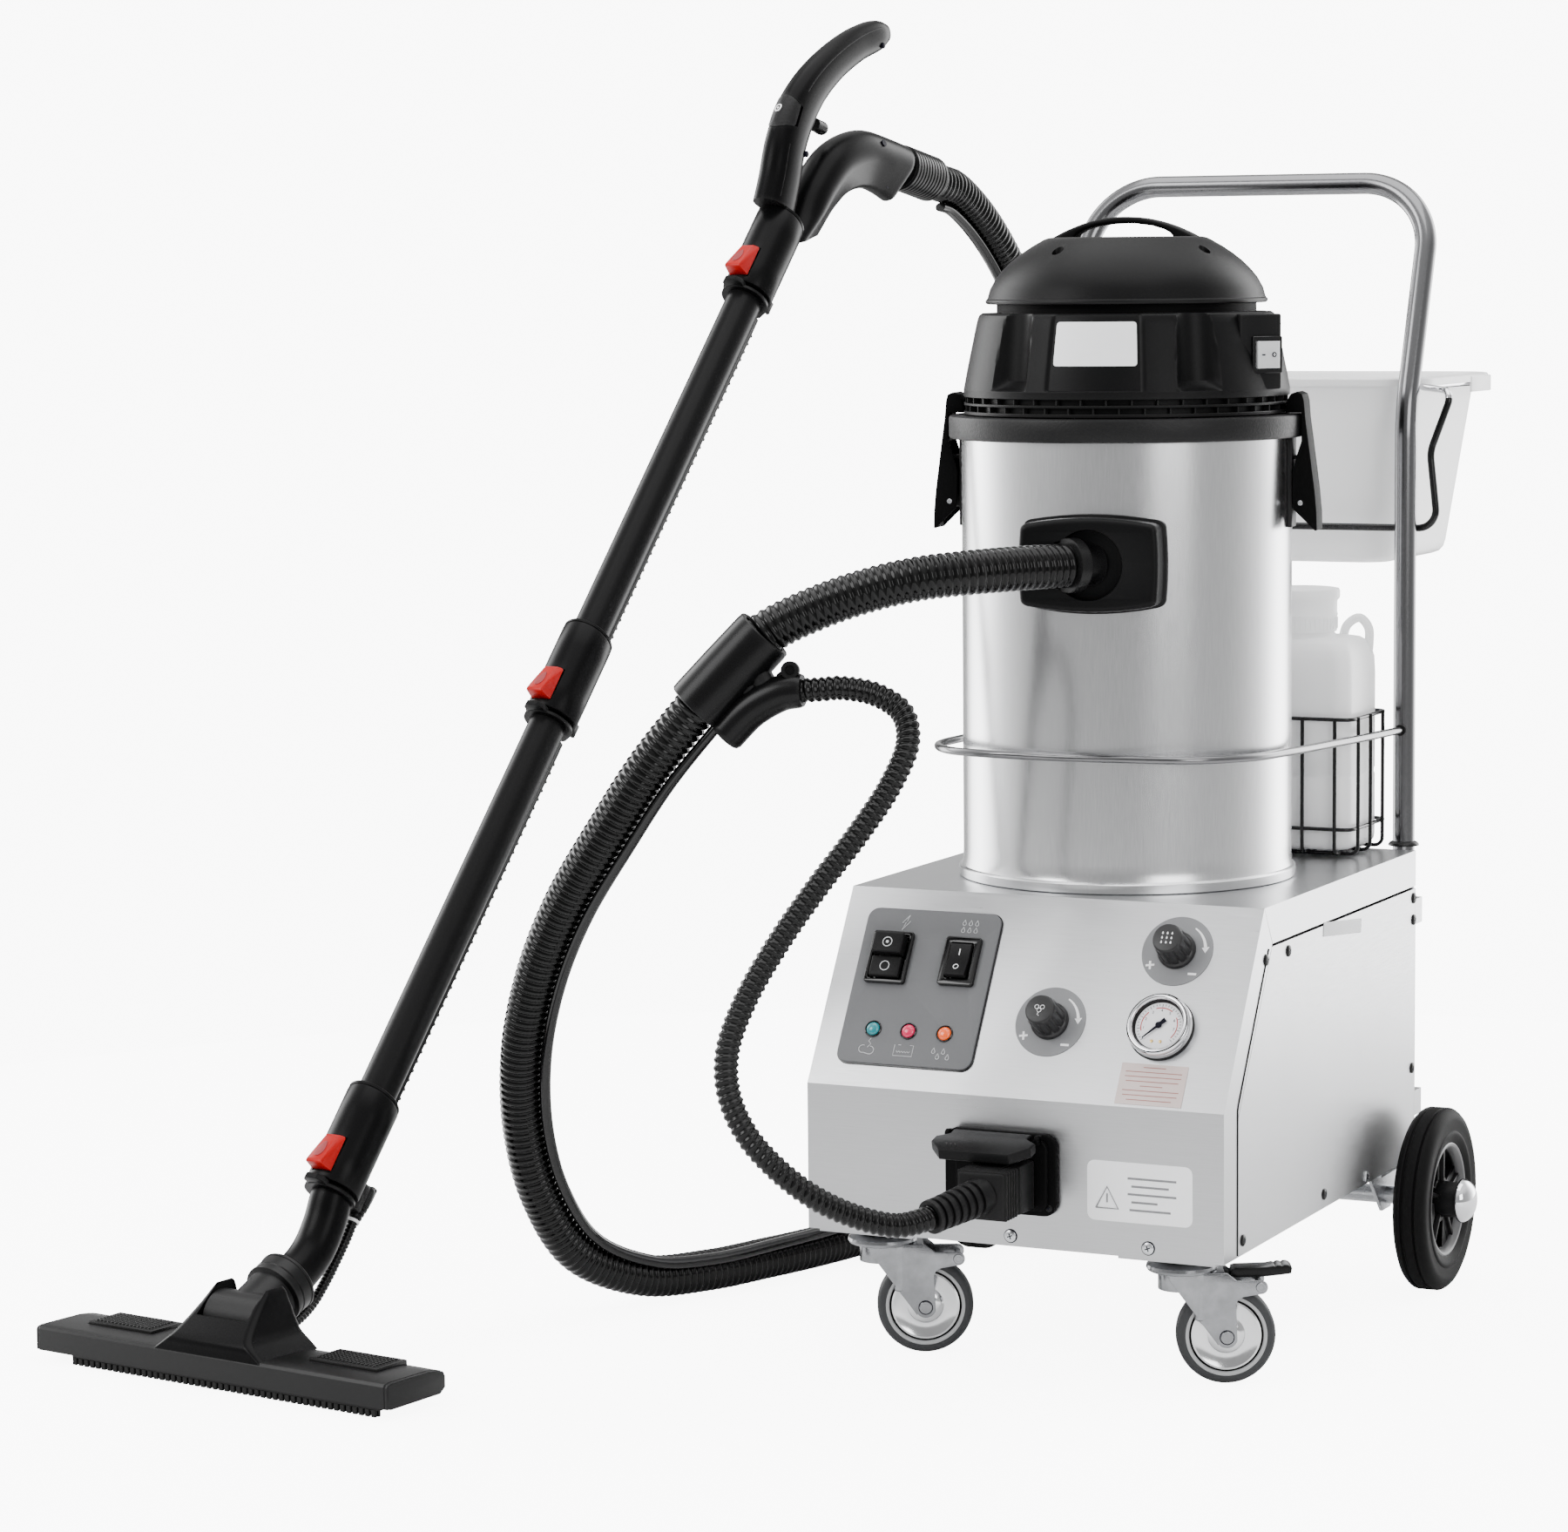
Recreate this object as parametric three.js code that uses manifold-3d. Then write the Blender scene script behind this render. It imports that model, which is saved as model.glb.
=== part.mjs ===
// Combined steam cleaner and wet/dry vacuum: a stainless steel boiler cabinet on casters, a vacuum
// can on top of it, a push handle behind, and a wand with a floor tool on a long ribbed hose.
// Millimetres, +Z up, the control side faces -Y. The group is moved so that its origin lies under
// the middle of the machine, on the floor.
import * as THREE from 'three';
import { mergeVertices } from 'three/addons/utils/BufferGeometryUtils.js';
import Module from 'manifold-3d';

const wasm = await Module();
wasm.setup();

// ---- driving dimensions ----
const GAP = 0.4;                 // clearance between pieces that touch
const SHEET = 2;                 // sheet metal thickness

// cabinet
const CAB_HALF = 228;            // half of the cabinet's width
const CAB_DEPTH = 604;
const CAB_BOTTOM = 134;
const BEVEL_Z = 286;             // where the upright front turns into the sloping control face
const CAB_TOP = 476;
const TOP_FRONT_Y = 116;         // front edge of the flat top
const FLANGE = 40;               // width of the front sheet's side return
const COVER_SIDE = 39;           // how far the top cover folds down the sides

// vacuum can
const CAN_Y = 318;
const CAN_TURN = 10;             // degrees that the can is turned towards +X
const CAN_R = 174;
const CAN_FOOT_R = 178.7;
const CAN_TOP = 952;
const RING_R = 187.3;
const RING_BOTTOM = 940;
const RING_TOP = 964.4;
const HEAD_BOTTOM = 965;
const HEAD_TOP = 1071;
const DOME_TOP = 1149.5;
const INLET_Z = 817;

// wheels
const CASTER_R = 50;
const CASTER_X = 165.5;
const CASTER_Y = 47;
const CASTER_TRAIL = 44;
const CASTER_TURN = 25;          // degrees, the direction that the casters trail
const REAR_R = 100;
const REAR_X = 269;
const REAR_Y = 551;
const TYRE_WIDTH = 38;

// push handle
const HANDLE_R = 12;
const HANDLE_X = 202;
const HANDLE_Y = 640;
const HANDLE_TOP = 1208;
const HANDLE_LEAN_Z = 955;
const HANDLE_TOP_Y = 733;

// wand, in the upright plane through the middle of the floor tool
const TOOL_CENTRE = [-713, -336.5];
const TOOL_TURN = -8.8;          // degrees from +X to the tool's long axis
const TOOL_HALF = 236;
const TOOL_DEPTH = 92;
const WAND_LEAN = 39.9;          // degrees from upright
const WAND_FOOT = [154, 171];    // lower end of the bottom coupling: distance back, height
const TUBE_R = 21;
const COUPLING_R = 30;
const TUBE_PITCH = 598;          // from one coupling to the next
const COUPLING_LENGTH = 112;

// hoses
const NECK = { n: 14, z: 60, r: 30 };
const HOSE_R = 24.2;
const STEAM_HOSE_R = 12.5;

// release buttons: outline along the coupling and out of its axis, and the pocket that they sink into
const PRESS_WEDGE = [[8, 28], [8, COUPLING_R + 15], [44, COUPLING_R + 5], [48, COUPLING_R + 1], [48, 28]];
const PRESS_POCKET = [[7.5, 24.5], [7.5, COUPLING_R + 9], [48.5, COUPLING_R + 9], [48.5, 24.5]];

const rad = THREE.MathUtils.degToRad;
const V = (x, y, z) => new THREE.Vector3(x, y, z);

// ---- materials ----
const steel = new THREE.MeshStandardMaterial({ color: 0xc9cacc, roughness: 0.35, metalness: 1 });
const polished = new THREE.MeshStandardMaterial({ color: 0xd6d7d9, roughness: 0.12, metalness: 1 });
const zinc = new THREE.MeshStandardMaterial({ color: 0xaaadb0, roughness: 0.45, metalness: 1 });
const chrome = new THREE.MeshStandardMaterial({ color: 0xe6e6e6, roughness: 0.06, metalness: 1 });
const blackPlastic = new THREE.MeshStandardMaterial({ color: 0x17181a, roughness: 0.5 });
const glossBlack = new THREE.MeshStandardMaterial({ color: 0x0c0c0d, roughness: 0.2 });
const greyPlastic = new THREE.MeshStandardMaterial({ color: 0x5f6062, roughness: 0.5 });
const blackWire = new THREE.MeshStandardMaterial({ color: 0x0b0b0b, roughness: 0.35 });
const milky = new THREE.MeshStandardMaterial({ color: 0xf2f3f3, roughness: 0.4 });
const rubber = new THREE.MeshStandardMaterial({ color: 0x222325, roughness: 0.8 });
const greyRubber = new THREE.MeshStandardMaterial({ color: 0x55575a, roughness: 0.7 });
const red = new THREE.MeshStandardMaterial({ color: 0xe02020, roughness: 0.4 });
const paleGrey = new THREE.MeshStandardMaterial({ color: 0xc8c9c9, roughness: 0.4 });

// ---- solids ----
function solid(geometry) {
  const bare = geometry.clone();
  bare.deleteAttribute('normal');
  bare.deleteAttribute('uv');
  const merged = mergeVertices(bare, 1e-4);
  const index = merged.index ? merged.index.array : [...merged.attributes.position.array.keys()];
  return new wasm.Manifold(new wasm.Mesh({
    numProp: 3,
    vertProperties: new Float32Array(merged.attributes.position.array),
    triVerts: new Uint32Array(index),
  }));
}

function geometryOf(manifold) {
  const mesh = manifold.getMesh();
  const geometry = new THREE.BufferGeometry();
  geometry.setAttribute('position', new THREE.BufferAttribute(new Float32Array(mesh.vertProperties), 3));
  geometry.setIndex(new THREE.BufferAttribute(new Uint32Array(mesh.triVerts), 1));
  geometry.computeVertexNormals();
  return geometry;
}

const join = (...parts) => parts.map(asSolid).reduce((a, b) => a.add(b));
const cut = (body, ...tools) => tools.map(asSolid).reduce((a, b) => a.subtract(b), asSolid(body));
const common = (a, b) => asSolid(a).intersect(asSolid(b));

function asSolid(shape) {
  return shape instanceof THREE.BufferGeometry ? solid(shape) : shape;
}

function piece(parent, name, shape, material) {
  const geometry = shape instanceof THREE.BufferGeometry ? shape : geometryOf(shape);
  const mesh = new THREE.Mesh(geometry, material);
  mesh.name = name;
  parent.add(mesh);
  return mesh;
}

// a box given by its two corners
function block(x0, x1, y0, y1, z0, z1) {
  const g = new THREE.BoxGeometry(x1 - x0, y1 - y0, z1 - z0);
  return g.translate((x0 + x1) / 2, (y0 + y1) / 2, (z0 + z1) / 2);
}

// an upright box with rounded vertical edges
function roundedBlock(x0, x1, y0, y1, z0, z1, r) {
  const g = new THREE.ExtrudeGeometry(roundedRect(x1 - x0, y1 - y0, r), {
    depth: z1 - z0, bevelEnabled: false, curveSegments: 3,
  });
  return g.translate((x0 + x1) / 2, (y0 + y1) / 2, z0);
}

function roundedRect(w, h, r) {
  const s = new THREE.Shape();
  s.moveTo(-w / 2 + r, -h / 2);
  s.lineTo(w / 2 - r, -h / 2);
  s.absarc(w / 2 - r, -h / 2 + r, r, -Math.PI / 2, 0);
  s.lineTo(w / 2, h / 2 - r);
  s.absarc(w / 2 - r, h / 2 - r, r, 0, Math.PI / 2);
  s.lineTo(-w / 2 + r, h / 2);
  s.absarc(-w / 2 + r, h / 2 - r, r, Math.PI / 2, Math.PI);
  s.lineTo(-w / 2, -h / 2 + r);
  s.absarc(-w / 2 + r, -h / 2 + r, r, Math.PI, 1.5 * Math.PI);
  return s;
}

// a cylinder between two points
function rod(a, b, r, sides = 24) {
  const along = b.clone().sub(a);
  const g = new THREE.CylinderGeometry(r, r, along.length(), sides);
  const turn = new THREE.Quaternion().setFromUnitVectors(V(0, 1, 0), along.clone().normalize());
  g.applyQuaternion(turn);
  const middle = a.clone().add(b).multiplyScalar(0.5);
  return g.translate(middle.x, middle.y, middle.z);
}

// a turned piece: radius and height pairs, upright axis
function turned(pairs, sides = 48) {
  const g = new THREE.LatheGeometry(pairs.map(([r, h]) => new THREE.Vector2(r, h)), sides);
  return g.rotateX(Math.PI / 2);
}

// an outline in the Y-Z plane, drawn out along X
function sidePlate(points, x0, x1) {
  const shape = new THREE.Shape(points.map(([y, z]) => new THREE.Vector2(y, z)));
  const g = new THREE.ExtrudeGeometry(shape, { depth: x1 - x0, bevelEnabled: false });
  const basis = new THREE.Matrix4().makeBasis(V(0, 1, 0), V(0, 0, 1), V(1, 0, 0));
  basis.setPosition(x0, 0, 0);
  return g.applyMatrix4(basis);
}

// an outline in the X-Z plane, drawn out along +Y
function frontPlate(shape, y0, y1, curveSegments = 4) {
  const g = new THREE.ExtrudeGeometry(shape, { depth: y1 - y0, bevelEnabled: false, curveSegments });
  const basis = new THREE.Matrix4().makeBasis(V(1, 0, 0), V(0, 0, 1), V(0, -1, 0));
  basis.setPosition(0, y1, 0);
  return g.applyMatrix4(basis);
}

// straight runs joined by round bends of the given radii
function bentPath(points, radii) {
  const path = new THREE.CurvePath();
  let from = points[0];
  for (let i = 1; i < points.length - 1; i += 1) {
    const back = points[i - 1].clone().sub(points[i]).normalize();
    const ahead = points[i + 1].clone().sub(points[i]).normalize();
    const reach = radii[i - 1] / Math.tan(back.angleTo(ahead) / 2);
    const start = points[i].clone().addScaledVector(back, reach);
    const end = points[i].clone().addScaledVector(ahead, reach);
    path.add(new THREE.LineCurve3(from, start));
    const pull = 0.6;
    path.add(new THREE.CubicBezierCurve3(start, start.clone().lerp(points[i], pull),
      end.clone().lerp(points[i], pull), end));
    from = end;
  }
  path.add(new THREE.LineCurve3(from, points[points.length - 1]));
  return path;
}

function tube(path, r, steps, sides = 10) {
  const section = new THREE.Shape();
  section.absarc(0, 0, r, 0, 2 * Math.PI);
  return new THREE.ExtrudeGeometry(section, {
    steps, extrudePath: path, curveSegments: sides / 2, bevelEnabled: false,
  });
}

const smooth = (points) => new THREE.CatmullRomCurve3(points.map((p) => V(...p)), false, 'centripetal');

// a closed body through a stack of outlines, each with the same number of points
function loft(rings) {
  const n = rings[0].length;
  const position = [];
  const index = [];
  rings.forEach((ring) => ring.forEach((p) => position.push(p.x, p.y, p.z)));
  for (let k = 0; k < rings.length - 1; k += 1) {
    for (let i = 0; i < n; i += 1) {
      const a = k * n + i;
      const b = k * n + ((i + 1) % n);
      index.push(a, b, b + n, a, b + n, a + n);
    }
  }
  const last = (rings.length - 1) * n;
  for (let i = 1; i < n - 1; i += 1) {
    index.push(0, i + 1, i);
    index.push(last, last + i, last + i + 1);
  }
  const g = new THREE.BufferGeometry();
  g.setAttribute('position', new THREE.Float32BufferAttribute(position, 3));
  g.setIndex(index);
  return g;
}

// the outline of a rounded rectangle at height z, five points round each corner
function rectRing(x0, x1, y0, y1, z, r) {
  const corners = [[x1 - r, y0 + r, -90], [x1 - r, y1 - r, 0], [x0 + r, y1 - r, 90], [x0 + r, y0 + r, 180]];
  return corners.flatMap(([x, y, start]) => [0, 1, 2, 3, 4].map((i) => {
    const angle = rad(start + i * 22.5);
    return V(x + r * Math.cos(angle), y + r * Math.sin(angle), z);
  }));
}

const machine = new THREE.Group();
const cords = new THREE.Group();

// ---- cabinet ----
// the cabinet's side outline, moved inwards by t
const slope = Math.atan2(TOP_FRONT_Y, CAB_TOP - BEVEL_Z);
function cabinetOutline(t, floorZ) {
  return [
    [t, floorZ],
    [t, BEVEL_Z - t * Math.tan(slope / 2)],
    [TOP_FRONT_Y + t * Math.tan(Math.PI / 4 - slope / 2), CAB_TOP - t],
    [CAB_DEPTH - t, CAB_TOP - t],
    [CAB_DEPTH - t, floorZ],
  ].reverse();
}

function cabinet() {
  const outer = solid(sidePlate(cabinetOutline(0, CAB_BOTTOM), -CAB_HALF, CAB_HALF));
  const inner = solid(sidePlate(cabinetOutline(SHEET, CAB_BOTTOM - 5), SHEET - CAB_HALF, CAB_HALF - SHEET));
  const shell = outer.subtract(inner);
  const coverZ = CAB_TOP - COVER_SIDE;
  const flangeZ = BEVEL_Z - FLANGE * Math.tan(slope / 2);
  const flangeTopY = FLANGE + (coverZ - flangeZ) * Math.tan(slope);
  const frontOutline = [
    [-9, 120], [FLANGE, 120], [FLANGE, flangeZ], [flangeTopY, coverZ], [TOP_FRONT_Y, CAB_TOP],
    [TOP_FRONT_Y - 9, CAB_TOP + 9], [-9, BEVEL_Z + 4],
  ];
  const front = sidePlate(frontOutline, -CAB_HALF - 9, CAB_HALF + 9);
  const seam = 1.2;
  const behindFront = sidePlate([
    [-9, 110], [FLANGE + seam, 110], [FLANGE + seam, flangeZ], [flangeTopY + seam, coverZ],
    [TOP_FRONT_Y + seam * 0.4, CAB_TOP], [TOP_FRONT_Y, CAB_TOP + 9], [-9, BEVEL_Z + 9],
  ], -CAB_HALF - 9, CAB_HALF + 9);
  piece(machine, 'front_panel', common(shell, front), steel);

  const above = block(-300, 300, -50, 700, coverZ, CAB_TOP + 20);
  piece(machine, 'top_cover', cut(common(shell, above), behindFront), steel);

  const sideTop = coverZ - 3;
  for (const [name, side] of [['side_panel_left', -1], ['side_panel_right', 1]]) {
    const x = side * CAB_HALF;
    const slab = block(Math.min(x, x - side * SHEET), Math.max(x, x - side * SHEET),
      -20, CAB_DEPTH - SHEET - GAP, CAB_BOTTOM, sideTop);
    piece(machine, name, cut(common(shell, slab), behindFront), steel);
  }

  // floor tray with turned-up edges, the rear panel, caster pads and handle brackets in one weldment
  const inside = CAB_HALF - SHEET - GAP;
  const frontY = SHEET + GAP;
  let base = join(
    block(-inside, inside, frontY, CAB_DEPTH, CAB_BOTTOM, CAB_BOTTOM + 3),
    block(-CAB_HALF, CAB_HALF, CAB_DEPTH - SHEET, CAB_DEPTH, CAB_BOTTOM, sideTop),
    block(-inside, inside, frontY, frontY + 2, CAB_BOTTOM, CAB_BOTTOM + 22),
    block(-inside, -inside + 2, frontY, CAB_DEPTH, CAB_BOTTOM, CAB_BOTTOM + 22),
    block(inside - 2, inside, frontY, CAB_DEPTH, CAB_BOTTOM, CAB_BOTTOM + 22),
  );
  for (const side of [-1, 1]) {
    const x = side * CASTER_X;
    base = join(base, block(x - 52, x + 52, CASTER_Y - 42, CASTER_Y + 42, CAB_BOTTOM - 3.5, CAB_BOTTOM + 1));
    for (const z of [190, 405]) {
      const clamp = block(side * HANDLE_X - 20, side * HANDLE_X + 20, CAB_DEPTH - 1, HANDLE_Y + 6, z - 14, z + 14);
      const post = rod(V(side * HANDLE_X, HANDLE_Y, z - 20), V(side * HANDLE_X, HANDLE_Y, z + 20),
        HANDLE_R + GAP);
      base = join(base, cut(clamp, post));
    }
  }
  piece(machine, 'cabinet_base', base, steel);
}

function insides() {
  const tankY = 300;
  const boilerZ = 268;
  const r = 88;
  const boiler = turned([[0, -165], [40, -162], [72, -150], [r, -125], [r, 125], [72, 150], [40, 162],
    [0, 165]], 18);
  boiler.rotateY(Math.PI / 2).translate(0, tankY, boilerZ);
  const saddles = [-90, 90].map((x) => block(x - 12, x + 12, tankY - 60, tankY + 60,
    CAB_BOTTOM + 3 + GAP, boilerZ - 60));
  const outletPipe = rod(V(0, tankY, boilerZ + 60), V(0, tankY, boilerZ + 130), 10);
  const valve = rod(V(-22, tankY, boilerZ + 130), V(22, tankY, boilerZ + 130), 22);
  piece(machine, 'boiler', join(boiler, ...saddles, outletPipe, valve), polished);

  const tank = roundedBlock(-190, 190, 430, 580, CAB_BOTTOM + 4 + GAP, 390, 18);
  const mouth = rod(V(-120, 505, 380), V(-120, 505, 420), 28);
  const pumpBody = rod(V(60, 425, 190), V(60, 435, 190), 16);
  const pump = rod(V(60, 398, 190), V(60, 427, 190), 26);
  piece(machine, 'water_tank', join(tank, mouth, pumpBody, pump), milky);
}

// ---- controls on the sloping face: u across, v up the slope, w out of it ----
function onSlope() {
  const g = new THREE.Group();
  g.position.set(0, 0, BEVEL_Z);
  g.rotation.x = Math.PI / 2 - slope;
  return g;
}

const PLATE = { x0: -201, x1: -50.5, v0: 25, v1: 198, thick: 4 };
const POWER = { x: -165.4, v: 142 };
const PUMP = { x: -85.8, v: 142 };
const STEAM_DIAL = { x: 25, v: 85 };
const WATER_DIAL = { x: 145, v: 170.5 };
const GAUGE = { x: 144.8, v: 86, r: 33.5 };

function controls() {
  const face = onSlope();
  machine.add(face);
  const back = GAP;

  let plate = roundedBlock(PLATE.x0, PLATE.x1, PLATE.v0, PLATE.v1, back, PLATE.thick, 12);
  const powerFrame = roundedBlock(POWER.x - 23, POWER.x + 23, POWER.v - 29, POWER.v + 29, back, 9, 3);
  const pumpFrame = roundedBlock(PUMP.x - 20, PUMP.x + 20, PUMP.v - 27, PUMP.v + 27, back, 9, 3);
  plate = join(plate, powerFrame, pumpFrame);
  plate = cut(plate,
    block(POWER.x - 18.5, POWER.x + 18.5, POWER.v - 24.5, POWER.v + 24.5, 2.5, 20),
    block(PUMP.x - 12.5, PUMP.x + 12.5, PUMP.v - 19.5, PUMP.v + 19.5, 2.5, 20));
  piece(face, 'control_plate', plate, greyPlastic);

  // two square plungers: the upper one stands proud, the lower one is pressed in
  const half = 16.5;
  for (const [name, v0, v1, top] of [['power_on_button', 1, 23.4, 19], ['power_off_button', -23.4, -1, 13]]) {
    piece(face, name, roundedBlock(POWER.x - half, POWER.x + half, POWER.v + v0, POWER.v + v1, 6, top, 2),
      blackPlastic);
  }

  // rocker with a shallow V outline, turning about its middle
  const rockerOutline = [[-18, 7], [-18, 15], [0, 11.5], [18, 11], [18, 7], [0, 4.5]].reverse()
    .map(([v, w]) => [PUMP.v + v, w]);
  piece(face, 'pump_rocker', sidePlate(rockerOutline, PUMP.x - 11.5, PUMP.x + 11.5), blackPlastic);

  for (const [name, dial] of [['steam_knob', STEAM_DIAL], ['water_knob', WATER_DIAL]]) {
    const knob = turned([[0, 1.2], [20, 1.2], [20, 6], [17.5, 9], [17.5, 32], [15.5, 35], [0, 35]], 20);
    knob.translate(dial.x, dial.v, 0);
    piece(face, name, knob, blackPlastic);
  }

  const body = turned([[0, GAP], [GAUGE.r, GAP], [GAUGE.r, 9], [30.5, 15], [27, 15], [26, 8], [0, 8]], 26);
  piece(face, 'gauge_body', body.translate(GAUGE.x, GAUGE.v, 0), chrome);
  const hand = join(rod(V(0, 0, 9), V(0, 0, 12), 3.2, 16), block(-0.9, 0.9, -8, 21, 9.4, 10.8));
  const needle = piece(face, 'gauge_needle', hand, blackPlastic);
  needle.position.set(GAUGE.x, GAUGE.v, 0);
  needle.rotation.z = rad(135);
}

// ---- steam socket on the upright front ----
const SOCKET = { x: -9, z: 211, w: 122, h: 84, face: -14 };
const PLUG = { x: 5, z: 203, w: 54, h: 50, front: -90 };

function steamSocket() {
  const plate = frontPlate(roundedRect(SOCKET.w, SOCKET.h, 14), SOCKET.face, -GAP)
    .translate(SOCKET.x, 0, SOCKET.z);
  const mouth = block(PLUG.x - 24, PLUG.x + 24, SOCKET.face - 2, SOCKET.face + 8, PLUG.z - 21, PLUG.z + 21);
  const hingeZ = SOCKET.z + SOCKET.h / 2 - 4;
  const lugs = [-1, 1].map((s) => rod(V(SOCKET.x - 3 + s * 46, SOCKET.face - 6, hingeZ),
    V(SOCKET.x - 3 + s * 51, SOCKET.face - 6, hingeZ), 5, 16));
  const arms = [-1, 1].map((s) => block(SOCKET.x - 3 + Math.min(s * 46, s * 51),
    SOCKET.x - 3 + Math.max(s * 46, s * 51), SOCKET.face - 6, SOCKET.face + 2, hingeZ - 4, hingeZ + 4));
  piece(machine, 'steam_socket', join(cut(plate, mouth), ...lugs, ...arms), blackPlastic);

  // the lid stands open and droops on to the plug; its outer corners are cut off
  const lid = new THREE.Shape();
  lid.moveTo(-42, 0);
  lid.lineTo(42, 0);
  lid.lineTo(42, 10);
  lid.lineTo(54, 18);
  lid.lineTo(54, 30);
  lid.lineTo(38, 50);
  lid.lineTo(-38, 50);
  lid.lineTo(-54, 30);
  lid.lineTo(-54, 18);
  lid.lineTo(-42, 10);
  const leaf = new THREE.ExtrudeGeometry(lid, { depth: 11, bevelEnabled: false });
  leaf.rotateX(Math.PI).translate(0, 0, 5.5);
  const knuckle = rod(V(-42, 0, 0), V(42, 0, 0), 5, 16);
  const cover = piece(machine, 'socket_lid', join(leaf, knuckle), blackPlastic);
  cover.position.set(SOCKET.x - 3, SOCKET.face - 6, hingeZ);
  cover.rotation.x = rad(14);
}

// ---- vacuum can and head, in a group turned with the can ----
function vacuum() {
  const can = new THREE.Group();
  can.position.set(0, CAN_Y, 0);
  can.rotation.z = rad(CAN_TURN);
  machine.add(can);

  const foot = CAB_TOP + GAP;
  const wall = 1.6;
  const drum = turned([[0, foot], [CAN_FOOT_R, foot], [CAN_FOOT_R, foot + 11], [CAN_R + 1, foot + 15],
    [CAN_R, foot + 24], [CAN_R, CAN_TOP], [CAN_R - wall, CAN_TOP], [CAN_R - wall, foot + 8], [0, foot + 8]], 40);
  const inletHole = rod(V(0, -CAN_R - 20, INLET_Z), V(0, -CAN_R + 40, INLET_Z), 30);
  piece(can, 'vac_can', cut(drum, inletHole), polished);

  inlet(can);

  // rim ring with a tab and a pivot lug under each latch
  let ring = solid(turned([[CAN_R + GAP, RING_BOTTOM], [RING_R - 2, RING_BOTTOM], [RING_R, RING_BOTTOM + 2],
    [RING_R, RING_TOP - 2], [RING_R - 2, RING_TOP], [164, RING_TOP], [164, CAN_TOP + GAP],
    [CAN_R + GAP, CAN_TOP + GAP], [CAN_R + GAP, RING_BOTTOM]], 40));
  const pivotR = 188;
  const pivotZ = 872;
  for (const side of [-1, 1]) {
    const tab = cut(block(Math.min(side * 168, side * 178.5), Math.max(side * 168, side * 178.5), -14, 14,
      846, RING_BOTTOM + 4), rod(V(0, 0, 800), V(0, 0, 1000), CAN_R + GAP, 40));
    const lug = block(Math.min(side * 177, side * 191), Math.max(side * 177, side * 191), -7, 7,
      pivotZ - 6, pivotZ + 6);
    ring = join(ring, tab, lug);
  }
  piece(can, 'can_top_ring', ring, blackPlastic);

  // U-shaped latches that hook over the ring
  const outline = [[172.5, 966], [172.5, 972], [176, 984], [184, 987.5], [190, 984], [193, 960], [199, 915],
    [205, 870], [205.5, 843], [203, 843], [180, 866], [179.5, 905], [189, 936], [189, 966]];
  for (const [name, side] of [['latch_left', -1], ['latch_right', 1]]) {
    const shape = new THREE.Shape(outline.map(([r, z]) => new THREE.Vector2(side * r, z)));
    const bar = frontPlate(shape, -19, 19);
    const inner = block(Math.min(side * 160, side * 196), Math.max(side * 160, side * 196), -16, 16, 830, 914);
    const deeper = block(Math.min(side * 160, side * 202), Math.max(side * 160, side * 202), -16, 16, 830, 880);
    piece(can, name, cut(bar, inner, deeper), blackPlastic);
  }
  head(can);
}

// bulging plate that hugs the can, with a recess and a spigot that points down the machine's left
function inlet(can) {
  const outline = new THREE.Shape();
  outline.moveTo(-66, -45);
  outline.quadraticCurveTo(0, -57, 66, -45);
  outline.quadraticCurveTo(74, -43, 74, -36);
  outline.quadraticCurveTo(77, 0, 74, 36);
  outline.quadraticCurveTo(74, 43, 66, 45);
  outline.quadraticCurveTo(0, 57, -66, 45);
  outline.quadraticCurveTo(-74, 43, -74, 36);
  outline.quadraticCurveTo(-77, 0, -74, -36);
  outline.quadraticCurveTo(-74, -43, -66, -45);
  const faceY = -199;
  const slab = frontPlate(outline, faceY, -140, 3).translate(0, 0, INLET_Z);
  const recess = rod(V(0, faceY - 5, INLET_Z), V(0, faceY + 13, INLET_Z), 36, 24);
  const drum = rod(V(0, 0, INLET_Z - 80), V(0, 0, INLET_Z + 80), CAN_R + GAP, 40);
  const aim = V(-Math.sin(rad(40)), -Math.cos(rad(40)), 0);
  const from = V(2, -178, INLET_Z);
  const mouth = from.clone().addScaledVector(aim, 35);
  const pipe = rod(from, mouth, 21.5, 18);
  const cuff = rod(from.clone().addScaledVector(aim, 22), mouth, 28, 20);
  const bore = rod(from.clone().addScaledVector(aim, -2), mouth.clone().addScaledVector(aim, 4), 18, 16);
  const through = rod(V(0, -160, INLET_Z), V(0, -184, INLET_Z), 18, 16);
  const notch = rod(from.clone().addScaledVector(aim, 14), from.clone().addScaledVector(aim, 80), HOSE_R + 2.5, 16);
  const body = join(cut(slab, recess, drum, notch), cut(pipe, drum), cuff);
  piece(can, 'vac_inlet', cut(body, bore, through), blackPlastic);
}

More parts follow.
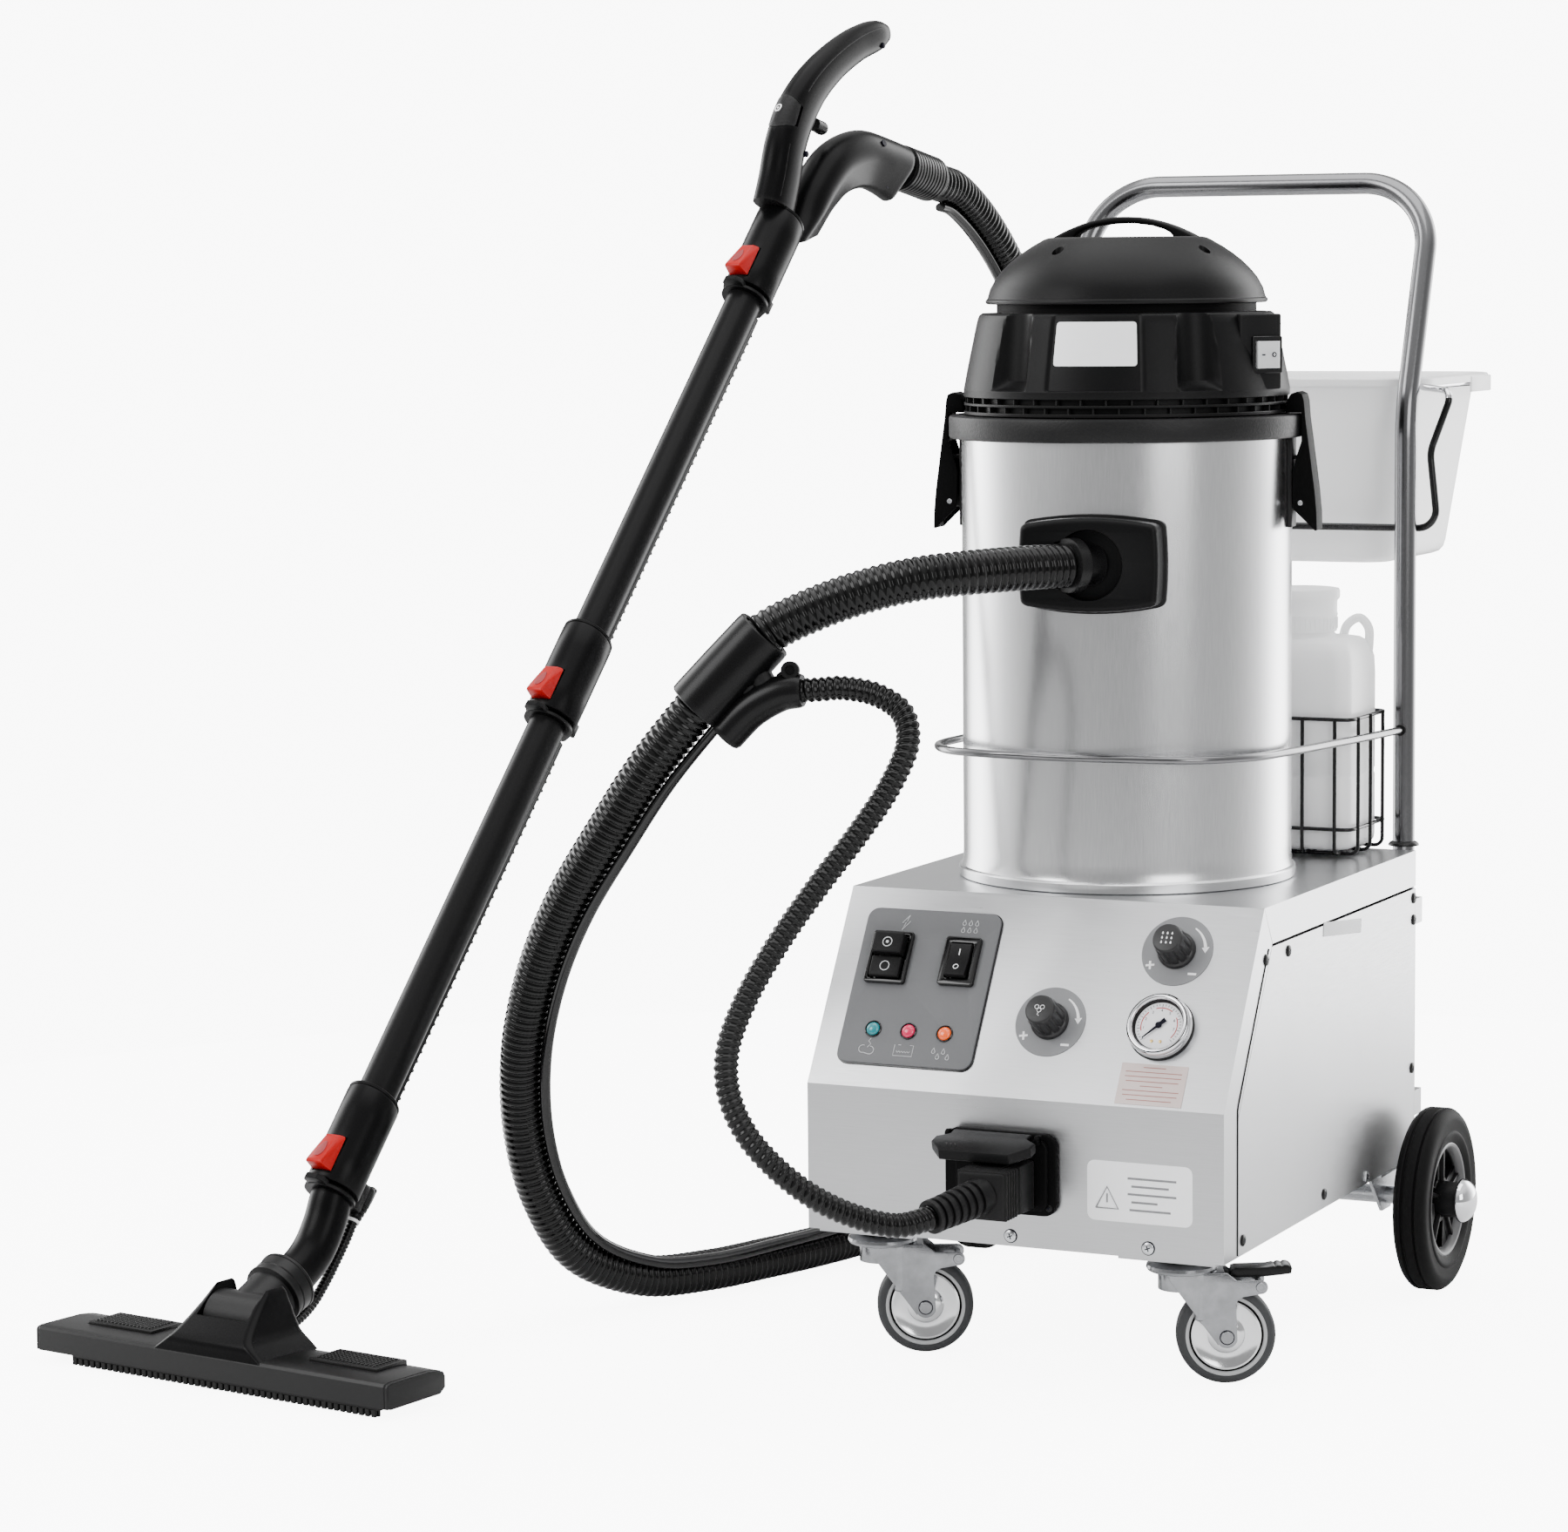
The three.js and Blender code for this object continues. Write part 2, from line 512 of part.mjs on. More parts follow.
function head(can) {
  // hollow lower housing with a vent slot ring and shallow scallops
  let housing = solid(turned([[150, HEAD_BOTTOM], [171, HEAD_BOTTOM], [171, HEAD_BOTTOM + 6],
    [166, HEAD_BOTTOM + 7], [166, HEAD_BOTTOM + 17], [171.5, HEAD_BOTTOM + 18], [171.5, HEAD_BOTTOM + 26],
    [168, HEAD_BOTTOM + 45], [156.5, HEAD_TOP - 6], [153, HEAD_TOP], [62, HEAD_TOP], [62, HEAD_TOP - 6],
    [140, HEAD_TOP - 6], [150, HEAD_BOTTOM + 40], [150, HEAD_BOTTOM]], 32));
  for (const angle of [-34, 38, 110, 182, 254]) {
    const scoop = rod(V(0, -186, HEAD_BOTTOM + 32), V(0, -176, HEAD_TOP + 10), 26, 14);
    housing = housing.subtract(solid(scoop.rotateZ(rad(angle))));
  }
  // flat-faced box for the vacuum switch
  const face = rad(45);
  const box = block(36, 88, -157, -118, HEAD_BOTTOM + 26, HEAD_TOP - 2);
  const frame = block(50, 87, -160, -150, HEAD_BOTTOM + 43, HEAD_TOP - 25);
  const pocket = block(54, 84, -170, -151, HEAD_BOTTOM + 47, HEAD_TOP - 29);
  housing = cut(join(housing, box.rotateZ(face), frame.rotateZ(face)), pocket.rotateZ(face));
  piece(can, 'vac_head_base', housing, blackPlastic);

  const rocker = block(55, 83, -162, -153, HEAD_BOTTOM + 48, HEAD_TOP - 30);
  piece(can, 'vac_rocker', rocker.rotateZ(face), paleGrey);

  const motor = turned([[0, 850], [52, 850], [52, 858], [70, 862], [70, 950], [58, 956], [58, 1050],
    [0, 1050]], 20);
  piece(can, 'vac_motor', motor, greyPlastic);

  // dome with a low arched grip along the latch axis
  const neck = HEAD_TOP + GAP;
  const dome = solid(turned([[100, neck], [136, neck], [136, neck + 9], [147, neck + 9], [148, neck + 13],
    [143, neck + 26], [130, neck + 44], [112, neck + 60], [88, neck + 75], [80, DOME_TOP], [0, DOME_TOP],
    [0, DOME_TOP - 4], [80, DOME_TOP - 6], [124, neck + 40], [128, neck + 12], [100, neck + 9], [100, neck]], 32));
  const arch = new THREE.Shape();
  arch.moveTo(-84, DOME_TOP - 5);
  arch.quadraticCurveTo(-40, DOME_TOP + 20.5, 0, DOME_TOP + 21);
  arch.quadraticCurveTo(40, DOME_TOP + 20.5, 84, DOME_TOP - 5);
  arch.lineTo(56, DOME_TOP - 5);
  arch.quadraticCurveTo(52, DOME_TOP + 13.5, 0, DOME_TOP + 14);
  arch.quadraticCurveTo(-52, DOME_TOP + 13.5, -56, DOME_TOP - 5);
  const grip = frontPlate(arch, -15, 15, 5);
  piece(can, 'vac_dome', join(dome, grip), blackPlastic);
}

// ---- push handle, can hoop, bucket, basket and bottle ----
const BUCKET = { half: 165, topHalf: 196, front: 690, back: 921, topFront: 672, topBack: 946, z0: 785, z1: 993 };
const BASKET = { x0: 38, x1: 187, y0: 503, y1: 622, z0: 481, low: 508, top: 628 };

function handle() {
  const ends = [-1, 1].map((s) => [
    V(s * HANDLE_X, HANDLE_Y, 150),
    V(s * HANDLE_X, HANDLE_Y, HANDLE_LEAN_Z),
    V(s * HANDLE_X, HANDLE_TOP_Y, HANDLE_TOP),
  ]);
  const path = bentPath([...ends[0], ...ends[1].reverse()], [160, 80, 80, 160]);
  piece(machine, 'push_handle', tube(path, HANDLE_R, 46, 10), steel);

  const near = HANDLE_Y - HANDLE_R - GAP;
  const hoop = smooth([[-202, near, 606], [-197, 520, 608], [-191, 400, 611], [-187, 300, 614],
    [-175, 218, 616], [-136, 164, 617], [-76, 140, 618], [0, 134, 618], [76, 140, 618], [136, 164, 617],
    [175, 218, 616], [187, 300, 614], [191, 400, 611], [197, 520, 608], [202, near, 606]]);
  piece(machine, 'can_hoop', tube(hoop, 4.2, 40, 6), steel);
}

function bucketAndCradle() {
  const b = BUCKET;
  const ring = (t, z, k, r) => rectRing(
    -(b.half + (b.topHalf - b.half) * k) + t, b.half + (b.topHalf - b.half) * k - t,
    b.front + (b.topFront - b.front) * k + t, b.back + (b.topBack - b.back) * k - t, z, r);
  const outer = solid(loft([ring(14, b.z0, 0, 26), ring(0, b.z0 + 16, 0.08, 34), ring(0, b.z1, 1, 42)]));
  const inner = solid(loft([ring(16, b.z0 + 3, 0, 24), ring(3, b.z0 + 18, 0.08, 31), ring(3, b.z1 + 4, 1.02, 39)]));
  const rim = loft([
    rectRing(-b.topHalf - 14, b.topHalf + 14, b.topFront - 3, b.topBack + 12, b.z1 - 6, 48),
    rectRing(-b.topHalf - 14, b.topHalf + 14, b.topFront - 3, b.topBack + 12, b.z1, 48)]);
  piece(machine, 'bucket', cut(join(outer, rim), inner), milky);

  const y = HANDLE_Y + HANDLE_R + 4;
  const armZ = b.z1 - 10.5;
  const armX = b.topHalf + 7;
  const half = (s) => [V(s * armX, b.topBack - 8, armZ), V(s * armX, y + 34, armZ), V(s * 250, y, armZ - 4),
    V(s * 225, y, 912), V(s * 234, y, 828)];
  const route = [...half(1), ...half(-1).reverse()];
  const bend = [14, 12, 40, 20, 20, 40, 12, 14];
  piece(machine, 'bucket_cradle', tube(bentPath(route, bend), 4, 56, 6), blackWire);
}

function basketAndBottle() {
  const k = BASKET;
  const r = 2.1;
  const wire = (points) => points.slice(1).map((p, i) => rod(V(...points[i]), V(...p), r, 4));
  const c = 10;
  const loop = (z) => wire([
    [k.x0 + c, k.y0, z], [k.x1 - c, k.y0, z], [k.x1, k.y0 + c, z], [k.x1, k.y1 - c, z], [k.x1 - c, k.y1, z],
    [k.x0 + c, k.y1, z], [k.x0, k.y1 - c, z], [k.x0, k.y0 + c, z], [k.x0 + c, k.y0, z]]);
  const wires = [...loop(k.top), ...loop(k.low)];
  const front = k.y0 - r;
  const back = k.y1 + r;
  for (const x of [k.x0 + 18, k.x0 + 55, k.x0 + 94, k.x1 - 18]) {
    wires.push(...wire([[x, front, k.top + 1], [x, front, k.z0 + c], [x, front + c, k.z0], [x, back - c, k.z0],
      [x, back, k.z0 + c], [x, back, k.top + 1]]));
  }
  const left = k.x0 - r;
  const right = k.x1 + r;
  for (const y of [k.y0 + 18, (k.y0 + k.y1) / 2, k.y1 - 18]) {
    wires.push(...wire([[left, y, k.top + 1], [left, y, k.z0 + c], [left + c, y, k.z0 - 1],
      [right - c, y, k.z0 - 1], [right, y, k.z0 + c], [right, y, k.top + 1]]));
  }
  piece(machine, 'bottle_basket', join(...wires), blackWire);

  // square jerry bottle with a wide screw cap and a loop handle at its shoulder
  const x0 = k.x0 + 6;
  const x1 = k.x1 - 6;
  const y0 = k.y0 + 5;
  const y1 = k.y1 - 5;
  const floorZ = k.z0 + r + 1;
  const shoulder = 712;
  const body = loft([rectRing(x0 + 6, x1 - 6, y0 + 6, y1 - 6, floorZ, 14), rectRing(x0, x1, y0, y1, floorZ + 8, 18),
    rectRing(x0, x1, y0, y1, shoulder - 18, 18), rectRing(x0 + 10, x1 - 10, y0 + 10, y1 - 10, shoulder, 22)]);
  const capX = x0 + 62;
  const capY = (y0 + y1) / 2;
  const cap = turned([[0, shoulder - 4], [40, shoulder - 4], [40, shoulder + 8], [45, shoulder + 10],
    [45, shoulder + 50], [42, shoulder + 54], [0, shoulder + 54]], 20).translate(capX, capY, 0);
  const loopPath = smooth([[x1 - 34, y1 - 22, shoulder - 6], [x1 - 28, y1 - 22, shoulder + 14],
    [x1 - 16, y1 - 22, shoulder + 20], [x1 - 6, y1 - 22, shoulder + 10], [x1 - 5, y1 - 22, shoulder - 10],
    [x1 - 7, y1 - 22, shoulder - 24]]);
  piece(machine, 'detergent_bottle', join(body, cap, tube(loopPath, 5, 14, 8)), milky);
}

// ---- rear axle and wheels ----
function rearWheels() {
  const z = REAR_R;
  const tip = 300;
  let axle = solid(rod(V(-tip, REAR_Y, z), V(tip, REAR_Y, z), 10, 18));
  for (const side of [-1, 1]) {
    const hanger = sidePlate([[REAR_Y - 62, CAB_BOTTOM - GAP], [REAR_Y - 14, z - 16], [REAR_Y + 14, z - 16],
      [REAR_Y + 44, CAB_BOTTOM - GAP]], side * 212 - 2, side * 212 + 2);
    const foot = block(side * 212 - 16, side * 212 + 16, REAR_Y - 62, REAR_Y + 44,
      CAB_BOTTOM - GAP - 3, CAB_BOTTOM - GAP);
    const cap = turned([[0, tip - 2], [24, tip - 2], [24, tip + 2], [21, tip + 9], [12, tip + 14], [0, tip + 15.5]], 18);
    cap.rotateY(side * Math.PI / 2).translate(0, REAR_Y, z);
    axle = join(axle, hanger, foot, cap);
  }
  piece(machine, 'rear_axle', axle, zinc);

  // tyre, five-spoked hub and sleeve as one moulding
  const w = TYRE_WIDTH / 2;
  const profile = [[10.6, -27], [19, -27], [22, -8], [58, -8], [60, -15], [70, -w + 1], [88, -w],
    [REAR_R, -w + 9], [REAR_R, w - 9], [88, w], [70, w - 1], [60, 15], [58, 8], [22, 8], [19, 28],
    [10.6, 28], [10.6, -27]];
  for (const [name, side] of [['rear_wheel_left', -1], ['rear_wheel_right', 1]]) {
    let wheel = solid(turned(profile, 24));
    for (let i = 0; i < 5; i += 1) {
      const gap = new THREE.Shape();
      gap.absarc(0, 0, 55, rad(-22), rad(22));
      gap.absarc(0, 0, 27, rad(10), rad(-10), true);
      const window = new THREE.ExtrudeGeometry(gap, { depth: 40, bevelEnabled: false, curveSegments: 2 });
      wheel = wheel.subtract(solid(window.translate(0, 0, -20).rotateZ(rad(72 * i))));
    }
    const mesh = piece(machine, name, wheel, rubber);
    mesh.rotation.y = side * Math.PI / 2;
    mesh.position.set(side * REAR_X, REAR_Y, z);
  }
}

// ---- swivel casters: u along the trail, upright z, v across ----
function caster(name, side, withBrake) {
  const g = new THREE.Group();
  g.position.set(side * CASTER_X, CASTER_Y, 0);
  g.rotation.z = rad(CASTER_TURN);
  machine.add(g);
  const ax = CASTER_TRAIL;
  const cheek = new THREE.Shape();
  cheek.moveTo(ax - 60, 116);
  cheek.lineTo(ax - 56, 106);
  cheek.lineTo(ax - 9, 42);
  cheek.absarc(ax, 50, 11, rad(220), rad(340));
  cheek.lineTo(ax + 9, 84);
  cheek.lineTo(ax + 16, 91);
  cheek.lineTo(ax + 34, 94);
  cheek.absarc(ax + 34, 101, 7, rad(-90), rad(90));
  cheek.lineTo(ax + 10, 108);
  cheek.lineTo(ax, 116);
  const plates = [-1, 1].map((s) => frontPlate(cheek, Math.min(s * 19, s * 22), Math.max(s * 19, s * 22)));
  const crown = block(ax - 60, ax - 2, -22, 22, 112, 116);
  const race = turned([[0, 115], [34, 115], [36, 120], [30, 126], [22, 127.8], [0, 127.8]], 20);
  const bolt = rod(V(ax, -24, 50), V(ax, 24, 50), 5, 16);
  const pin = rod(V(ax + 34, -23.5, 101), V(ax + 34, 23.5, 101), 3, 12);
  piece(g, `caster_fork_${name}`, join(...plates, crown, race, bolt, pin), zinc);

  const wheel = turned([[5.6, -14], [12, -14], [14, -10], [36, -10], [38, -13], [41, -14], [47, -12.5],
    [CASTER_R, -7], [CASTER_R, 7], [47, 12.5], [41, 14], [38, 13], [36, 10], [14, 10], [12, 14], [5.6, 14],
    [5.6, -14]], 18);
  wheel.rotateX(Math.PI / 2);
  const tyre = piece(g, `caster_wheel_${name}`, wheel, greyRubber);
  tyre.position.set(ax, 0, CASTER_R);

  if (withBrake) {
    const outline = [[4, 111], [6, 118], [40, 119.5], [62, 122], [66, 119], [65, 113], [40, 110], [10, 109.4]]
      .map(([u, z]) => new THREE.Vector2(ax + u, z));
    piece(g, 'caster_brake', frontPlate(new THREE.Shape(outline.reverse()), -13, 13), blackPlastic);
  }
}

// ---- wand and floor tool: t along the tool, n back along the floor, z up ----
const wandSin = Math.sin(rad(WAND_LEAN));
const wandCos = Math.cos(rad(WAND_LEAN));
const onWand = (s, out = 0, t = 0) => V(t, WAND_FOOT[0] + s * wandSin - out * wandCos,
  WAND_FOOT[1] + s * wandCos + out * wandSin);

function wandGroup() {
  const g = new THREE.Group();
  g.position.set(TOOL_CENTRE[0], TOOL_CENTRE[1], 0);
  g.rotation.z = rad(TOOL_TURN);
  return g;
}

// an extension tube whose upper end carries the socket of the next coupling down
function extension(s0, s1, sleeve0) {
  const pipe = rod(onWand(s0), onWand(s1), TUBE_R, 18);
  const sleeve = rod(onWand(sleeve0), onWand(sleeve0 + COUPLING_LENGTH), COUPLING_R, 20);
  const lip = rod(onWand(sleeve0 - 5), onWand(sleeve0 + 5), COUPLING_R - 2, 20);
  const conduit = rod(onWand(s0 + 6, -TUBE_R - 5), onWand(s1 - 6, -TUBE_R - 5), 6.5, 10);
  const bridge = rod(onWand(sleeve0 + 20, -20), onWand(sleeve0 + COUPLING_LENGTH - 8, -20), 14, 12);
  return cut(join(pipe, sleeve, lip, conduit, bridge), wandWedge(sleeve0, PRESS_POCKET, 13.5));
}

function wand() {
  const g = wandGroup();
  machine.add(g);
  const s1 = TUBE_PITCH;
  const s2 = 2 * TUBE_PITCH;
  piece(g, 'wand_tube_lower', extension(2, s1 - 6, 0), blackPlastic);
  piece(g, 'wand_tube_upper', extension(s1 - 5.5, s2 - 6, s1), blackPlastic);

  // bent pipe from the floor tool into the bottom coupling
  const bend = smooth([[0, 84, 90], [0, 100, 97], [0, 122, 113], [0, 141, 139], [0, 152.5, 163],
    [0, 152.5 + 4.4, 163 + 5.3]]);
  const bendTube = tube(bend, 22.5, 10, 16);
  piece(g, 'wand_bend', cut(bendTube, rod(onWand(-5.6), onWand(30), 40, 16)), blackPlastic);

  releaseButtons(g, [[0, 'release_button_lower'], [s1, 'release_button_middle'], [s2, 'release_button_upper']]);
  grip(g, s2);
}

// side outline on a coupling (distance along, distance out of the axis), drawn out across the wand
function wandWedge(s, outline, halfWide) {
  const corners = outline.map(([a, out]) => onWand(s + a, out)).reverse();
  return loft([-halfWide, halfWide].map((t) => corners.map((p) => V(t, p.y, p.z))));
}

// wedge-shaped red buttons that sit in a pocket on the near side of each coupling
function releaseButtons(g, list) {
  for (const [s, name] of list) {
    piece(g, name, wandWedge(s, PRESS_WEDGE, 13), red);
  }
}

function grip(g, s2) {
  const top = s2 + COUPLING_LENGTH;
  // coupling and elbow that turns over to the hose
  const sleeve = rod(onWand(s2), onWand(top), COUPLING_R, 20);
  const lip = rod(onWand(s2 - 5), onWand(s2 + 5), COUPLING_R - 2, 20);
  const overPath = smooth([[0, 1000, 1150], [0, 1035, 1180], [0, 1066, 1214], [0, 1104, 1243], [0, 1156, 1256],
    [0, 1204, 1248], [0, 1224, 1244], [0, 1244, 1240]]);
  const neck = tube(overPath, 27, 12, 16);
  const channel = tube(smooth([[0, 1046, 1157], [0, 1076, 1185], [0, 1108, 1212], [0, 1150, 1224], [0, 1196, 1218],
    [0, 1226, 1208]]), 13, 8, 8);
  const pocket = wandWedge(s2, PRESS_POCKET, 13.5);
  piece(g, 'hose_elbow', cut(join(sleeve, lip, neck, channel), pocket), blackPlastic);

  // curved hand grip that rises from the elbow and leans back over it
  const stations = [[978, 1190, 31, 20], [990, 1222, 30, 20], [1001, 1258, 29, 20], [1022, 1296, 29, 19],
    [1052, 1328, 26, 18], [1096, 1358, 23, 17], [1150, 1383, 21, 16], [1196, 1396, 18, 15], [1212, 1399, 12, 11]];
  const rings = stations.map(([n, z, halfDeep, halfWide], i) => {
    const [n0, z0] = stations[Math.max(i - 1, 0)];
    const [n1, z1] = stations[Math.min(i + 1, stations.length - 1)];
    const along = new THREE.Vector2(n1 - n0, z1 - z0).normalize();
    return Array.from({ length: 14 }, (_, j) => {
      const a = (-2 * Math.PI * j) / 14;
      const deep = halfDeep * Math.cos(a);
      return V(halfWide * Math.sin(a), n + deep * along.y, z - deep * along.x);
    });
  });
  const bar = loft(rings);
  const elbowSpace = tube(overPath, 27 + GAP, 12, 16);
  const sleeveSpace = rod(onWand(s2), onWand(top + GAP), COUPLING_R + GAP, 28);
  const padSpace = padShape(GAP, 3.5);
  const buttonSeat = rod(V(0, 1058, 1289.1), V(0, 1092, 1279.4), 8.6, 16);
  const handle = cut(bar, elbowSpace, sleeveSpace, padSpace, buttonSeat);
  piece(g, 'hand_grip', handle, blackPlastic);
  piece(g, 'steam_trigger', common(padShape(0, 0), bar), glossBlack);
  piece(g, 'grip_button', rod(V(0, 1063, 1287.7), V(0, 1083, 1282), 8, 16), glossBlack);
}

// thumb pad on the near upper face of the grip
function padShape(wider, deeper) {
  const from = V(0, 952, 1326);
  const to = V(0, 1004, 1296);
  const along = to.clone().sub(from).normalize();
  return rod(from, to.addScaledVector(along, deeper), 22 + wider, 24);
}

function floorTool() {
  const g = wandGroup();
  machine.add(g);
  const half = TOOL_HALF;
  const front = -TOOL_DEPTH / 2;
  const back = TOOL_DEPTH / 2;
  const slab = sidePlate([[front, 12], [front, 36], [front + 4, 38], [back - 26, 38], [back - 4, 34], [back, 28],
    [back, 16], [back - 8, 10], [front + 6, 10]].reverse(), -half, half);
  const brush = block(-half + 46, half - 14, front + 6, front + 20, 0.5, 12);
  const squeegee = block(-half + 30, half - 30, back - 22, back - 18, 0.5, 12);
  const hump = loft([
    rectRing(-64, 64, front, back - 2, 30, 10), rectRing(-56, 56, front + 2, back - 2, 44, 12),
    rectRing(-46, 46, front + 14, back - 2, 66, 14), rectRing(-40, 40, front + 34, back - 4, 84, 10),
    rectRing(-37, 37, front + 50, back - 8, 96, 8)]);
  const seat = rod(V(-33, NECK.n, NECK.z), V(33, NECK.n, NECK.z), NECK.r + 0.6, 24);
  const swing = [-15, -7, 0, 7, 15].map((a) => rod(V(0, 0, 0), V(0, 90, 38.6), 29.5, 16)
    .rotateX(rad(a)).translate(0, NECK.n, NECK.z));
  const upper = block(-33, 33, NECK.n - 36, back + 20, NECK.z + 8, 140);
  const rear = block(-33, 33, NECK.n + 12, back + 20, NECK.z - 12, 140);
  const wells = [-1, 1].map((s) => block(s * 150 - 45, s * 150 + 45, front + 34, back - 8, 31, 60));
  piece(g, 'floor_tool_body', cut(join(slab, brush, squeegee, hump), seat, upper, rear, ...swing, ...wells), blackPlastic);

  const drum = rod(V(-32.4, NECK.n, NECK.z), V(32.4, NECK.n, NECK.z), NECK.r, 24);
  const neckPipe = rod(V(0, NECK.n, NECK.z), V(0, 62, 80.6), 28, 20);
  const collar = rod(V(0, 58, 79), V(0, 82, 88.6), 33, 20);
  const bore = rod(V(0, 66, 82.3), V(0, 90, 91.8), 24.2, 24);
  piece(g, 'tool_neck', cut(join(drum, neckPipe, collar), bore), blackPlastic);

  for (const [name, s] of [['tool_pedal_left', -1], ['tool_pedal_right', 1]]) {
    piece(g, name, block(s * 150 - 44, s * 150 + 44, front + 35, back - 9, 34, 41), blackPlastic);
  }
}


// ---- free hoses ----
const MAIN_ROUTE = [
  [14.2, 112.6, 817], [2, 91.8, 817], [-12, 68, 817], [-48, 17.5, 815], [-91, -19, 810], [-135, -45, 799],
  [-182, -71, 781], [-227, -93, 756], [-260, -106, 722], [-291, -117, 684], [-343, -122, 622], [-392, -116, 557],
  [-453, -100, 475], [-499, -80, 395], [-532, -56, 309], [-551, -22, 220], [-552, 16, 138], [-536, 66, 68],
  [-496, 138, 31], [-455, 215, 24.5], [-424, 292, 24.5], [-398, 366, 24.5], [-376, 450, 24.5], [-352, 560, 24.5],
  [-330, 680, 24.5], [-322, 800, 24.5], [-330, 915, 34], [-350, 1020, 82], [-378, 1105, 168], [-405, 1165, 290],
  [-428, 1203, 440], [-446, 1228, 620], [-458, 1238, 790], [-466, 1232, 920], [-475, 1205, 1020],
  [-486, 1150, 1112], [-496, 1082, 1177], [-504.2, 1012.5, 1215.6], [-507.9, 988.4, 1220.5],
  [-511.5, 964.8, 1225.3],
];
const SLEEVE = { from: [-227, -93, 756], to: [-291, -117, 684] };
const STEAM_ROUTE = [
  [-24, -149.5, 190.5], [-33, -168, 188], [-46, -186, 188], [-76, -213, 200], [-108, -240, 222],
  [-140, -258, 252], [-168, -266, 286], [-186, -265, 324], [-191, -256, 362], [-181, -238, 408],
  [-158, -212, 462], [-128, -180, 518], [-97, -148, 570], [-76, -119, 615], [-68, -96, 655], [-79, -85, 682],
  [-107, -85, 699], [-143, -90, 705], [-162, -93.5, 703.5],
  [-181, -97, 702],
];
const JUMPER_ROUTE = [[0, 187, 133], [0, 176, 117], [0, 160, 98], [0, 142, 78], [0, 120, 58], [0, 98, 46], [0, 78, 41]];

function hoses() {
  const steps = 78;
  piece(cords, 'vac_hose', tube(smooth(MAIN_ROUTE), HOSE_R, steps, 8), blackPlastic);
  piece(cords, 'steam_hose', tube(smooth(STEAM_ROUTE), STEAM_HOSE_R, 34, 8), blackPlastic);

  const a = V(...SLEEVE.from);
  const b = V(...SLEEVE.to);
  const along = b.clone().sub(a).normalize();
  const tail = smooth([[-181.8, -97.15, 701.95], [-191.6, -98.9, 701.2], [-205, -101.5, 698.5], [-235, -107, 682], [-262, -112, 655]]);
  const branch = tube(tail, 19, 8, 12);
  const shell = rod(a.clone().addScaledVector(along, -2), b.clone().addScaledVector(along, 2), 31.5, 20);
  const web = rod(a.clone().lerp(b, 0.35), V(-226, -106, 688), 12, 12);
  const bore = rod(a.clone().addScaledVector(along, -60), b.clone().addScaledVector(along, 60), HOSE_R + 3.4, 18);
  piece(cords, 'hose_sleeve', cut(join(shell, branch, web), bore), blackPlastic);

  // square ribbed plug with a slanting strain relief
  const p = PLUG;
  const faceY = SOCKET.face - GAP;
  const body = frontPlate(roundedRect(p.w, p.h, 4), p.front, faceY).translate(p.x, 0, p.z);
  const end = V(-23.6, -148.8, 190.7);
  const relief = rod(V(p.x, p.front + 6, p.z), end, 19, 24);
  piece(cords, 'hose_plug', join(body, relief), blackPlastic);

  const g = wandGroup();
  cords.add(g);
  piece(g, 'tool_steam_hose', tube(smooth(JUMPER_ROUTE), 6, 16, 8), blackPlastic);
  const cuff = rod(V(0, 1244.6, 1239.9), V(0, 1316, 1225.6), 28, 28);
  piece(g, 'elbow_cuff', cuff, blackPlastic);
}

cabinet();
insides();
controls();
steamSocket();
vacuum();
handle();
bucketAndCradle();
basketAndBottle();
rearWheels();
caster('left', -1, false);
caster('right', 1, true);
wand();
floorTool();
hoses();

// the origin goes under the middle of everything but the hoses
const part = new THREE.Group();
part.add(machine, cords);
part.updateMatrixWorld(true);
const bounds = new THREE.Box3().setFromObject(machine, true);
const centre = bounds.getCenter(V(0, 0, 0));
part.position.set(-centre.x, -centre.y, -bounds.min.z);

export default part;
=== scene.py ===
"""Looks for the combined steam cleaner and vacuum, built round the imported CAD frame.

Shapes are given in millimetres in the machine's own frame: x = 0 is the middle of the cabinet, y = 0 its
front, z = 0 the floor. Every mesh is moved to the frame's metres when it is made.
"""

import math

import bmesh
import bpy
import numpy as np
from mathutils import Matrix, Vector
from mathutils.bvhtree import BVHTree


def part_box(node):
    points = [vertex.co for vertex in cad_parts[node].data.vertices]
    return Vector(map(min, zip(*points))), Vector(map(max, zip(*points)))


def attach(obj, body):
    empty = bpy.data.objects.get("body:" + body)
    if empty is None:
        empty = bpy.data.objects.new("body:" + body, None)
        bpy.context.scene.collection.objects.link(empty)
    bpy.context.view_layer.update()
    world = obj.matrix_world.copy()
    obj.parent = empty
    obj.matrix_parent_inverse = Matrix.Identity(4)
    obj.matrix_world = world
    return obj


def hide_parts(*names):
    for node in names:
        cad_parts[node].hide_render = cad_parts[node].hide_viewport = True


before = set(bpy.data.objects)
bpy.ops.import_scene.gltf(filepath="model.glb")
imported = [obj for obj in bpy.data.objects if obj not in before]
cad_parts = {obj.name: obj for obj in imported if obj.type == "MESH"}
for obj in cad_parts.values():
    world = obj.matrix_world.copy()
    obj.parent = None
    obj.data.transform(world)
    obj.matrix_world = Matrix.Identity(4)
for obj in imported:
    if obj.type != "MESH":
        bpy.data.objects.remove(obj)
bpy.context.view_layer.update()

MM = 0.001
panel_low, panel_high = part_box("front_panel")
ORIGIN = Vector(((panel_low.x + panel_high.x) / 2, panel_low.y, 0))
TO_FRAME = Matrix.Translation(ORIGIN) @ Matrix.Scale(MM, 4)


def in_frame(point):
    return TO_FRAME @ Vector(point)


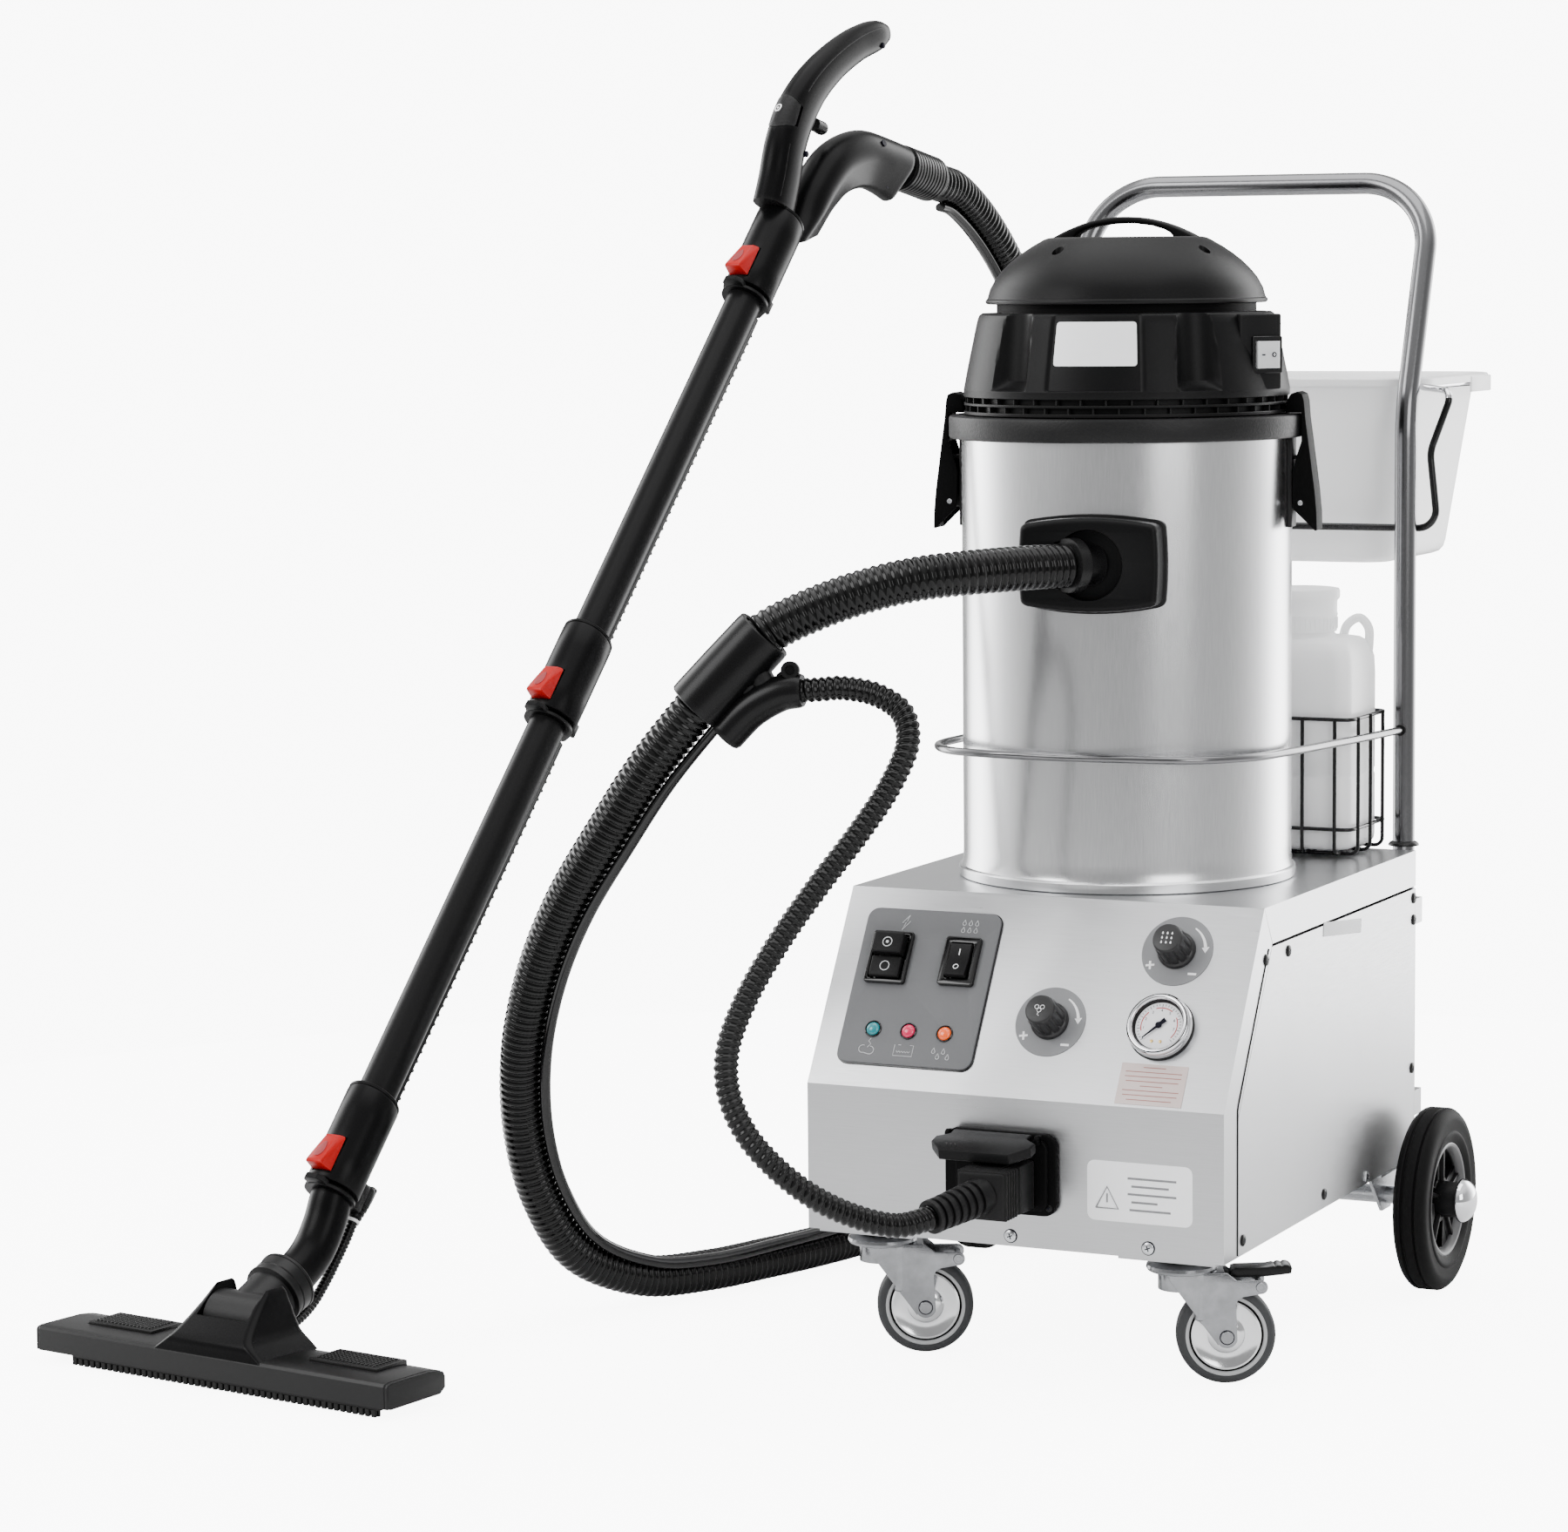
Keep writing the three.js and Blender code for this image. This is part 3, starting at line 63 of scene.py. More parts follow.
# ---- shared sizes, in millimetres ----
BEVEL_Z, CAB_TOP, TOP_FRONT_Y = 286, 476, 116
SLOPE = math.atan2(TOP_FRONT_Y, CAB_TOP - BEVEL_Z)
CAN_Y, CAN_TURN = 318, 10
INLET_Z = 817
DOME_TOP = 1149.5
TOOL_CENTRE, TOOL_TURN = (-713, -336.5), -8.8
WAND_LEAN, WAND_FOOT, TUBE_PITCH = 39.9, (154, 171), 598
COUPLING_R, COUPLING_LENGTH = 30, 112

ON_SLOPE = Matrix.Translation((0, 0, BEVEL_Z)) @ Matrix.Rotation(math.pi / 2 - SLOPE, 4, "X")
ON_CAN = Matrix.Translation((0, CAN_Y, 0)) @ Matrix.Rotation(math.radians(CAN_TURN), 4, "Z")
ON_WAND = Matrix.Translation((*TOOL_CENTRE, 0)) @ Matrix.Rotation(math.radians(TOOL_TURN), 4, "Z")


# ---- camera ----
CAMERA_AZIMUTH = 25.92


def make_camera():
    elevation, roll = 6.32, -0.56
    data = bpy.data.cameras.new("camera")
    camera = bpy.data.objects.new("camera", data)
    bpy.context.scene.collection.objects.link(camera)
    turn = (Matrix.Rotation(math.radians(CAMERA_AZIMUTH), 4, "Z")
            @ Matrix.Rotation(math.radians(90 - elevation), 4, "X")
            @ Matrix.Rotation(math.radians(roll), 4, "Z"))
    camera.matrix_world = Matrix.Translation(in_frame((1771.2, -4161.1, 1125.7))) @ turn
    data.sensor_width = 36
    data.lens = 104.28
    data.clip_end = 60
    bpy.context.scene.camera = camera


# ---- gathering shapes ----
class Shape:
    """Vertices and faces from simple forms, in millimetres, each face with a material number."""

    def __init__(self):
        self.verts = []
        self.faces = []
        self.marks = []

    def add(self, verts, faces, mark=0, at=None):
        start = len(self.verts)
        if at is not None:
            verts = [at @ Vector(v) for v in verts]
        self.verts.extend(tuple(v) for v in verts)
        self.faces.extend(tuple(start + i for i in f) for f in faces)
        self.marks.extend([mark] * len(faces))
        return self

    def block(self, x0, x1, y0, y1, z0, z1, bevel=1.0, mark=0, at=None, segments=2):
        """A box with rounded edges."""
        mesh = bmesh.new()
        bmesh.ops.create_cube(mesh, size=1)
        bmesh.ops.scale(mesh, vec=(x1 - x0, y1 - y0, z1 - z0), verts=mesh.verts)
        bmesh.ops.translate(mesh, vec=((x0 + x1) / 2, (y0 + y1) / 2, (z0 + z1) / 2), verts=mesh.verts)
        if bevel > 0:
            bmesh.ops.bevel(mesh, geom=mesh.edges[:], offset=bevel, segments=segments, affect="EDGES",
                            profile=0.5)
        return self.take(mesh, mark, at)

    def take(self, mesh, mark=0, at=None):
        mesh.verts.index_update()
        verts = [v.co.copy() for v in mesh.verts]
        faces = [[v.index for v in f.verts] for f in mesh.faces]
        mesh.free()
        return self.add(verts, faces, mark, at)

    def turned(self, profile, sides=64, mark=0, at=None):
        """Radius and height pairs turned about the upright axis; a radius of 0 closes the end."""
        verts, rows = [], []
        for r, h in profile:
            if r < 1e-6:
                rows.append([len(verts)] * sides)
                verts.append((0, 0, h))
            else:
                rows.append(list(range(len(verts), len(verts) + sides)))
                verts.extend((r * math.cos(2 * math.pi * i / sides), r * math.sin(2 * math.pi * i / sides), h)
                             for i in range(sides))
        faces = []
        for low, high in zip(rows, rows[1:]):
            for i in range(sides):
                j = (i + 1) % sides
                face = []
                for v in (low[i], low[j], high[j], high[i]):
                    if v not in face:
                        face.append(v)
                if len(face) > 2:
                    faces.append(face)
        return self.add(verts, faces, mark, at)

    def tube(self, path, radius, sides=16, mark=0, at=None, caps=True):
        """A round tube along points; radius is a number or one for each point."""
        path = np.array(path, float)
        radius = np.broadcast_to(np.array(radius, float), (len(path),))
        across, up = carried_frames(path)
        angle = np.linspace(0, 2 * math.pi, sides, endpoint=False)
        ring = (path[:, None] + radius[:, None, None] * (np.cos(angle)[None, :, None] * across[:, None]
                                                         + np.sin(angle)[None, :, None] * up[:, None]))
        return self.skin(ring, mark, at, caps)

    def skin(self, rings, mark=0, at=None, caps=True):
        """A skin over rings of the same number of points, closed at both ends."""
        rings = np.array(rings, float)
        count, n = rings.shape[:2]
        faces = []
        for k in range(count - 1):
            for i in range(n):
                j = (i + 1) % n
                faces.append((k * n + i, k * n + j, (k + 1) * n + j, (k + 1) * n + i))
        if caps:
            faces.append(tuple(reversed(range(n))))
            faces.append(tuple(range((count - 1) * n, count * n)))
        return self.add(rings.reshape(-1, 3).tolist(), faces, mark, at)

    def plate(self, loops, low, high, bevel=0.6, mark=0, at=None, resolution=2):
        """Outlines, the first the rim and the others holes, drawn out from low to high with rounded edges."""
        curve = bpy.data.curves.new("outline", "CURVE")
        curve.dimensions = "2D"
        curve.fill_mode = "BOTH"
        curve.extrude = (high - low) / 2 - bevel
        curve.bevel_depth = bevel
        curve.bevel_resolution = resolution
        curve.offset = -bevel
        for loop in loops:
            spline = curve.splines.new("POLY")
            spline.points.add(len(loop) - 1)
            for point, (x, y) in zip(spline.points, loop):
                point.co = (x, y, 0, 1)
            spline.use_cyclic_u = True
        holder = bpy.data.objects.new("outline", curve)
        made = bpy.data.meshes.new_from_object(holder)
        mesh = bmesh.new()
        mesh.from_mesh(made)
        bmesh.ops.remove_doubles(mesh, verts=mesh.verts, dist=0.001)
        bmesh.ops.translate(mesh, vec=(0, 0, (low + high) / 2), verts=mesh.verts)
        bpy.data.objects.remove(holder)
        bpy.data.curves.remove(curve)
        bpy.data.meshes.remove(made)
        return self.take(mesh, mark, at)

    def combined(self, other, how="DIFFERENCE"):
        """Cuts this shape with another or keeps what they share; faces keep their own marks."""
        holders = []
        for shape in (self, other):
            mesh = bpy.data.meshes.new("operand")
            mesh.from_pydata(shape.verts, [], shape.faces)
            for _ in range(4):
                mesh.materials.append(None)
            mesh.polygons.foreach_set("material_index", shape.marks)
            tidy = bmesh.new()
            tidy.from_mesh(mesh)
            bmesh.ops.recalc_face_normals(tidy, faces=tidy.faces)
            tidy.to_mesh(mesh)
            tidy.free()
            holders.append(bpy.data.objects.new("operand", mesh))
            bpy.context.scene.collection.objects.link(holders[-1])
        cut = holders[0].modifiers.new("cut", "BOOLEAN")
        cut.operation, cut.object, cut.solver, cut.use_self = how, holders[1], "EXACT", True
        bpy.context.view_layer.update()
        done = holders[0].evaluated_get(bpy.context.evaluated_depsgraph_get()).to_mesh()
        self.verts = [tuple(v.co) for v in done.vertices]
        self.faces = [tuple(f.vertices) for f in done.polygons]
        self.marks = [f.material_index for f in done.polygons]
        for holder in holders:
            mesh = holder.data
            bpy.data.objects.remove(holder)
            bpy.data.meshes.remove(mesh)
        return self

    def wrapped(self, columns, heights, radius_at, thick, mark=0, at=None, rows=8):
        """A thin panel round the upright axis; heights(angle) gives its two edges at each column's angle."""
        front = []
        for angle in columns:
            low, high = heights(angle)
            for k in range(rows + 1):
                z = low + (high - low) * k / rows
                front.append((angle, z, radius_at(angle, z)))
        verts = [(r * math.sin(math.radians(a)), -r * math.cos(math.radians(a)), z)
                 for lift in (0, -thick) for a, z, radius in front for r in [radius + lift]]
        n, count = rows + 1, len(front)
        cell = [(i * n + k, (i + 1) * n + k, (i + 1) * n + k + 1, i * n + k + 1)
                for i in range(len(columns) - 1) for k in range(rows)]
        rim = [k for k in range(n)] + [i * n + rows for i in range(1, len(columns))]
        rim += [(len(columns) - 1) * n + k for k in range(rows - 1, -1, -1)]
        rim += [i * n for i in range(len(columns) - 2, 0, -1)]
        walls = [(a, b, b + count, a + count) for a, b in zip(rim, rim[1:] + rim[:1])]
        return self.add(verts, cell + [tuple(i + count for i in reversed(f)) for f in cell] + walls, mark, at)

    def piece(self, name, body, materials, replaces=(), slot=None, at=None, sharp=32):
        """Makes the mesh object and lets it ride on a CAD body."""
        mesh = bpy.data.meshes.new(name)
        mesh.from_pydata(self.verts, [], self.faces)
        mesh.transform(TO_FRAME @ at if at is not None else TO_FRAME)
        tidy = bmesh.new()
        tidy.from_mesh(mesh)
        bmesh.ops.recalc_face_normals(tidy, faces=tidy.faces)
        tidy.to_mesh(mesh)
        tidy.free()
        for one in materials if isinstance(materials, (list, tuple)) else [materials]:
            mesh.materials.append(one)
        mesh.polygons.foreach_set("material_index", self.marks)
        mesh.polygons.foreach_set("use_smooth", [True] * len(mesh.polygons))
        mesh.set_sharp_from_angle(angle=math.radians(sharp))
        mesh.update()
        made = bpy.data.objects.new(name, mesh)
        bpy.context.scene.collection.objects.link(made)
        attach(made, body)
        if replaces:
            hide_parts(*([replaces] if isinstance(replaces, str) else replaces))
        return made


def carried_frames(path):
    """Two directions across the path at each point, carried along it without twisting."""
    along = np.gradient(path, axis=0)
    along /= np.linalg.norm(along, axis=1)[:, None]
    first = np.cross(along[0], (0, 0, 1) if abs(along[0][2]) < 0.9 else (1, 0, 0))
    across = [first / np.linalg.norm(first)]
    for t in along[1:]:
        v = across[-1] - t * np.dot(across[-1], t)
        across.append(v / np.linalg.norm(v))
    across = np.array(across)
    return across, np.cross(along, across)


def smooth_path(points, step):
    """Centripetal Catmull-Rom through the points, with even steps."""
    p = np.array(points, float)
    p = np.vstack([2 * p[0] - p[1], p, 2 * p[-1] - p[-2]])
    fine = []
    for a, b, c, d in zip(p, p[1:], p[2:], p[3:]):
        t = np.cumsum([0] + [np.linalg.norm(v) ** 0.5 for v in (b - a, c - b, d - c)])
        u = np.linspace(t[1], t[2], 24, endpoint=False)[:, None]
        ab = (t[1] - u) / (t[1] - t[0]) * a + (u - t[0]) / (t[1] - t[0]) * b
        bc = (t[2] - u) / (t[2] - t[1]) * b + (u - t[1]) / (t[2] - t[1]) * c
        cd = (t[3] - u) / (t[3] - t[2]) * c + (u - t[2]) / (t[3] - t[2]) * d
        abc = (t[2] - u) / (t[2] - t[0]) * ab + (u - t[0]) / (t[2] - t[0]) * bc
        bcd = (t[3] - u) / (t[3] - t[1]) * bc + (u - t[1]) / (t[3] - t[1]) * cd
        fine.append((t[2] - u) / (t[2] - t[1]) * abc + (u - t[1]) / (t[2] - t[1]) * bcd)
    fine = np.vstack([*fine, p[-2]])
    gone = np.concatenate([[0], np.cumsum(np.linalg.norm(np.diff(fine, axis=0), axis=1))])
    count = max(2, round(gone[-1] / step) + 1)
    at = np.linspace(0, gone[-1], count)
    return np.stack([np.interp(at, gone, fine[:, k]) for k in range(p.shape[1])], axis=1)


def bent_path(points, radii, step=6):
    """Straight runs joined by round bends."""
    points = [Vector(p) for p in points]
    out = [points[0]]
    for before, here, after, radius in zip(points, points[1:], points[2:], radii):
        back, ahead = (before - here).normalized(), (after - here).normalized()
        half = back.angle(ahead) / 2
        start, end = here + back * radius / math.tan(half), here + ahead * radius / math.tan(half)
        centre = here + (back + ahead).normalized() * radius / math.sin(half)
        turn = math.pi - 2 * half
        axis = (start - centre).cross(end - centre).normalized()
        pieces = max(3, round(turn * radius / step))
        out.extend(centre + Matrix.Rotation(turn * i / pieces, 3, axis) @ (start - centre)
                   for i in range(pieces + 1))
    out.append(points[-1])
    return [tuple(p) for p in out]


def polar(radius, degrees, cx=0, cy=0):
    """The point at an angle on a circle round (cx, cy)."""
    return cx + radius * math.cos(math.radians(degrees)), cy + radius * math.sin(math.radians(degrees))


def round_rect(x0, x1, y0, y1, r, steps=6):
    corners = [(x1 - r, y1 - r, 0), (x0 + r, y1 - r, 90), (x0 + r, y0 + r, 180), (x1 - r, y0 + r, 270)]
    return [polar(r, a + 90 * i / steps, cx, cy)
            for cx, cy, a in corners for i in range(steps + 1)]


def circle(cx, cy, r, n=48):
    return [(cx + r * math.cos(2 * math.pi * i / n), cy + r * math.sin(2 * math.pi * i / n))
            for i in range(n)]


def axes(origin, x, y):
    """A matrix whose X and Y run along x and y from origin."""
    x, y = Vector(x).normalized(), Vector(y).normalized()
    z = x.cross(y)
    m = Matrix((x, y, z)).transposed().to_4x4()
    return Matrix.Translation(Vector(origin)) @ m


def upright(origin, along, spin=0):
    """A matrix whose Z runs along a direction from origin."""
    turn = Vector(along).normalized().to_track_quat("Z", "Y").to_matrix().to_4x4()
    return Matrix.Translation(Vector(origin)) @ turn @ Matrix.Rotation(math.radians(spin), 4, "Z")


# ---- materials ----
def surface(name, colour, roughness, metallic=0.0, coat=0.0, coat_roughness=0.1, specular=0.5,
            vary=0.06, vary_scale=30.0, grain=0.0, grain_scale=900.0, stretch=(1, 1, 1), rough_vary=0.08,
            subsurface=0.0, transmission=0.0, wear=0.0):
    """A principled material with uneven colour, uneven gloss, a fine grain and light edge wear."""
    made = bpy.data.materials.new(name)
    made.use_nodes = True
    tree = made.node_tree
    shader = tree.nodes["Principled BSDF"]
    shader.inputs["Metallic"].default_value = metallic
    shader.inputs["Coat Weight"].default_value = coat
    shader.inputs["Coat Roughness"].default_value = coat_roughness
    shader.inputs["Specular IOR Level"].default_value = specular
    shader.inputs["Subsurface Weight"].default_value = subsurface
    shader.inputs["Subsurface Radius"].default_value = (0.01, 0.01, 0.01)
    shader.inputs["Transmission Weight"].default_value = transmission

    def node(kind, **sockets):
        n = tree.nodes.new(kind)
        for key, value in sockets.items():
            n.inputs[key.replace("_", " ")].default_value = value
        return n

    where = tree.nodes.new("ShaderNodeTexCoord")
    stretched = tree.nodes.new("ShaderNodeMapping")
    stretched.inputs["Scale"].default_value = stretch
    tree.links.new(where.outputs["Object"], stretched.inputs["Vector"])
    cloud = node("ShaderNodeTexNoise", Scale=vary_scale, Detail=4.0, Roughness=0.55)
    tree.links.new(where.outputs["Object"], cloud.inputs["Vector"])
    fine = node("ShaderNodeTexNoise", Scale=grain_scale, Detail=3.0, Roughness=0.6)
    tree.links.new(stretched.outputs["Vector"], fine.inputs["Vector"])

    tint = node("ShaderNodeMapRange")
    tint.inputs["To Min"].default_value = 1 - vary
    tint.inputs["To Max"].default_value = 1 + vary
    tree.links.new(cloud.outputs["Fac"], tint.inputs["Value"])
    coloured = tree.nodes.new("ShaderNodeVectorMath")
    coloured.operation = "SCALE"
    coloured.inputs[0].default_value = colour
    tree.links.new(tint.outputs["Result"], coloured.inputs["Scale"])
    final = coloured.outputs["Vector"]
    if stretch != (1, 1, 1):
        streaks = tree.nodes.new("ShaderNodeMapRange")
        streaks.inputs["To Min"].default_value = 0.90
        streaks.inputs["To Max"].default_value = 1.10
        tree.links.new(fine.outputs["Fac"], streaks.inputs["Value"])
        streaked = tree.nodes.new("ShaderNodeVectorMath")
        streaked.operation = "SCALE"
        tree.links.new(final, streaked.inputs[0])
        tree.links.new(streaks.outputs["Result"], streaked.inputs["Scale"])
        final = streaked.outputs["Vector"]
    if wear > 0:
        geometry = tree.nodes.new("ShaderNodeNewGeometry")
        edge = tree.nodes.new("ShaderNodeMapRange")
        edge.inputs["From Min"].default_value = 0.52
        edge.inputs["From Max"].default_value = 0.62
        edge.inputs["To Max"].default_value = wear
        tree.links.new(geometry.outputs["Pointiness"], edge.inputs["Value"])
        mix = tree.nodes.new("ShaderNodeMix")
        mix.data_type = "RGBA"
        mix.inputs["B"].default_value = tuple(min(1, c * 2.2 + 0.08) for c in colour) + (1,)
        tree.links.new(edge.outputs["Result"], mix.inputs["Factor"])
        tree.links.new(final, mix.inputs["A"])
        final = mix.outputs["Result"]
    tree.links.new(final, shader.inputs["Base Color"])

    gloss = tree.nodes.new("ShaderNodeMapRange")
    gloss.inputs["To Min"].default_value = max(0.02, roughness - rough_vary)
    gloss.inputs["To Max"].default_value = min(1, roughness + rough_vary)
    tree.links.new(fine.outputs["Fac"], gloss.inputs["Value"])
    tree.links.new(gloss.outputs["Result"], shader.inputs["Roughness"])
    if grain > 0:
        bump = tree.nodes.new("ShaderNodeBump")
        bump.inputs["Strength"].default_value = grain
        bump.inputs["Distance"].default_value = 0.0004
        tree.links.new(fine.outputs["Fac"], bump.inputs["Height"])
        tree.links.new(bump.outputs["Normal"], shader.inputs["Normal"])
    return made


def glow(name, colour, strength):
    made = surface(name, colour, 0.25, vary=0.1, vary_scale=300, coat=0.6)
    shader = made.node_tree.nodes["Principled BSDF"]
    shader.inputs["Emission Color"].default_value = (*colour, 1)
    shader.inputs["Emission Strength"].default_value = strength
    return made


SHEET = surface("brushed_sheet", (0.5, 0.505, 0.515), 0.32, 1.0, vary=0.05, vary_scale=9, grain=0.10,
                grain_scale=28, stretch=(1, 26, 26), rough_vary=0.10)
SIDE = surface("brushed_side", (0.5, 0.505, 0.515), 0.36, 1.0, vary=0.05, vary_scale=9, grain=0.10,
               grain_scale=28, stretch=(26, 1, 26), rough_vary=0.10)
POLISHED = surface("polished_steel", (0.72, 0.725, 0.735), 0.14, 1.0, vary=0.02, vary_scale=6, grain=0.03,
                   grain_scale=50, stretch=(30, 30, 1), rough_vary=0.04)
CAN_STEEL = surface("can_steel", (0.72, 0.725, 0.735), 0.24, 1.0, vary=0.02, vary_scale=6, grain=0.04,
                    grain_scale=50, stretch=(30, 30, 1), rough_vary=0.05)
TUBE_STEEL = surface("satin_tube", (0.18, 0.18, 0.185), 0.2, 1.0, vary=0.04, vary_scale=20, grain=0.02,
                     grain_scale=300, stretch=(1, 1, 1), rough_vary=0.04)
FORK_ZINC = surface("fork_zinc", (0.27, 0.275, 0.285), 0.22, 1.0, vary=0.35, vary_scale=60, grain=0.12,
                    grain_scale=600, rough_vary=0.10)
ZINC = surface("zinc_plate", (0.62, 0.63, 0.65), 0.30, 1.0, vary=0.12, vary_scale=60, grain=0.10,
               grain_scale=700, rough_vary=0.12)
CHROME = surface("chrome", (0.78, 0.78, 0.8), 0.06, 1.0, vary=0.02, rough_vary=0.03)
BLACK = surface("black_plastic", (0.003, 0.003, 0.0032), 0.40, vary=0.15, grain=0.22, grain_scale=1500,
                specular=0.11, wear=0.15)
BLACK_COARSE = surface("black_textured", (0.0055, 0.0055, 0.0058), 0.44, specular=0.2, vary=0.2, grain=0.75,
                       grain_scale=420, rough_vary=0.16, wear=0.15)
BLACK_FINE = surface("black_satin", (0.003, 0.003, 0.0032), 0.28, specular=0.17, vary=0.15, grain=0.08,
                     grain_scale=1800, wear=0.12)
BLACK_GLOSS = surface("black_gloss", (0.002, 0.002, 0.0022), 0.12, vary=0.1, coat=0.2, specular=0.3,
                      rough_vary=0.05)
MATT_BLACK = surface("matt_black", (0.0022, 0.0022, 0.0023), 0.55, specular=0.05, vary=0.15, grain=0.15,
                     grain_scale=1500)
DIAL_BLACK = surface("knob_plastic", (0.009, 0.009, 0.0095), 0.36, specular=0.4, vary=0.15, grain=0.15,
                     grain_scale=1500)
POLE_BLACK = surface("wand_plastic", (0.002, 0.002, 0.0022), 0.3, specular=0.075, vary=0.15, grain=0.12,
                     grain_scale=1500, rough_vary=0.10, wear=0.12)
TOOL_BLACK = surface("tool_plastic", (0.0035, 0.0035, 0.0037), 0.34, specular=0.2, vary=0.15, grain=0.25,
                     grain_scale=1300, rough_vary=0.10, wear=0.12)
HOSE = surface("hose_plastic", (0.0012, 0.0012, 0.0012), 0.10, specular=0.2, vary=0.2, grain=0.08,
               grain_scale=700, wear=0.25)
GREY_PLATE = surface("grey_plate", (0.125, 0.127, 0.132), 0.50, specular=0.3, vary=0.06, grain=0.10,
                     grain_scale=1600)
DISC_GREY = surface("dial_disc", (0.19, 0.193, 0.20), 0.45, vary=0.05, grain=0.06, grain_scale=1600)
PRINT = surface("white_print", (0.92, 0.92, 0.93), 0.5, vary=0.04, grain=0.05)
RED_PRINT = surface("red_print", (0.36, 0.16, 0.14), 0.5, vary=0.04, grain=0.05)
PRINT_DIM = surface("grey_print", (0.6, 0.61, 0.62), 0.5, vary=0.04, grain=0.05)
LABEL = surface("blank_label", (0.95, 0.955, 0.97), 0.35, vary=0.04, vary_scale=80, grain=0.05)
LABEL_WARM = surface("blank_label_warm", (0.60, 0.50, 0.475), 0.35, vary=0.05, vary_scale=90, grain=0.05)
SWITCH_GREY = surface("switch_grey", (0.62, 0.63, 0.64), 0.3, vary=0.05, grain=0.05)
RED = surface("red_plastic", (0.4, 0.0012, 0.0012), 0.34, vary=0.08, grain=0.08, coat=0.0, wear=0.1,
              specular=0.2)
MILKY = surface("milky_plastic", (0.97, 0.975, 0.98), 0.35, vary=0.03, vary_scale=14, grain=0.10,
                grain_scale=500, subsurface=0.35)
MILKY_CAP = surface("white_cap", (0.96, 0.965, 0.97), 0.38, vary=0.04, grain=0.10, grain_scale=700)
TYRE = surface("tyre_rubber", (0.003, 0.003, 0.0031), 0.60, specular=0.08, vary=0.25, vary_scale=60,
               grain=0.30, grain_scale=900, wear=0.2)
TREAD_GREY = surface("grey_tread", (0.040, 0.041, 0.043), 0.55, specular=0.2, vary=0.12, grain=0.2,
                     grain_scale=900)
HUB_DARK = surface("dark_hub", (0.10, 0.10, 0.103), 0.40, vary=0.06, grain=0.12, grain_scale=900)
HUB_GREY = surface("grey_hub", (0.36, 0.365, 0.37), 0.42, vary=0.06, grain=0.12, grain_scale=900)
WIRE = surface("coated_wire", (0.002, 0.002, 0.0022), 0.28, specular=0.2, vary=0.1, grain=0.08, coat=0.3)
RED_MARK = surface("red_thumb_mark", (0.26, 0.012, 0.016), 0.5, vary=0.06, grain=0.3, grain_scale=1600)
BRISTLE = surface("bristle", (0.006, 0.006, 0.006), 0.6, specular=0.3, vary=0.3, vary_scale=400, grain=0.2)
DIAL_WHITE = surface("dial_white", (0.82, 0.82, 0.84), 0.4, vary=0.02)
DIAL_RED = surface("dial_red", (0.42, 0.01, 0.01), 0.4, vary=0.05)
NEEDLE = surface("needle_black", (0.002, 0.002, 0.008), 0.5, vary=0.05, specular=0.1)
BRASS = surface("brass", (0.55, 0.38, 0.14), 0.3, 1.0, vary=0.05)
TEAL_LAMP = glow("teal_lamp", (0.0, 0.20, 0.23), 0.12)
PINK_LAMP = glow("pink_lamp", (0.62, 0.006, 0.075), 0.15)
ORANGE_LAMP = glow("orange_lamp", (0.85, 0.10, 0.004), 0.25)


# ---- hoses ----
VAC_ROUTE = [
    (14.2, 112.6, 817), (2, 91.8, 817), (-12, 68, 817), (-48, 17.5, 815), (-91, -19, 810), (-135, -45, 799),
    (-182, -71, 781), (-227, -93, 756), (-260, -106, 722), (-291, -117, 684), (-343, -122, 622),
    (-392, -116, 557), (-453, -100, 475), (-499, -80, 395), (-532, -56, 309), (-551, -22, 220),
    (-552, 16, 138), (-536, 66, 68), (-496, 138, 31), (-455, 215, 24.5), (-424, 292, 24.5),
    (-398, 366, 24.5), (-376, 450, 24.5), (-352, 560, 24.5), (-330, 680, 24.5), (-322, 800, 24.5),
    (-330, 915, 34), (-350, 1020, 82), (-378, 1105, 168), (-405, 1165, 290), (-428, 1203, 440),
    (-446, 1228, 620), (-458, 1238, 790), (-466, 1232, 920), (-475, 1205, 1020), (-486, 1150, 1112),
    (-496, 1082, 1177), (-504.2, 1012.5, 1215.6), (-507.9, 988.4, 1220.5), (-511.5, 964.8, 1225.3),
]
STEAM_ROUTE = [
    (-24, -149.5, 190.5), (-33, -168, 188), (-46, -186, 188), (-76, -213, 200), (-108, -240, 222),
    (-140, -258, 252), (-168, -266, 286), (-186, -265, 324), (-191, -256, 362), (-181, -238, 408),
    (-158, -212, 462), (-128, -180, 518), (-97, -148, 570), (-76, -119, 615), (-68, -96, 655),
    (-79, -85, 682), (-107, -85, 699), (-143, -90, 705), (-162, -93.5, 703.5), (-181, -97, 702),
]
JUMPER_ROUTE = [(0, 187, 133), (0, 176, 117), (0, 160, 98), (0, 142, 78), (0, 120, 58), (0, 98, 46),
                (0, 78, 41)]
SLEEVE_FROM, SLEEVE_TO = (-227, -93, 756), (-291, -117, 684)
# the steam line lies on the hose's inner side: points of the hose's route and the way to that side there
STEAM_LINE_SIDE = [
    (9, (0.6, 0.1, -0.75)), (12, (0.83, 0, -0.5)), (15, (1, 0, 0.05)), (17, (0.8, 0, 0.6)),
    (19, (0.75, -0.25, 0.6)), (23, (0.5, 0, 0.85)), (26, (0.2, -0.2, 0.95)), (29, (0, -0.95, 0.3)),
    (32, (0, -1, 0)), (35, (0, -0.7, -0.7)), (39, (0, -0.15, -1)),
]


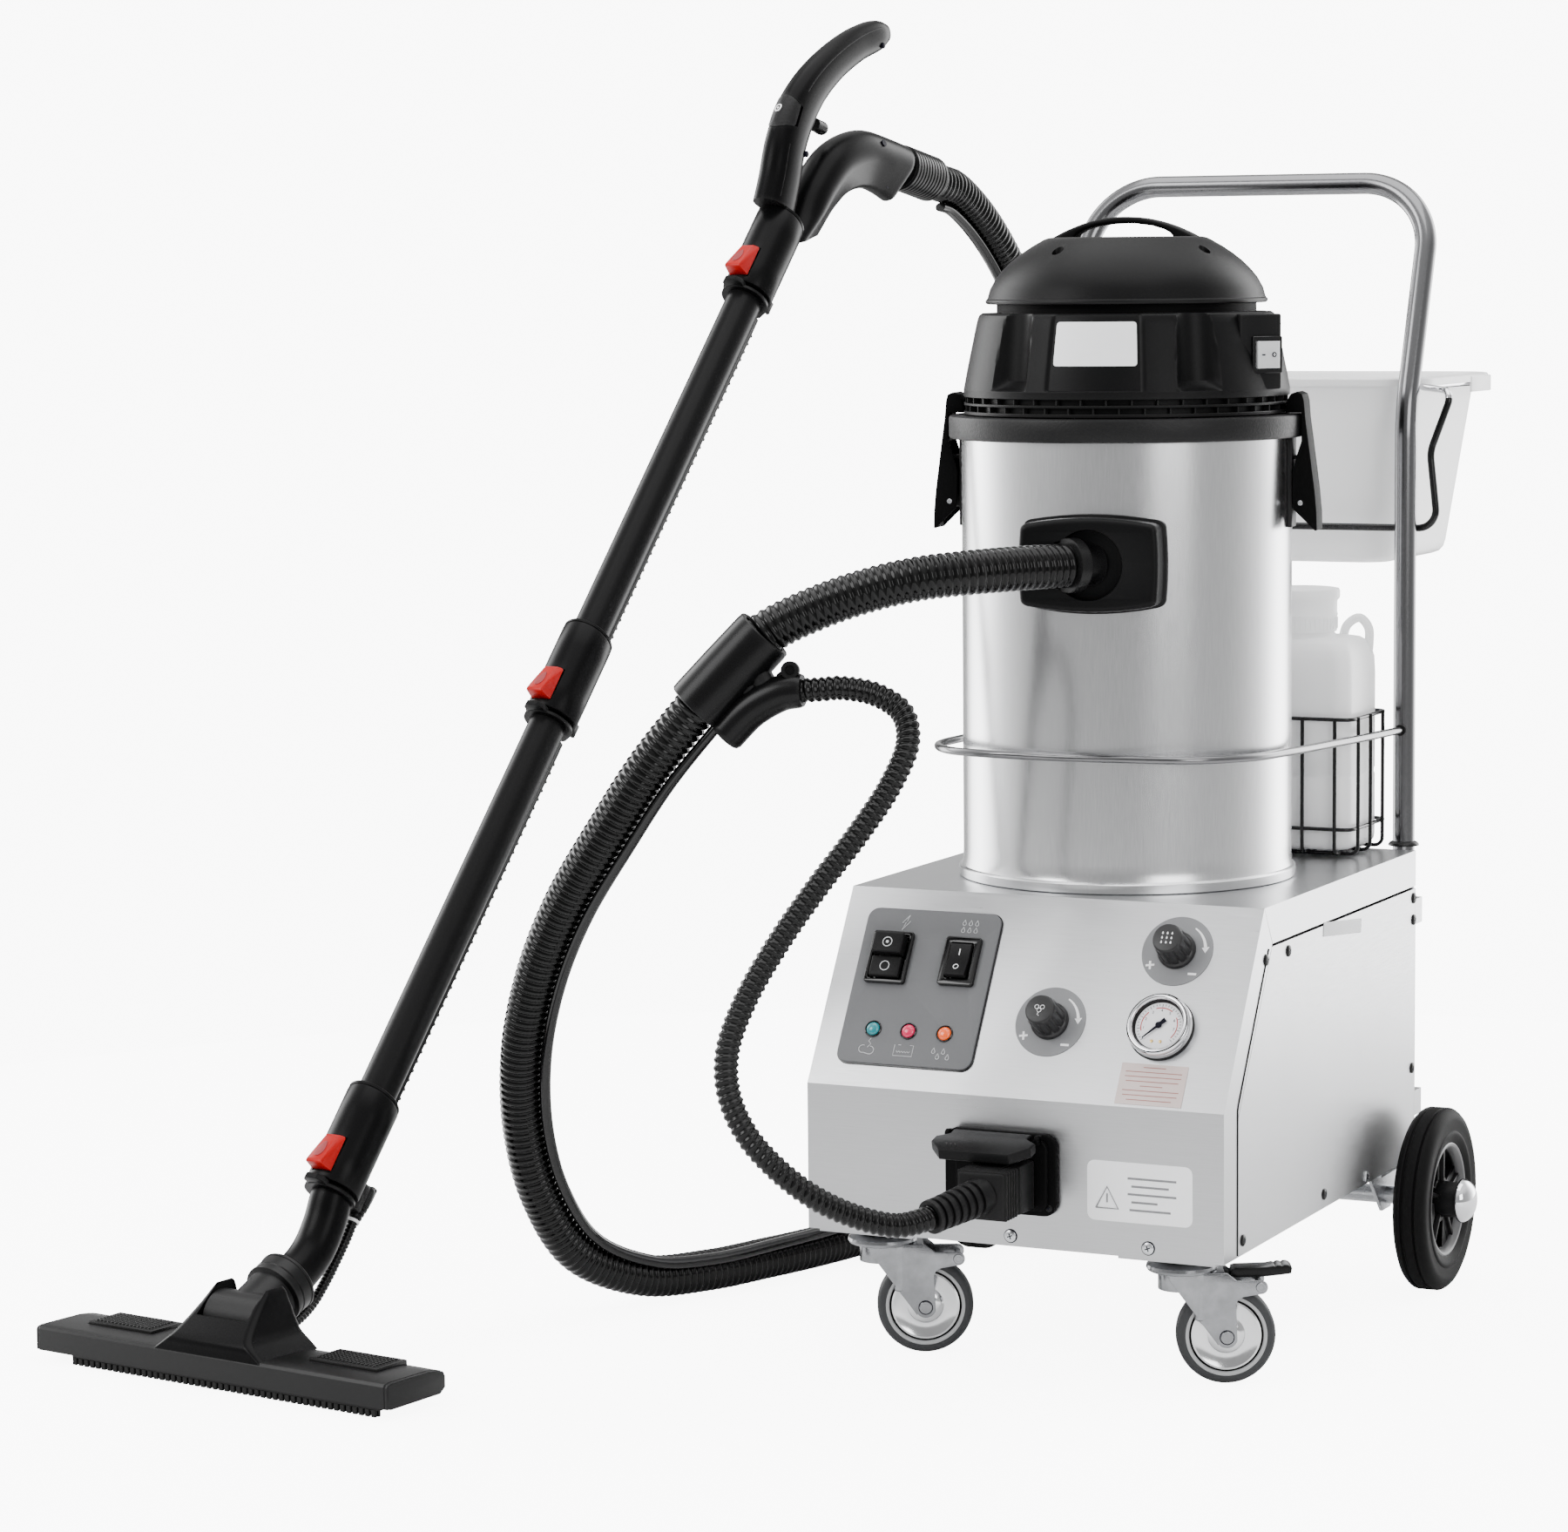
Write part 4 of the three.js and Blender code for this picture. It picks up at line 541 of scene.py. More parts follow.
def ribbed(path, outer, root, pitch, sides=28, helical=True):
    """Rings of a hose whose ribs run round it in a long helix."""
    across, up = carried_frames(path)
    gone = np.concatenate([[0], np.cumsum(np.linalg.norm(np.diff(path, axis=0), axis=1))])
    angle = np.linspace(0, 2 * math.pi, sides, endpoint=False)
    phase = gone[:, None] / pitch - (angle[None, :] / (2 * math.pi) if helical else 0)
    wave = 0.5 + 0.5 * np.cos(2 * math.pi * phase)
    radius = root + (outer - root) * wave ** 0.65
    # a fine second ridge in the groove between the ribs
    radius = radius + 0.16 * (outer - root) * np.maximum(0, np.cos(2 * math.pi * (phase + 0.5))) ** 8
    return (path[:, None] + radius[..., None]
            * (np.cos(angle)[None, :, None] * across[:, None] + np.sin(angle)[None, :, None] * up[:, None]))


def hoses():
    vac_path = smooth_path(VAC_ROUTE, 8.2 / 7)
    vac = Shape().skin(ribbed(vac_path, 23.0, 20.7, 8.2)).piece(
        "vacuum_hose", "machine", HOSE, "vac_hose", "hose", sharp=80)
    spaced = smooth_path(VAC_ROUTE, 12)

    sleeve = hose_sleeve()
    line = steam_line(spaced)
    cuff = elbow_cuff()

    steam_path = smooth_path(STEAM_ROUTE, 7.6 / 7)
    steam = Shape().skin(ribbed(steam_path, 12.6, 10.2, 7.6, sides=20)).piece(
        "steam_supply_hose", "machine", HOSE, "steam_hose", "hose", sharp=80)
    spaced = smooth_path(STEAM_ROUTE, 8)
    plug = hose_plug()

    jumper_path = smooth_path(JUMPER_ROUTE, 4.6 / 6)
    jumper = Shape().skin(ribbed(jumper_path, 6.1, 5.0, 4.6, sides=14)).piece(
        "tool_jumper_hose", "machine", HOSE, "tool_steam_hose", "hose", at=ON_WAND, sharp=80)
    spaced = smooth_path(JUMPER_ROUTE, 5)


def steam_line(hose_path):
    """The smooth black line that is clipped along the hose from the sleeve to the wand."""
    route = np.array(VAC_ROUTE, float)
    known_at = [int(np.argmin(np.linalg.norm(hose_path - route[i], axis=1))) for i, _ in STEAM_LINE_SIDE]
    start, end = known_at[0] - 1, known_at[-1] - 1
    where = np.arange(start, end)
    side = np.stack([np.interp(where, known_at, [d[k] for _, d in STEAM_LINE_SIDE]) for k in range(3)],
                    axis=1)
    along = np.gradient(hose_path, axis=0)[start:end]
    along /= np.linalg.norm(along, axis=1)[:, None]
    side -= along * (side * along).sum(1)[:, None]
    side /= np.linalg.norm(side, axis=1)[:, None]
    middle = hose_path[start:end] + side * 28.8
    # on the floor the line keeps its own height
    middle[:, 2] = np.maximum(middle[:, 2], 9)
    across, up = side, np.cross(along, side)
    angle = np.linspace(0, 2 * math.pi, 14, endpoint=False)
    ring = middle[:, None] + 5.6 * np.cos(angle)[None, :, None] * across[:, None] \
        + 7.2 * np.sin(angle)[None, :, None] * up[:, None]
    shape = Shape().skin(ring)
    return shape.piece("steam_line", "machine", BLACK_GLOSS, slot="hose", sharp=60)


def hose_sleeve():
    """Y-shaped clamp where the steam hose joins the vacuum hose."""
    a, b = Vector(SLEEVE_FROM), Vector(SLEEVE_TO)
    along = (b - a).normalized()
    shape = Shape()
    at = upright(a - along * 2, along)
    length = (b - a).length + 4
    shape.turned([(24.6, 1.2), (27.6, 0.2), (29.4, 0), (30.6, 1.2), (31.2, 8), (31.5, length / 2),
                  (31.2, length - 8), (30.8, length - 1.2), (29.6, length), (27.6, length - 0.2),
                  (24.6, length - 1.2), (24.6, 1.2)], 56, at=at)
    tail = smooth_path([(-182, -97.2, 701.9), (-191.6, -98.9, 701.2), (-205, -101.5, 698.5),
                        (-235, -107, 682), (-262, -112, 655)], 3)
    n = len(tail)
    t = np.linspace(0, 1, n)
    radius = 17.6 + 1.4 * np.sin(np.clip(t * 1.2, 0, 1) * math.pi / 2)
    radius[0] -= 1.6
    radius[1] -= 0.4
    radius[-1] -= 1.2
    shape.tube(tail, radius, 36)
    # web between the two shells, seam ridge, and the clamp screw in the crotch
    for k in (0.25, 0.45, 0.65, 0.82):
        p = a.lerp(b, k)
        q = Vector(tail[int((0.15 + 0.8 * k) * (n - 1))])
        shape.tube([p + (q - p) * 0.35, q], 12.5, 12)
    crotch = Vector((-196, -89, 722))
    shape.turned([(0, -9), (8.5, -9), (9.2, -8), (9.2, 8), (8.5, 9), (5, 9), (4.4, 6), (0, 6)], 24,
                 at=upright(crotch + Vector((2, -12, 0)), (0.35, -0.9, 0.1)))
    shape.tube([crotch + Vector((4, -8, 0)), Vector((-206, -98, 712))], 7, 12)
    ridge = [Vector(p) + Vector((-2, -10, -14.5)) for p in tail[int(n * 0.22):int(n * 0.80)]]
    shape.tube(ridge, 3.2, 10)
    made = shape.piece("hose_clamp_sleeve", "machine", BLACK_FINE, "hose_sleeve", "black_plastic", sharp=38)
    return made


def elbow_cuff():
    """Ribbed rubber cuff that ends the hose at the wand."""
    a, b = Vector((0, 1244.6, 1239.9)), Vector((0, 1316, 1225.6))
    length = (b - a).length
    profile = [(0, 0), (26, 0)]
    ribs = 11
    for i in range(ribs):
        z = 2 + (length - 4) * i / ribs
        step = (length - 4) / ribs
        profile += [(26.0, z), (27.8, z + 0.8), (27.8, z + step - 2.0), (26.0, z + step - 1.2)]
    profile += [(25.4, length), (0, length)]
    return Shape().turned(profile, 56, at=upright(a, b - a)).piece(
        "hose_cuff", "machine", BLACK_FINE, "elbow_cuff", "black_plastic", at=ON_WAND, sharp=30)


def hose_plug():
    """Square ribbed plug with a slanting, grooved strain relief."""
    shape = Shape()
    x0, x1, z0, z1 = 5 - 27, 5 + 27, 203 - 25, 203 + 25
    shape.block(x0, x1, -52, -14.6, z0, z1, 3)
    shape.block(x0 + 1.5, x1 - 1.5, -90, -50, z0 + 1.5, z1 - 1.5, 3.5)
    for i in range(5):
        y = -60 - i * 6.4
        shape.block(x0 + 0.3, x1 - 0.3, y - 1.6, y + 1.6, z0 + 0.3, z1 - 0.3, 1.2)
    start, end = Vector((5, -84, 203)), Vector((-23.6, -148.8, 190.7))
    length = (end - start).length
    profile = [(0, 0), (19, 0)]
    for i in range(6):
        z = 8 + i * (length - 12) / 6
        step = (length - 12) / 6
        r = 19.0 - 0.35 * i
        profile += [(r, z), (r, z + step * 0.55), (r - 2.4, z + step * 0.62), (r - 2.4, z + step * 0.93)]
    profile += [(17.6, length - 4), (17.2, length), (12.9, length), (12.9, length - 1), (0, length - 1)]
    shape.turned(profile, 40, at=upright(start, end - start))
    # release catch on top
    shape.block(-8, 18, -78, -40, z1 - 1.5, z1 + 0.2, 0.6)
    return shape.piece("steam_plug", "machine", BLACK, "hose_plug", "black_plastic", sharp=34)


# ---- vacuum can and head, in the can's own frame ----
LATCH_OUTER = [(172.5, 966), (172.5, 972), (174, 979), (178, 985.5), (184, 987.5), (189.5, 985), (191.5, 978),
               (193, 960), (199, 915), (203, 884), (205, 862), (205.5, 843.5), (203.5, 843)]
LATCH_INNER = [(181, 865), (179.8, 880), (179.5, 905), (184, 921), (189, 936), (189, 966)]
LATCH_PIVOT = (188, 872)
FACING_FRONT = axes((0, 0, 0), (1, 0, 0), (0, 0, 1))
ON_SWITCH = ON_CAN @ Matrix.Rotation(math.radians(45), 4, "Z")


def pin(shape, where, along, radius, length, mark=0, at=None):
    """A pin with slightly rounded ends."""
    c = min(radius, length) * 0.18
    place = upright(where, along)
    return shape.turned([(0, 0), (radius - c, 0), (radius, c), (radius, length - c), (radius - c, length),
                         (0, length)], 24, mark, at @ place if at is not None else place)


def screw_head(shape, where, out, radius, mark, slot_mark, at=None):
    """A domed cross-slot screw head."""
    place = upright(where, out)
    place = at @ place if at is not None else place
    shape.turned([(0, -0.4), (radius, -0.4), (radius, 0.5), (radius * 0.86, 1.2), (radius * 0.5, 1.7),
                  (0, 1.9)], 28, mark, place)
    for turn in (0, 90):
        spin = place @ Matrix.Rotation(math.radians(turn + 20), 4, "Z")
        shape.block(-radius * 0.5, radius * 0.5, -radius * 0.09, radius * 0.09, 1.1, 1.98, 0.05, slot_mark,
                    spin, 1)


def vacuum_can():
    foot = CAB_TOP + 0.4
    Shape().turned([(0, foot), (177.6, foot), (178.7, foot + 1), (178.7, foot + 9.6), (177.8, foot + 10.8),
                    (175.8, foot + 12), (174.8, foot + 15), (174.2, foot + 22), (174, foot + 30), (174, 951),
                    (172.4, 951), (172.4, foot + 14), (168, foot + 9), (0, foot + 8)], 160).piece(
        "can_shell", "machine", CAN_STEEL, "vac_can", "polished_steel", at=ON_CAN, sharp=24)

    ring = Shape().turned([(174.4, 940.6), (184, 940), (186.2, 940.8), (187.3, 943), (187.3, 961),
                           (186.6, 963.4), (184.6, 964.4), (166, 964.4), (164.4, 963.8), (164, 962),
                           (164, 952.4), (174.4, 952.4), (174.4, 940.6)], 160)
    for side in (-1, 1):
        low, high = sorted((side * 173.6, side * 178.5))
        ring.block(low, high, -14, 14, 846, 943, 1.2)
        low, high = sorted((side * 177, side * 191))
        ring.block(low, high, -7, 7, LATCH_PIVOT[1] - 6, LATCH_PIVOT[1] + 6, 1.5)
        ring.block(low, high, -7, 7, 917, 921, 1.2)
    ring.piece("can_rim_ring", "machine", BLACK_COARSE, "can_top_ring", "black_plastic", at=ON_CAN)

    for name, side in (("latch_left", -1), ("latch_right", 1)):
        latch = Shape()
        at = axes((0, 0, 0), (side, 0, 0), (0, 0, 1))
        for low in (-19, 16):
            latch.plate([LATCH_OUTER + LATCH_INNER], low, low + 3, 0.7, at=at)
        back = LATCH_OUTER[6:-1]
        latch.plate([back + [(r - 3, z) for r, z in reversed(back)]], -18.4, 18.4, 0.7, at=at)
        latch.plate([LATCH_OUTER[:7] + [(192.6, 966)]], -18.4, 18.4, 0.9, at=at)
        for z in (900, 936):
            latch.plate([[(190, z), (200 - (z - 884) * 0.13, z), (200 - (z - 884) * 0.13, z + 3),
                          (190, z + 3)]], -16.2, 16.2, 0.4, at=at)
        pin(latch, (side * LATCH_PIVOT[0], -20.2, LATCH_PIVOT[1]), (0, 1, 0), 2.6, 40.4, 1)
        latch.piece(name + "_lever", name, [MATT_BLACK, ZINC], name, "black_plastic", at=ON_CAN)


def pillow(grow):
    """The inlet plate's outline: four bowed sides with round corners."""
    side = []
    for (x0, z0), (x1, z1), (x2, z2) in (((66, -45), (74, -43), (74, -36)), ((74, -36), (77, 0), (74, 36)),
                                         ((74, 36), (74, 43), (66, 45)), ((66, 45), (0, 57), (-66, 45)),
                                         ((-66, 45), (-74, 43), (-74, 36)),
                                         ((-74, 36), (-77, 0), (-74, -36)),
                                         ((-74, -36), (-74, -43), (-66, -45)),
                                         ((-66, -45), (0, -57), (66, -45))):
        for k in range(8):
            t = k / 8
            side.append(((1 - t) ** 2 * x0 + 2 * t * (1 - t) * x1 + t * t * x2,
                         (1 - t) ** 2 * z0 + 2 * t * (1 - t) * z1 + t * t * z2))
    return [(x * (1 + grow / 75), z * (1 + grow / 50)) for x, z in side]


def vacuum_inlet():
    place = Matrix.Translation((0, 0, INLET_Z)) @ FACING_FRONT
    drum = Shape().turned([(0, INLET_Z - 80), (174.3, INLET_Z - 80), (174.3, INLET_Z + 80),
                           (0, INLET_Z + 80)], 96)
    body = Shape().plate([pillow(-2.6)], 140, 199, 6, resolution=5, at=place)
    recess = Shape().turned([(0, 0), (35.4, 0), (35.4, 10), (36.6, 13.6), (36.6, 30), (0, 30)], 64,
                            at=Matrix.Translation((0, -199 + 13, INLET_Z))
                            @ Matrix.Rotation(math.pi / 2, 4, "X"))
    aim = Vector((-math.sin(math.radians(40)), -math.cos(math.radians(40)), 0))
    start = Vector((2, -178, INLET_Z))
    notch = pin(Shape(), start + aim * 14, aim, 27.2, 70)
    body.combined(recess).combined(notch).combined(drum)
    flange = Shape().plate([pillow(0)], 120, 199, 0.5, at=place)
    flange.combined(Shape().turned([(0, INLET_Z - 80), (180.5, INLET_Z - 80), (180.5, INLET_Z + 80),
                                    (0, INLET_Z + 80)], 96), "INTERSECT").combined(drum).combined(notch)
    body.add(flange.verts, flange.faces)
    socket = upright(start, aim)
    body.turned([(18, -1), (21.5, -1), (21.5, 22), (27.2, 22), (28, 22.8), (28, 34.2), (27.2, 35), (18, 35),
                 (18, -1)], 64, 1, socket)
    body.piece("inlet_plate", "machine", [BLACK, BLACK_FINE], "vac_inlet", "black_plastic", at=ON_CAN,
               sharp=30)


SCOOPS = (-34, 38, 110, 182, 254)
HOUSING = ([991, 1010, 1036, 1058, 1065, 1069, 1071], [171.5, 168, 162.6, 158, 156.3, 154.6, 151.5])


def housing_radius(angle, z):
    """The lower housing's outside, with its scallops and the flat recess for the label."""
    outside = float(np.interp(z, *HOUSING))
    radius = outside
    for scoop in SCOOPS:
        turn = math.radians((angle - scoop + 180) % 360 - 180)
        centre = 181 - 8 * (z - 997) / 84
        if abs(turn) < 0.5 and abs(centre * math.sin(turn)) < 28:
            carved = centre * math.cos(turn) - math.sqrt(28 ** 2 - (centre * math.sin(turn)) ** 2)
            rise = min(1, max(0, (z - 992) / 10)) ** 0.5
            radius = min(radius, outside - max(0, outside - carved) * rise)
    if abs(angle) < 17.5 and z > 992:
        radius -= 2.2 * min(1, max(0, (17.5 - abs(angle)) / 0.8))
    return radius


def head_base():
    base = Shape()
    rows = ([991, 991.6, 993, 995, 998, 1002] + [1002 + 63 * i / 14 for i in range(1, 15)]
            + [1067, 1069, 1070.4, 1071])
    columns = 480
    rings = []
    for z in rows:
        rings.append([(r * math.sin(math.radians(a)), -r * math.cos(math.radians(a)), z)
                      for i in range(columns) for a in [360 * i / columns - 180]
                      for r in [housing_radius(a, z)]])
    for r, z in ((138, 1071), (62, 1071)):
        rings.append([(r * math.sin(2 * math.pi * i / columns - math.pi),
                       -r * math.cos(2 * math.pi * i / columns - math.pi), z) for i in range(columns)])
    # the vent rings below the housing and the underside
    below = [(62, 1066), (140, 1066), (150, 1000), (150, 965.4), (170.4, 965.4), (171, 966), (171, 968.4),
             (170.6, 969), (163.5, 969), (163.5, 975), (170.6, 975), (171, 975.5), (171, 977.3),
             (170.6, 977.8), (163.5, 977.8), (163.5, 983.6), (170.8, 983.6), (171.5, 984.2)]
    rings += [[(r * math.sin(2 * math.pi * i / columns - math.pi),
                -r * math.cos(2 * math.pi * i / columns - math.pi), z) for i in range(columns)]
              for r, z in below]
    rings.append(rings[0])
    base.skin(rings, caps=False)
    for k in range(40):
        for low, high in ((968.6, 975.2), (977.5, 984)):
            turn = Matrix.Rotation(math.radians(9 * k + (4.5 if low > 970 else 0)), 4, "Z")
            base.block(-0.8, 0.8, -169.6, -163, low, high, 0.2, at=turn, segments=1)
    switch_at = Matrix.Rotation(math.radians(45), 4, "Z")
    base.block(36, 88, -157, -118, 991.5, 1069, 2.2, at=switch_at, segments=3)
    frame_loops = [round_rect(50, 87, 1008, 1046, 1.6), round_rect(54, 84, 1012, 1042, 1.0)]
    base.plate(frame_loops, 150, 160, 0.9, 1, at=switch_at @ FACING_FRONT)
    base.plate([round_rect(53, 85, 1011, 1043, 0.6)], 149, 152, 0.2, 1, at=switch_at @ FACING_FRONT)
    base.piece("head_housing", "vac_head", [BLACK, BLACK_GLOSS], "vac_head_base", "black_plastic",
               at=ON_CAN, sharp=28)

    # pale blank label in the flat recess
    def label_edge(angle):
        inset = max(0, abs(angle) - 14.2)
        corner = 3.4 - math.sqrt(max(0, 3.4 ** 2 - (inset * 2.83) ** 2))
        return 1018 + corner, 1063 - corner
    columns = ([-15.4, -15.25, -15, -14.7, -14.2] + [-14.2 + 28.4 * i / 12 for i in range(1, 12)]
               + [14.2, 14.7, 15, 15.25, 15.4])
    Shape().wrapped(columns, label_edge, lambda a, z: float(np.interp(z, *HOUSING)) - 1.3, 0.8).piece(
        "head_label", "vac_head", LABEL, slot="switch_grey", at=ON_CAN)

    rocker = Shape()
    side = [(55.3, 153.4), (55.3, 161.6), (57, 162), (69, 159.8), (81.6, 161.8), (82.7, 161.2), (82.7, 153.4)]
    rocker.plate([side], -14, 14, 0.4, at=axes((0, 0, 1027), (1, 0, 0), (0, -1, 0)))
    rocker.block(60.4, 64.6, -161.7, -160.6, 1026.4, 1027.6, 0, 1)
    ring_at = axes((76, -161, 1027), (1, 0, 0), (0, 0, 1))
    rocker.plate([circle(0, 0, 2.6, 24), circle(0, 0, 1.7, 24)], -0.4, 0.55, 0.05, 1, at=ring_at)
    rocker.piece("vac_switch_rocker", "vac_rocker", [SWITCH_GREY, NEEDLE], "vac_rocker", "switch_grey",
                 at=ON_SWITCH)


def head_dome():
    dome = Shape().turned([(0, 1146), (80, 1144), (124, 1112), (128, 1084), (100, 1080.6), (100, 1071.4),
                           (136, 1071.4), (136, 1080.2), (145.6, 1080.2), (147.4, 1081), (148.2, 1082.8),
                           (147.8, 1084.6), (146.4, 1085.6), (145.6, 1087.5), (143.2, 1096),
                           (137.4, 1106.6), (130, 1115.6), (121.5, 1124), (112, 1131.6), (100.5, 1139.4),
                           (91, 1144.9), (86.4, 1147.4), (82.8, 1148.7), (79, 1149.4), (60, 1149.5),
                           (0, 1149.5)], 144)
    for angle in (-30, 61, 150, 241):
        out = Vector((math.sin(math.radians(angle)), -math.cos(math.radians(angle)), 0))
        dome.combined(pin(Shape(), out * 106 + Vector((0, 0, 1126)), (0, 0, 1), 6.4, 40))
        screw_head(dome, out * 106 + Vector((0, 0, 1126.2)), (0, 0, 1), 4.6, 1, 2)
    peak, low = DOME_TOP + 21, DOME_TOP - 6
    half = 86
    outer = [(half * t, peak - (peak - low) * abs(t) ** 2) for t in [1 - i / 16 for i in range(33)]]
    inner = [(-57, low), (-53, 1149), (-49, 1153.6), (-42, 1157.4), (-30, 1160.8), (-14, 1163), (0, 1163.5),
             (14, 1163), (30, 1160.8), (42, 1157.4), (49, 1153.6), (53, 1149), (57, low)]
    dome.plate([outer + inner], -15, 15, 3, 0, FACING_FRONT, 4)
    dome.turned([(134, 1071.8), (136.4, 1071.8), (136.4, 1080), (134, 1080), (134, 1071.8)], 96, 3)
    dome.piece("head_dome", "vac_head", [BLACK, ZINC, NEEDLE, MATT_BLACK], "vac_dome", "black_plastic",
               at=ON_CAN, sharp=26)


# ---- cabinet ----
def node_finish(material, *nodes, bevel=0.0):
    """Gives carried-over CAD nodes a material and, where asked, softly rounded edges."""
    for name in nodes:
        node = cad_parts[name]
        node.data.materials.clear()
        node.data.materials.append(material)
        if bevel > 0:
            round_edges = node.modifiers.new("round_edges", "BEVEL")
            round_edges.width = bevel * MM
            round_edges.segments = 2
            round_edges.limit_method = "ANGLE"
            round_edges.angle_limit = math.radians(30)


def cabinet():
    node_finish(SHEET, "front_panel", "top_cover", bevel=0.9)
    node_finish(SIDE, "side_panel_left", "side_panel_right", bevel=0.5)
    node_finish(SIDE, "cabinet_base", bevel=0.5)
    node_finish(POLISHED, "boiler")
    node_finish(MILKY, "water_tank")
    node_finish(GREY_PLATE, "vac_motor")

    screws = Shape()
    for x in (-150, -1.2, 147.8):
        screws.turned([(0, 0), (7.2, 0), (7.2, 0.5), (0, 0.6)], 32, 1, upright((x, 0, 144.5), (0, -1, 0)))
        screw_head(screws, (x, -0.9, 144.5), (0, -1, 0), 6.2, 0, 1)
    for y, z, silver in ((187, 423, 0), (596, 424, 0), (596, 400, 0), (593, 235, 0), (53.5, 149, 0),
                         (437, 142, 1), (300, 149, 0), (120, 423, 0)):
        for side in (-1, 1):
            screw_head(screws, (side * 228.6, y, z), (side, 0, 0), 6.0, 0 if silver else 2, 1)
    for x in (-190, -95, 95, 190):
        screw_head(screws, (x, 604.4, 445), (0, 1, 0), 4.6, 2, 1)
    # dark gap between the front's folded edge and each side panel
    for side in (-1, 1):
        gap = [(side * 227.9, y, z) for y, z in ((38, 136), (38, 283), (40, 288), (128, 433))]
        screws.tube(gap, 1.25, 8, 2)
    screws.piece("cabinet_screws", "machine", [ZINC, NEEDLE, BLACK_FINE], slot="zinc")

    labels = Shape()
    labels.plate([round_rect(82.5, 195, 169, 230, 8)], -0.2, 0.5, 0.12, 0, FACING_FRONT)
    labels.plate([round_rect(111, 182, 3, 47, 0.8)], 0.1, 0.6, 0.1, 1, ON_SLOPE)
    labels.plate([round_rect(-61, 61, -7.5, 7.5, 1)], 0.1, 0.6, 0.1, 2,
                 axes((228, 356, 424), (0, 1, -0.10), (0, 0.10, 1)))
    # a plain warning triangle and bars on the front label, bars on the sloping one
    for points in (((92, 182), (104, 204), (116, 182), (92, 182)), ((104, 188), (104, 197))):
        labels.tube([(x, -0.65, z) for x, z in points], 0.8, 8, 3)
    for x, z, half in ((152, 214, 26), (150, 206, 20), (152, 198, 26), (144, 190, 14), (150, 182, 22)):
        labels.block(x - half, x + half, -0.7, 0, z - 1.1, z + 1.1, 0.1, 3)
    for row, half in enumerate((12, 30, 30, 28, 12, 30, 29, 24)):
        labels.block(146.5 - half, 146.5 + half, 42.6 - 5 * row, 43.6 - 5 * row, 0.5, 0.75, 0.05, 4, ON_SLOPE)
    labels.piece("blank_labels", "machine", [LABEL, LABEL_WARM, PRINT_DIM, DISC_GREY, RED_PRINT],
                 slot="switch_grey")


# ---- controls, on the sloping face ----
POWER, PUMP = (-165.4, 142), (-85.8, 142)
DIALS = (("steam_knob", (25, 85)), ("water_knob", (145, 170.5)))
GAUGE = (144.8, 86)
LAMPS = (("lamp_steam_ready", -165.9, TEAL_LAMP), ("lamp_tank_empty", -126.2, PINK_LAMP),
         ("lamp_water_on", -85.8, ORANGE_LAMP))


def stroke(shape, points, height, width=0.8, mark=0, at=None):
    """A thin raised printed line."""
    shape.tube([(x, y, height) for x, y in points], width / 2, 6, mark, at)


def drop(cx, cy, size):
    """A closed outline of a small drop."""
    outline = [(cx, cy + size)]
    outline += [(cx + 0.55 * size * math.sin(math.radians(a)), cy - 0.25 * size + 0.55 * size
                 * math.cos(math.radians(a))) for a in range(50, 311, 20)]
    return outline + [(cx, cy + size), (cx + 0.3 * size, cy + 0.4 * size)]


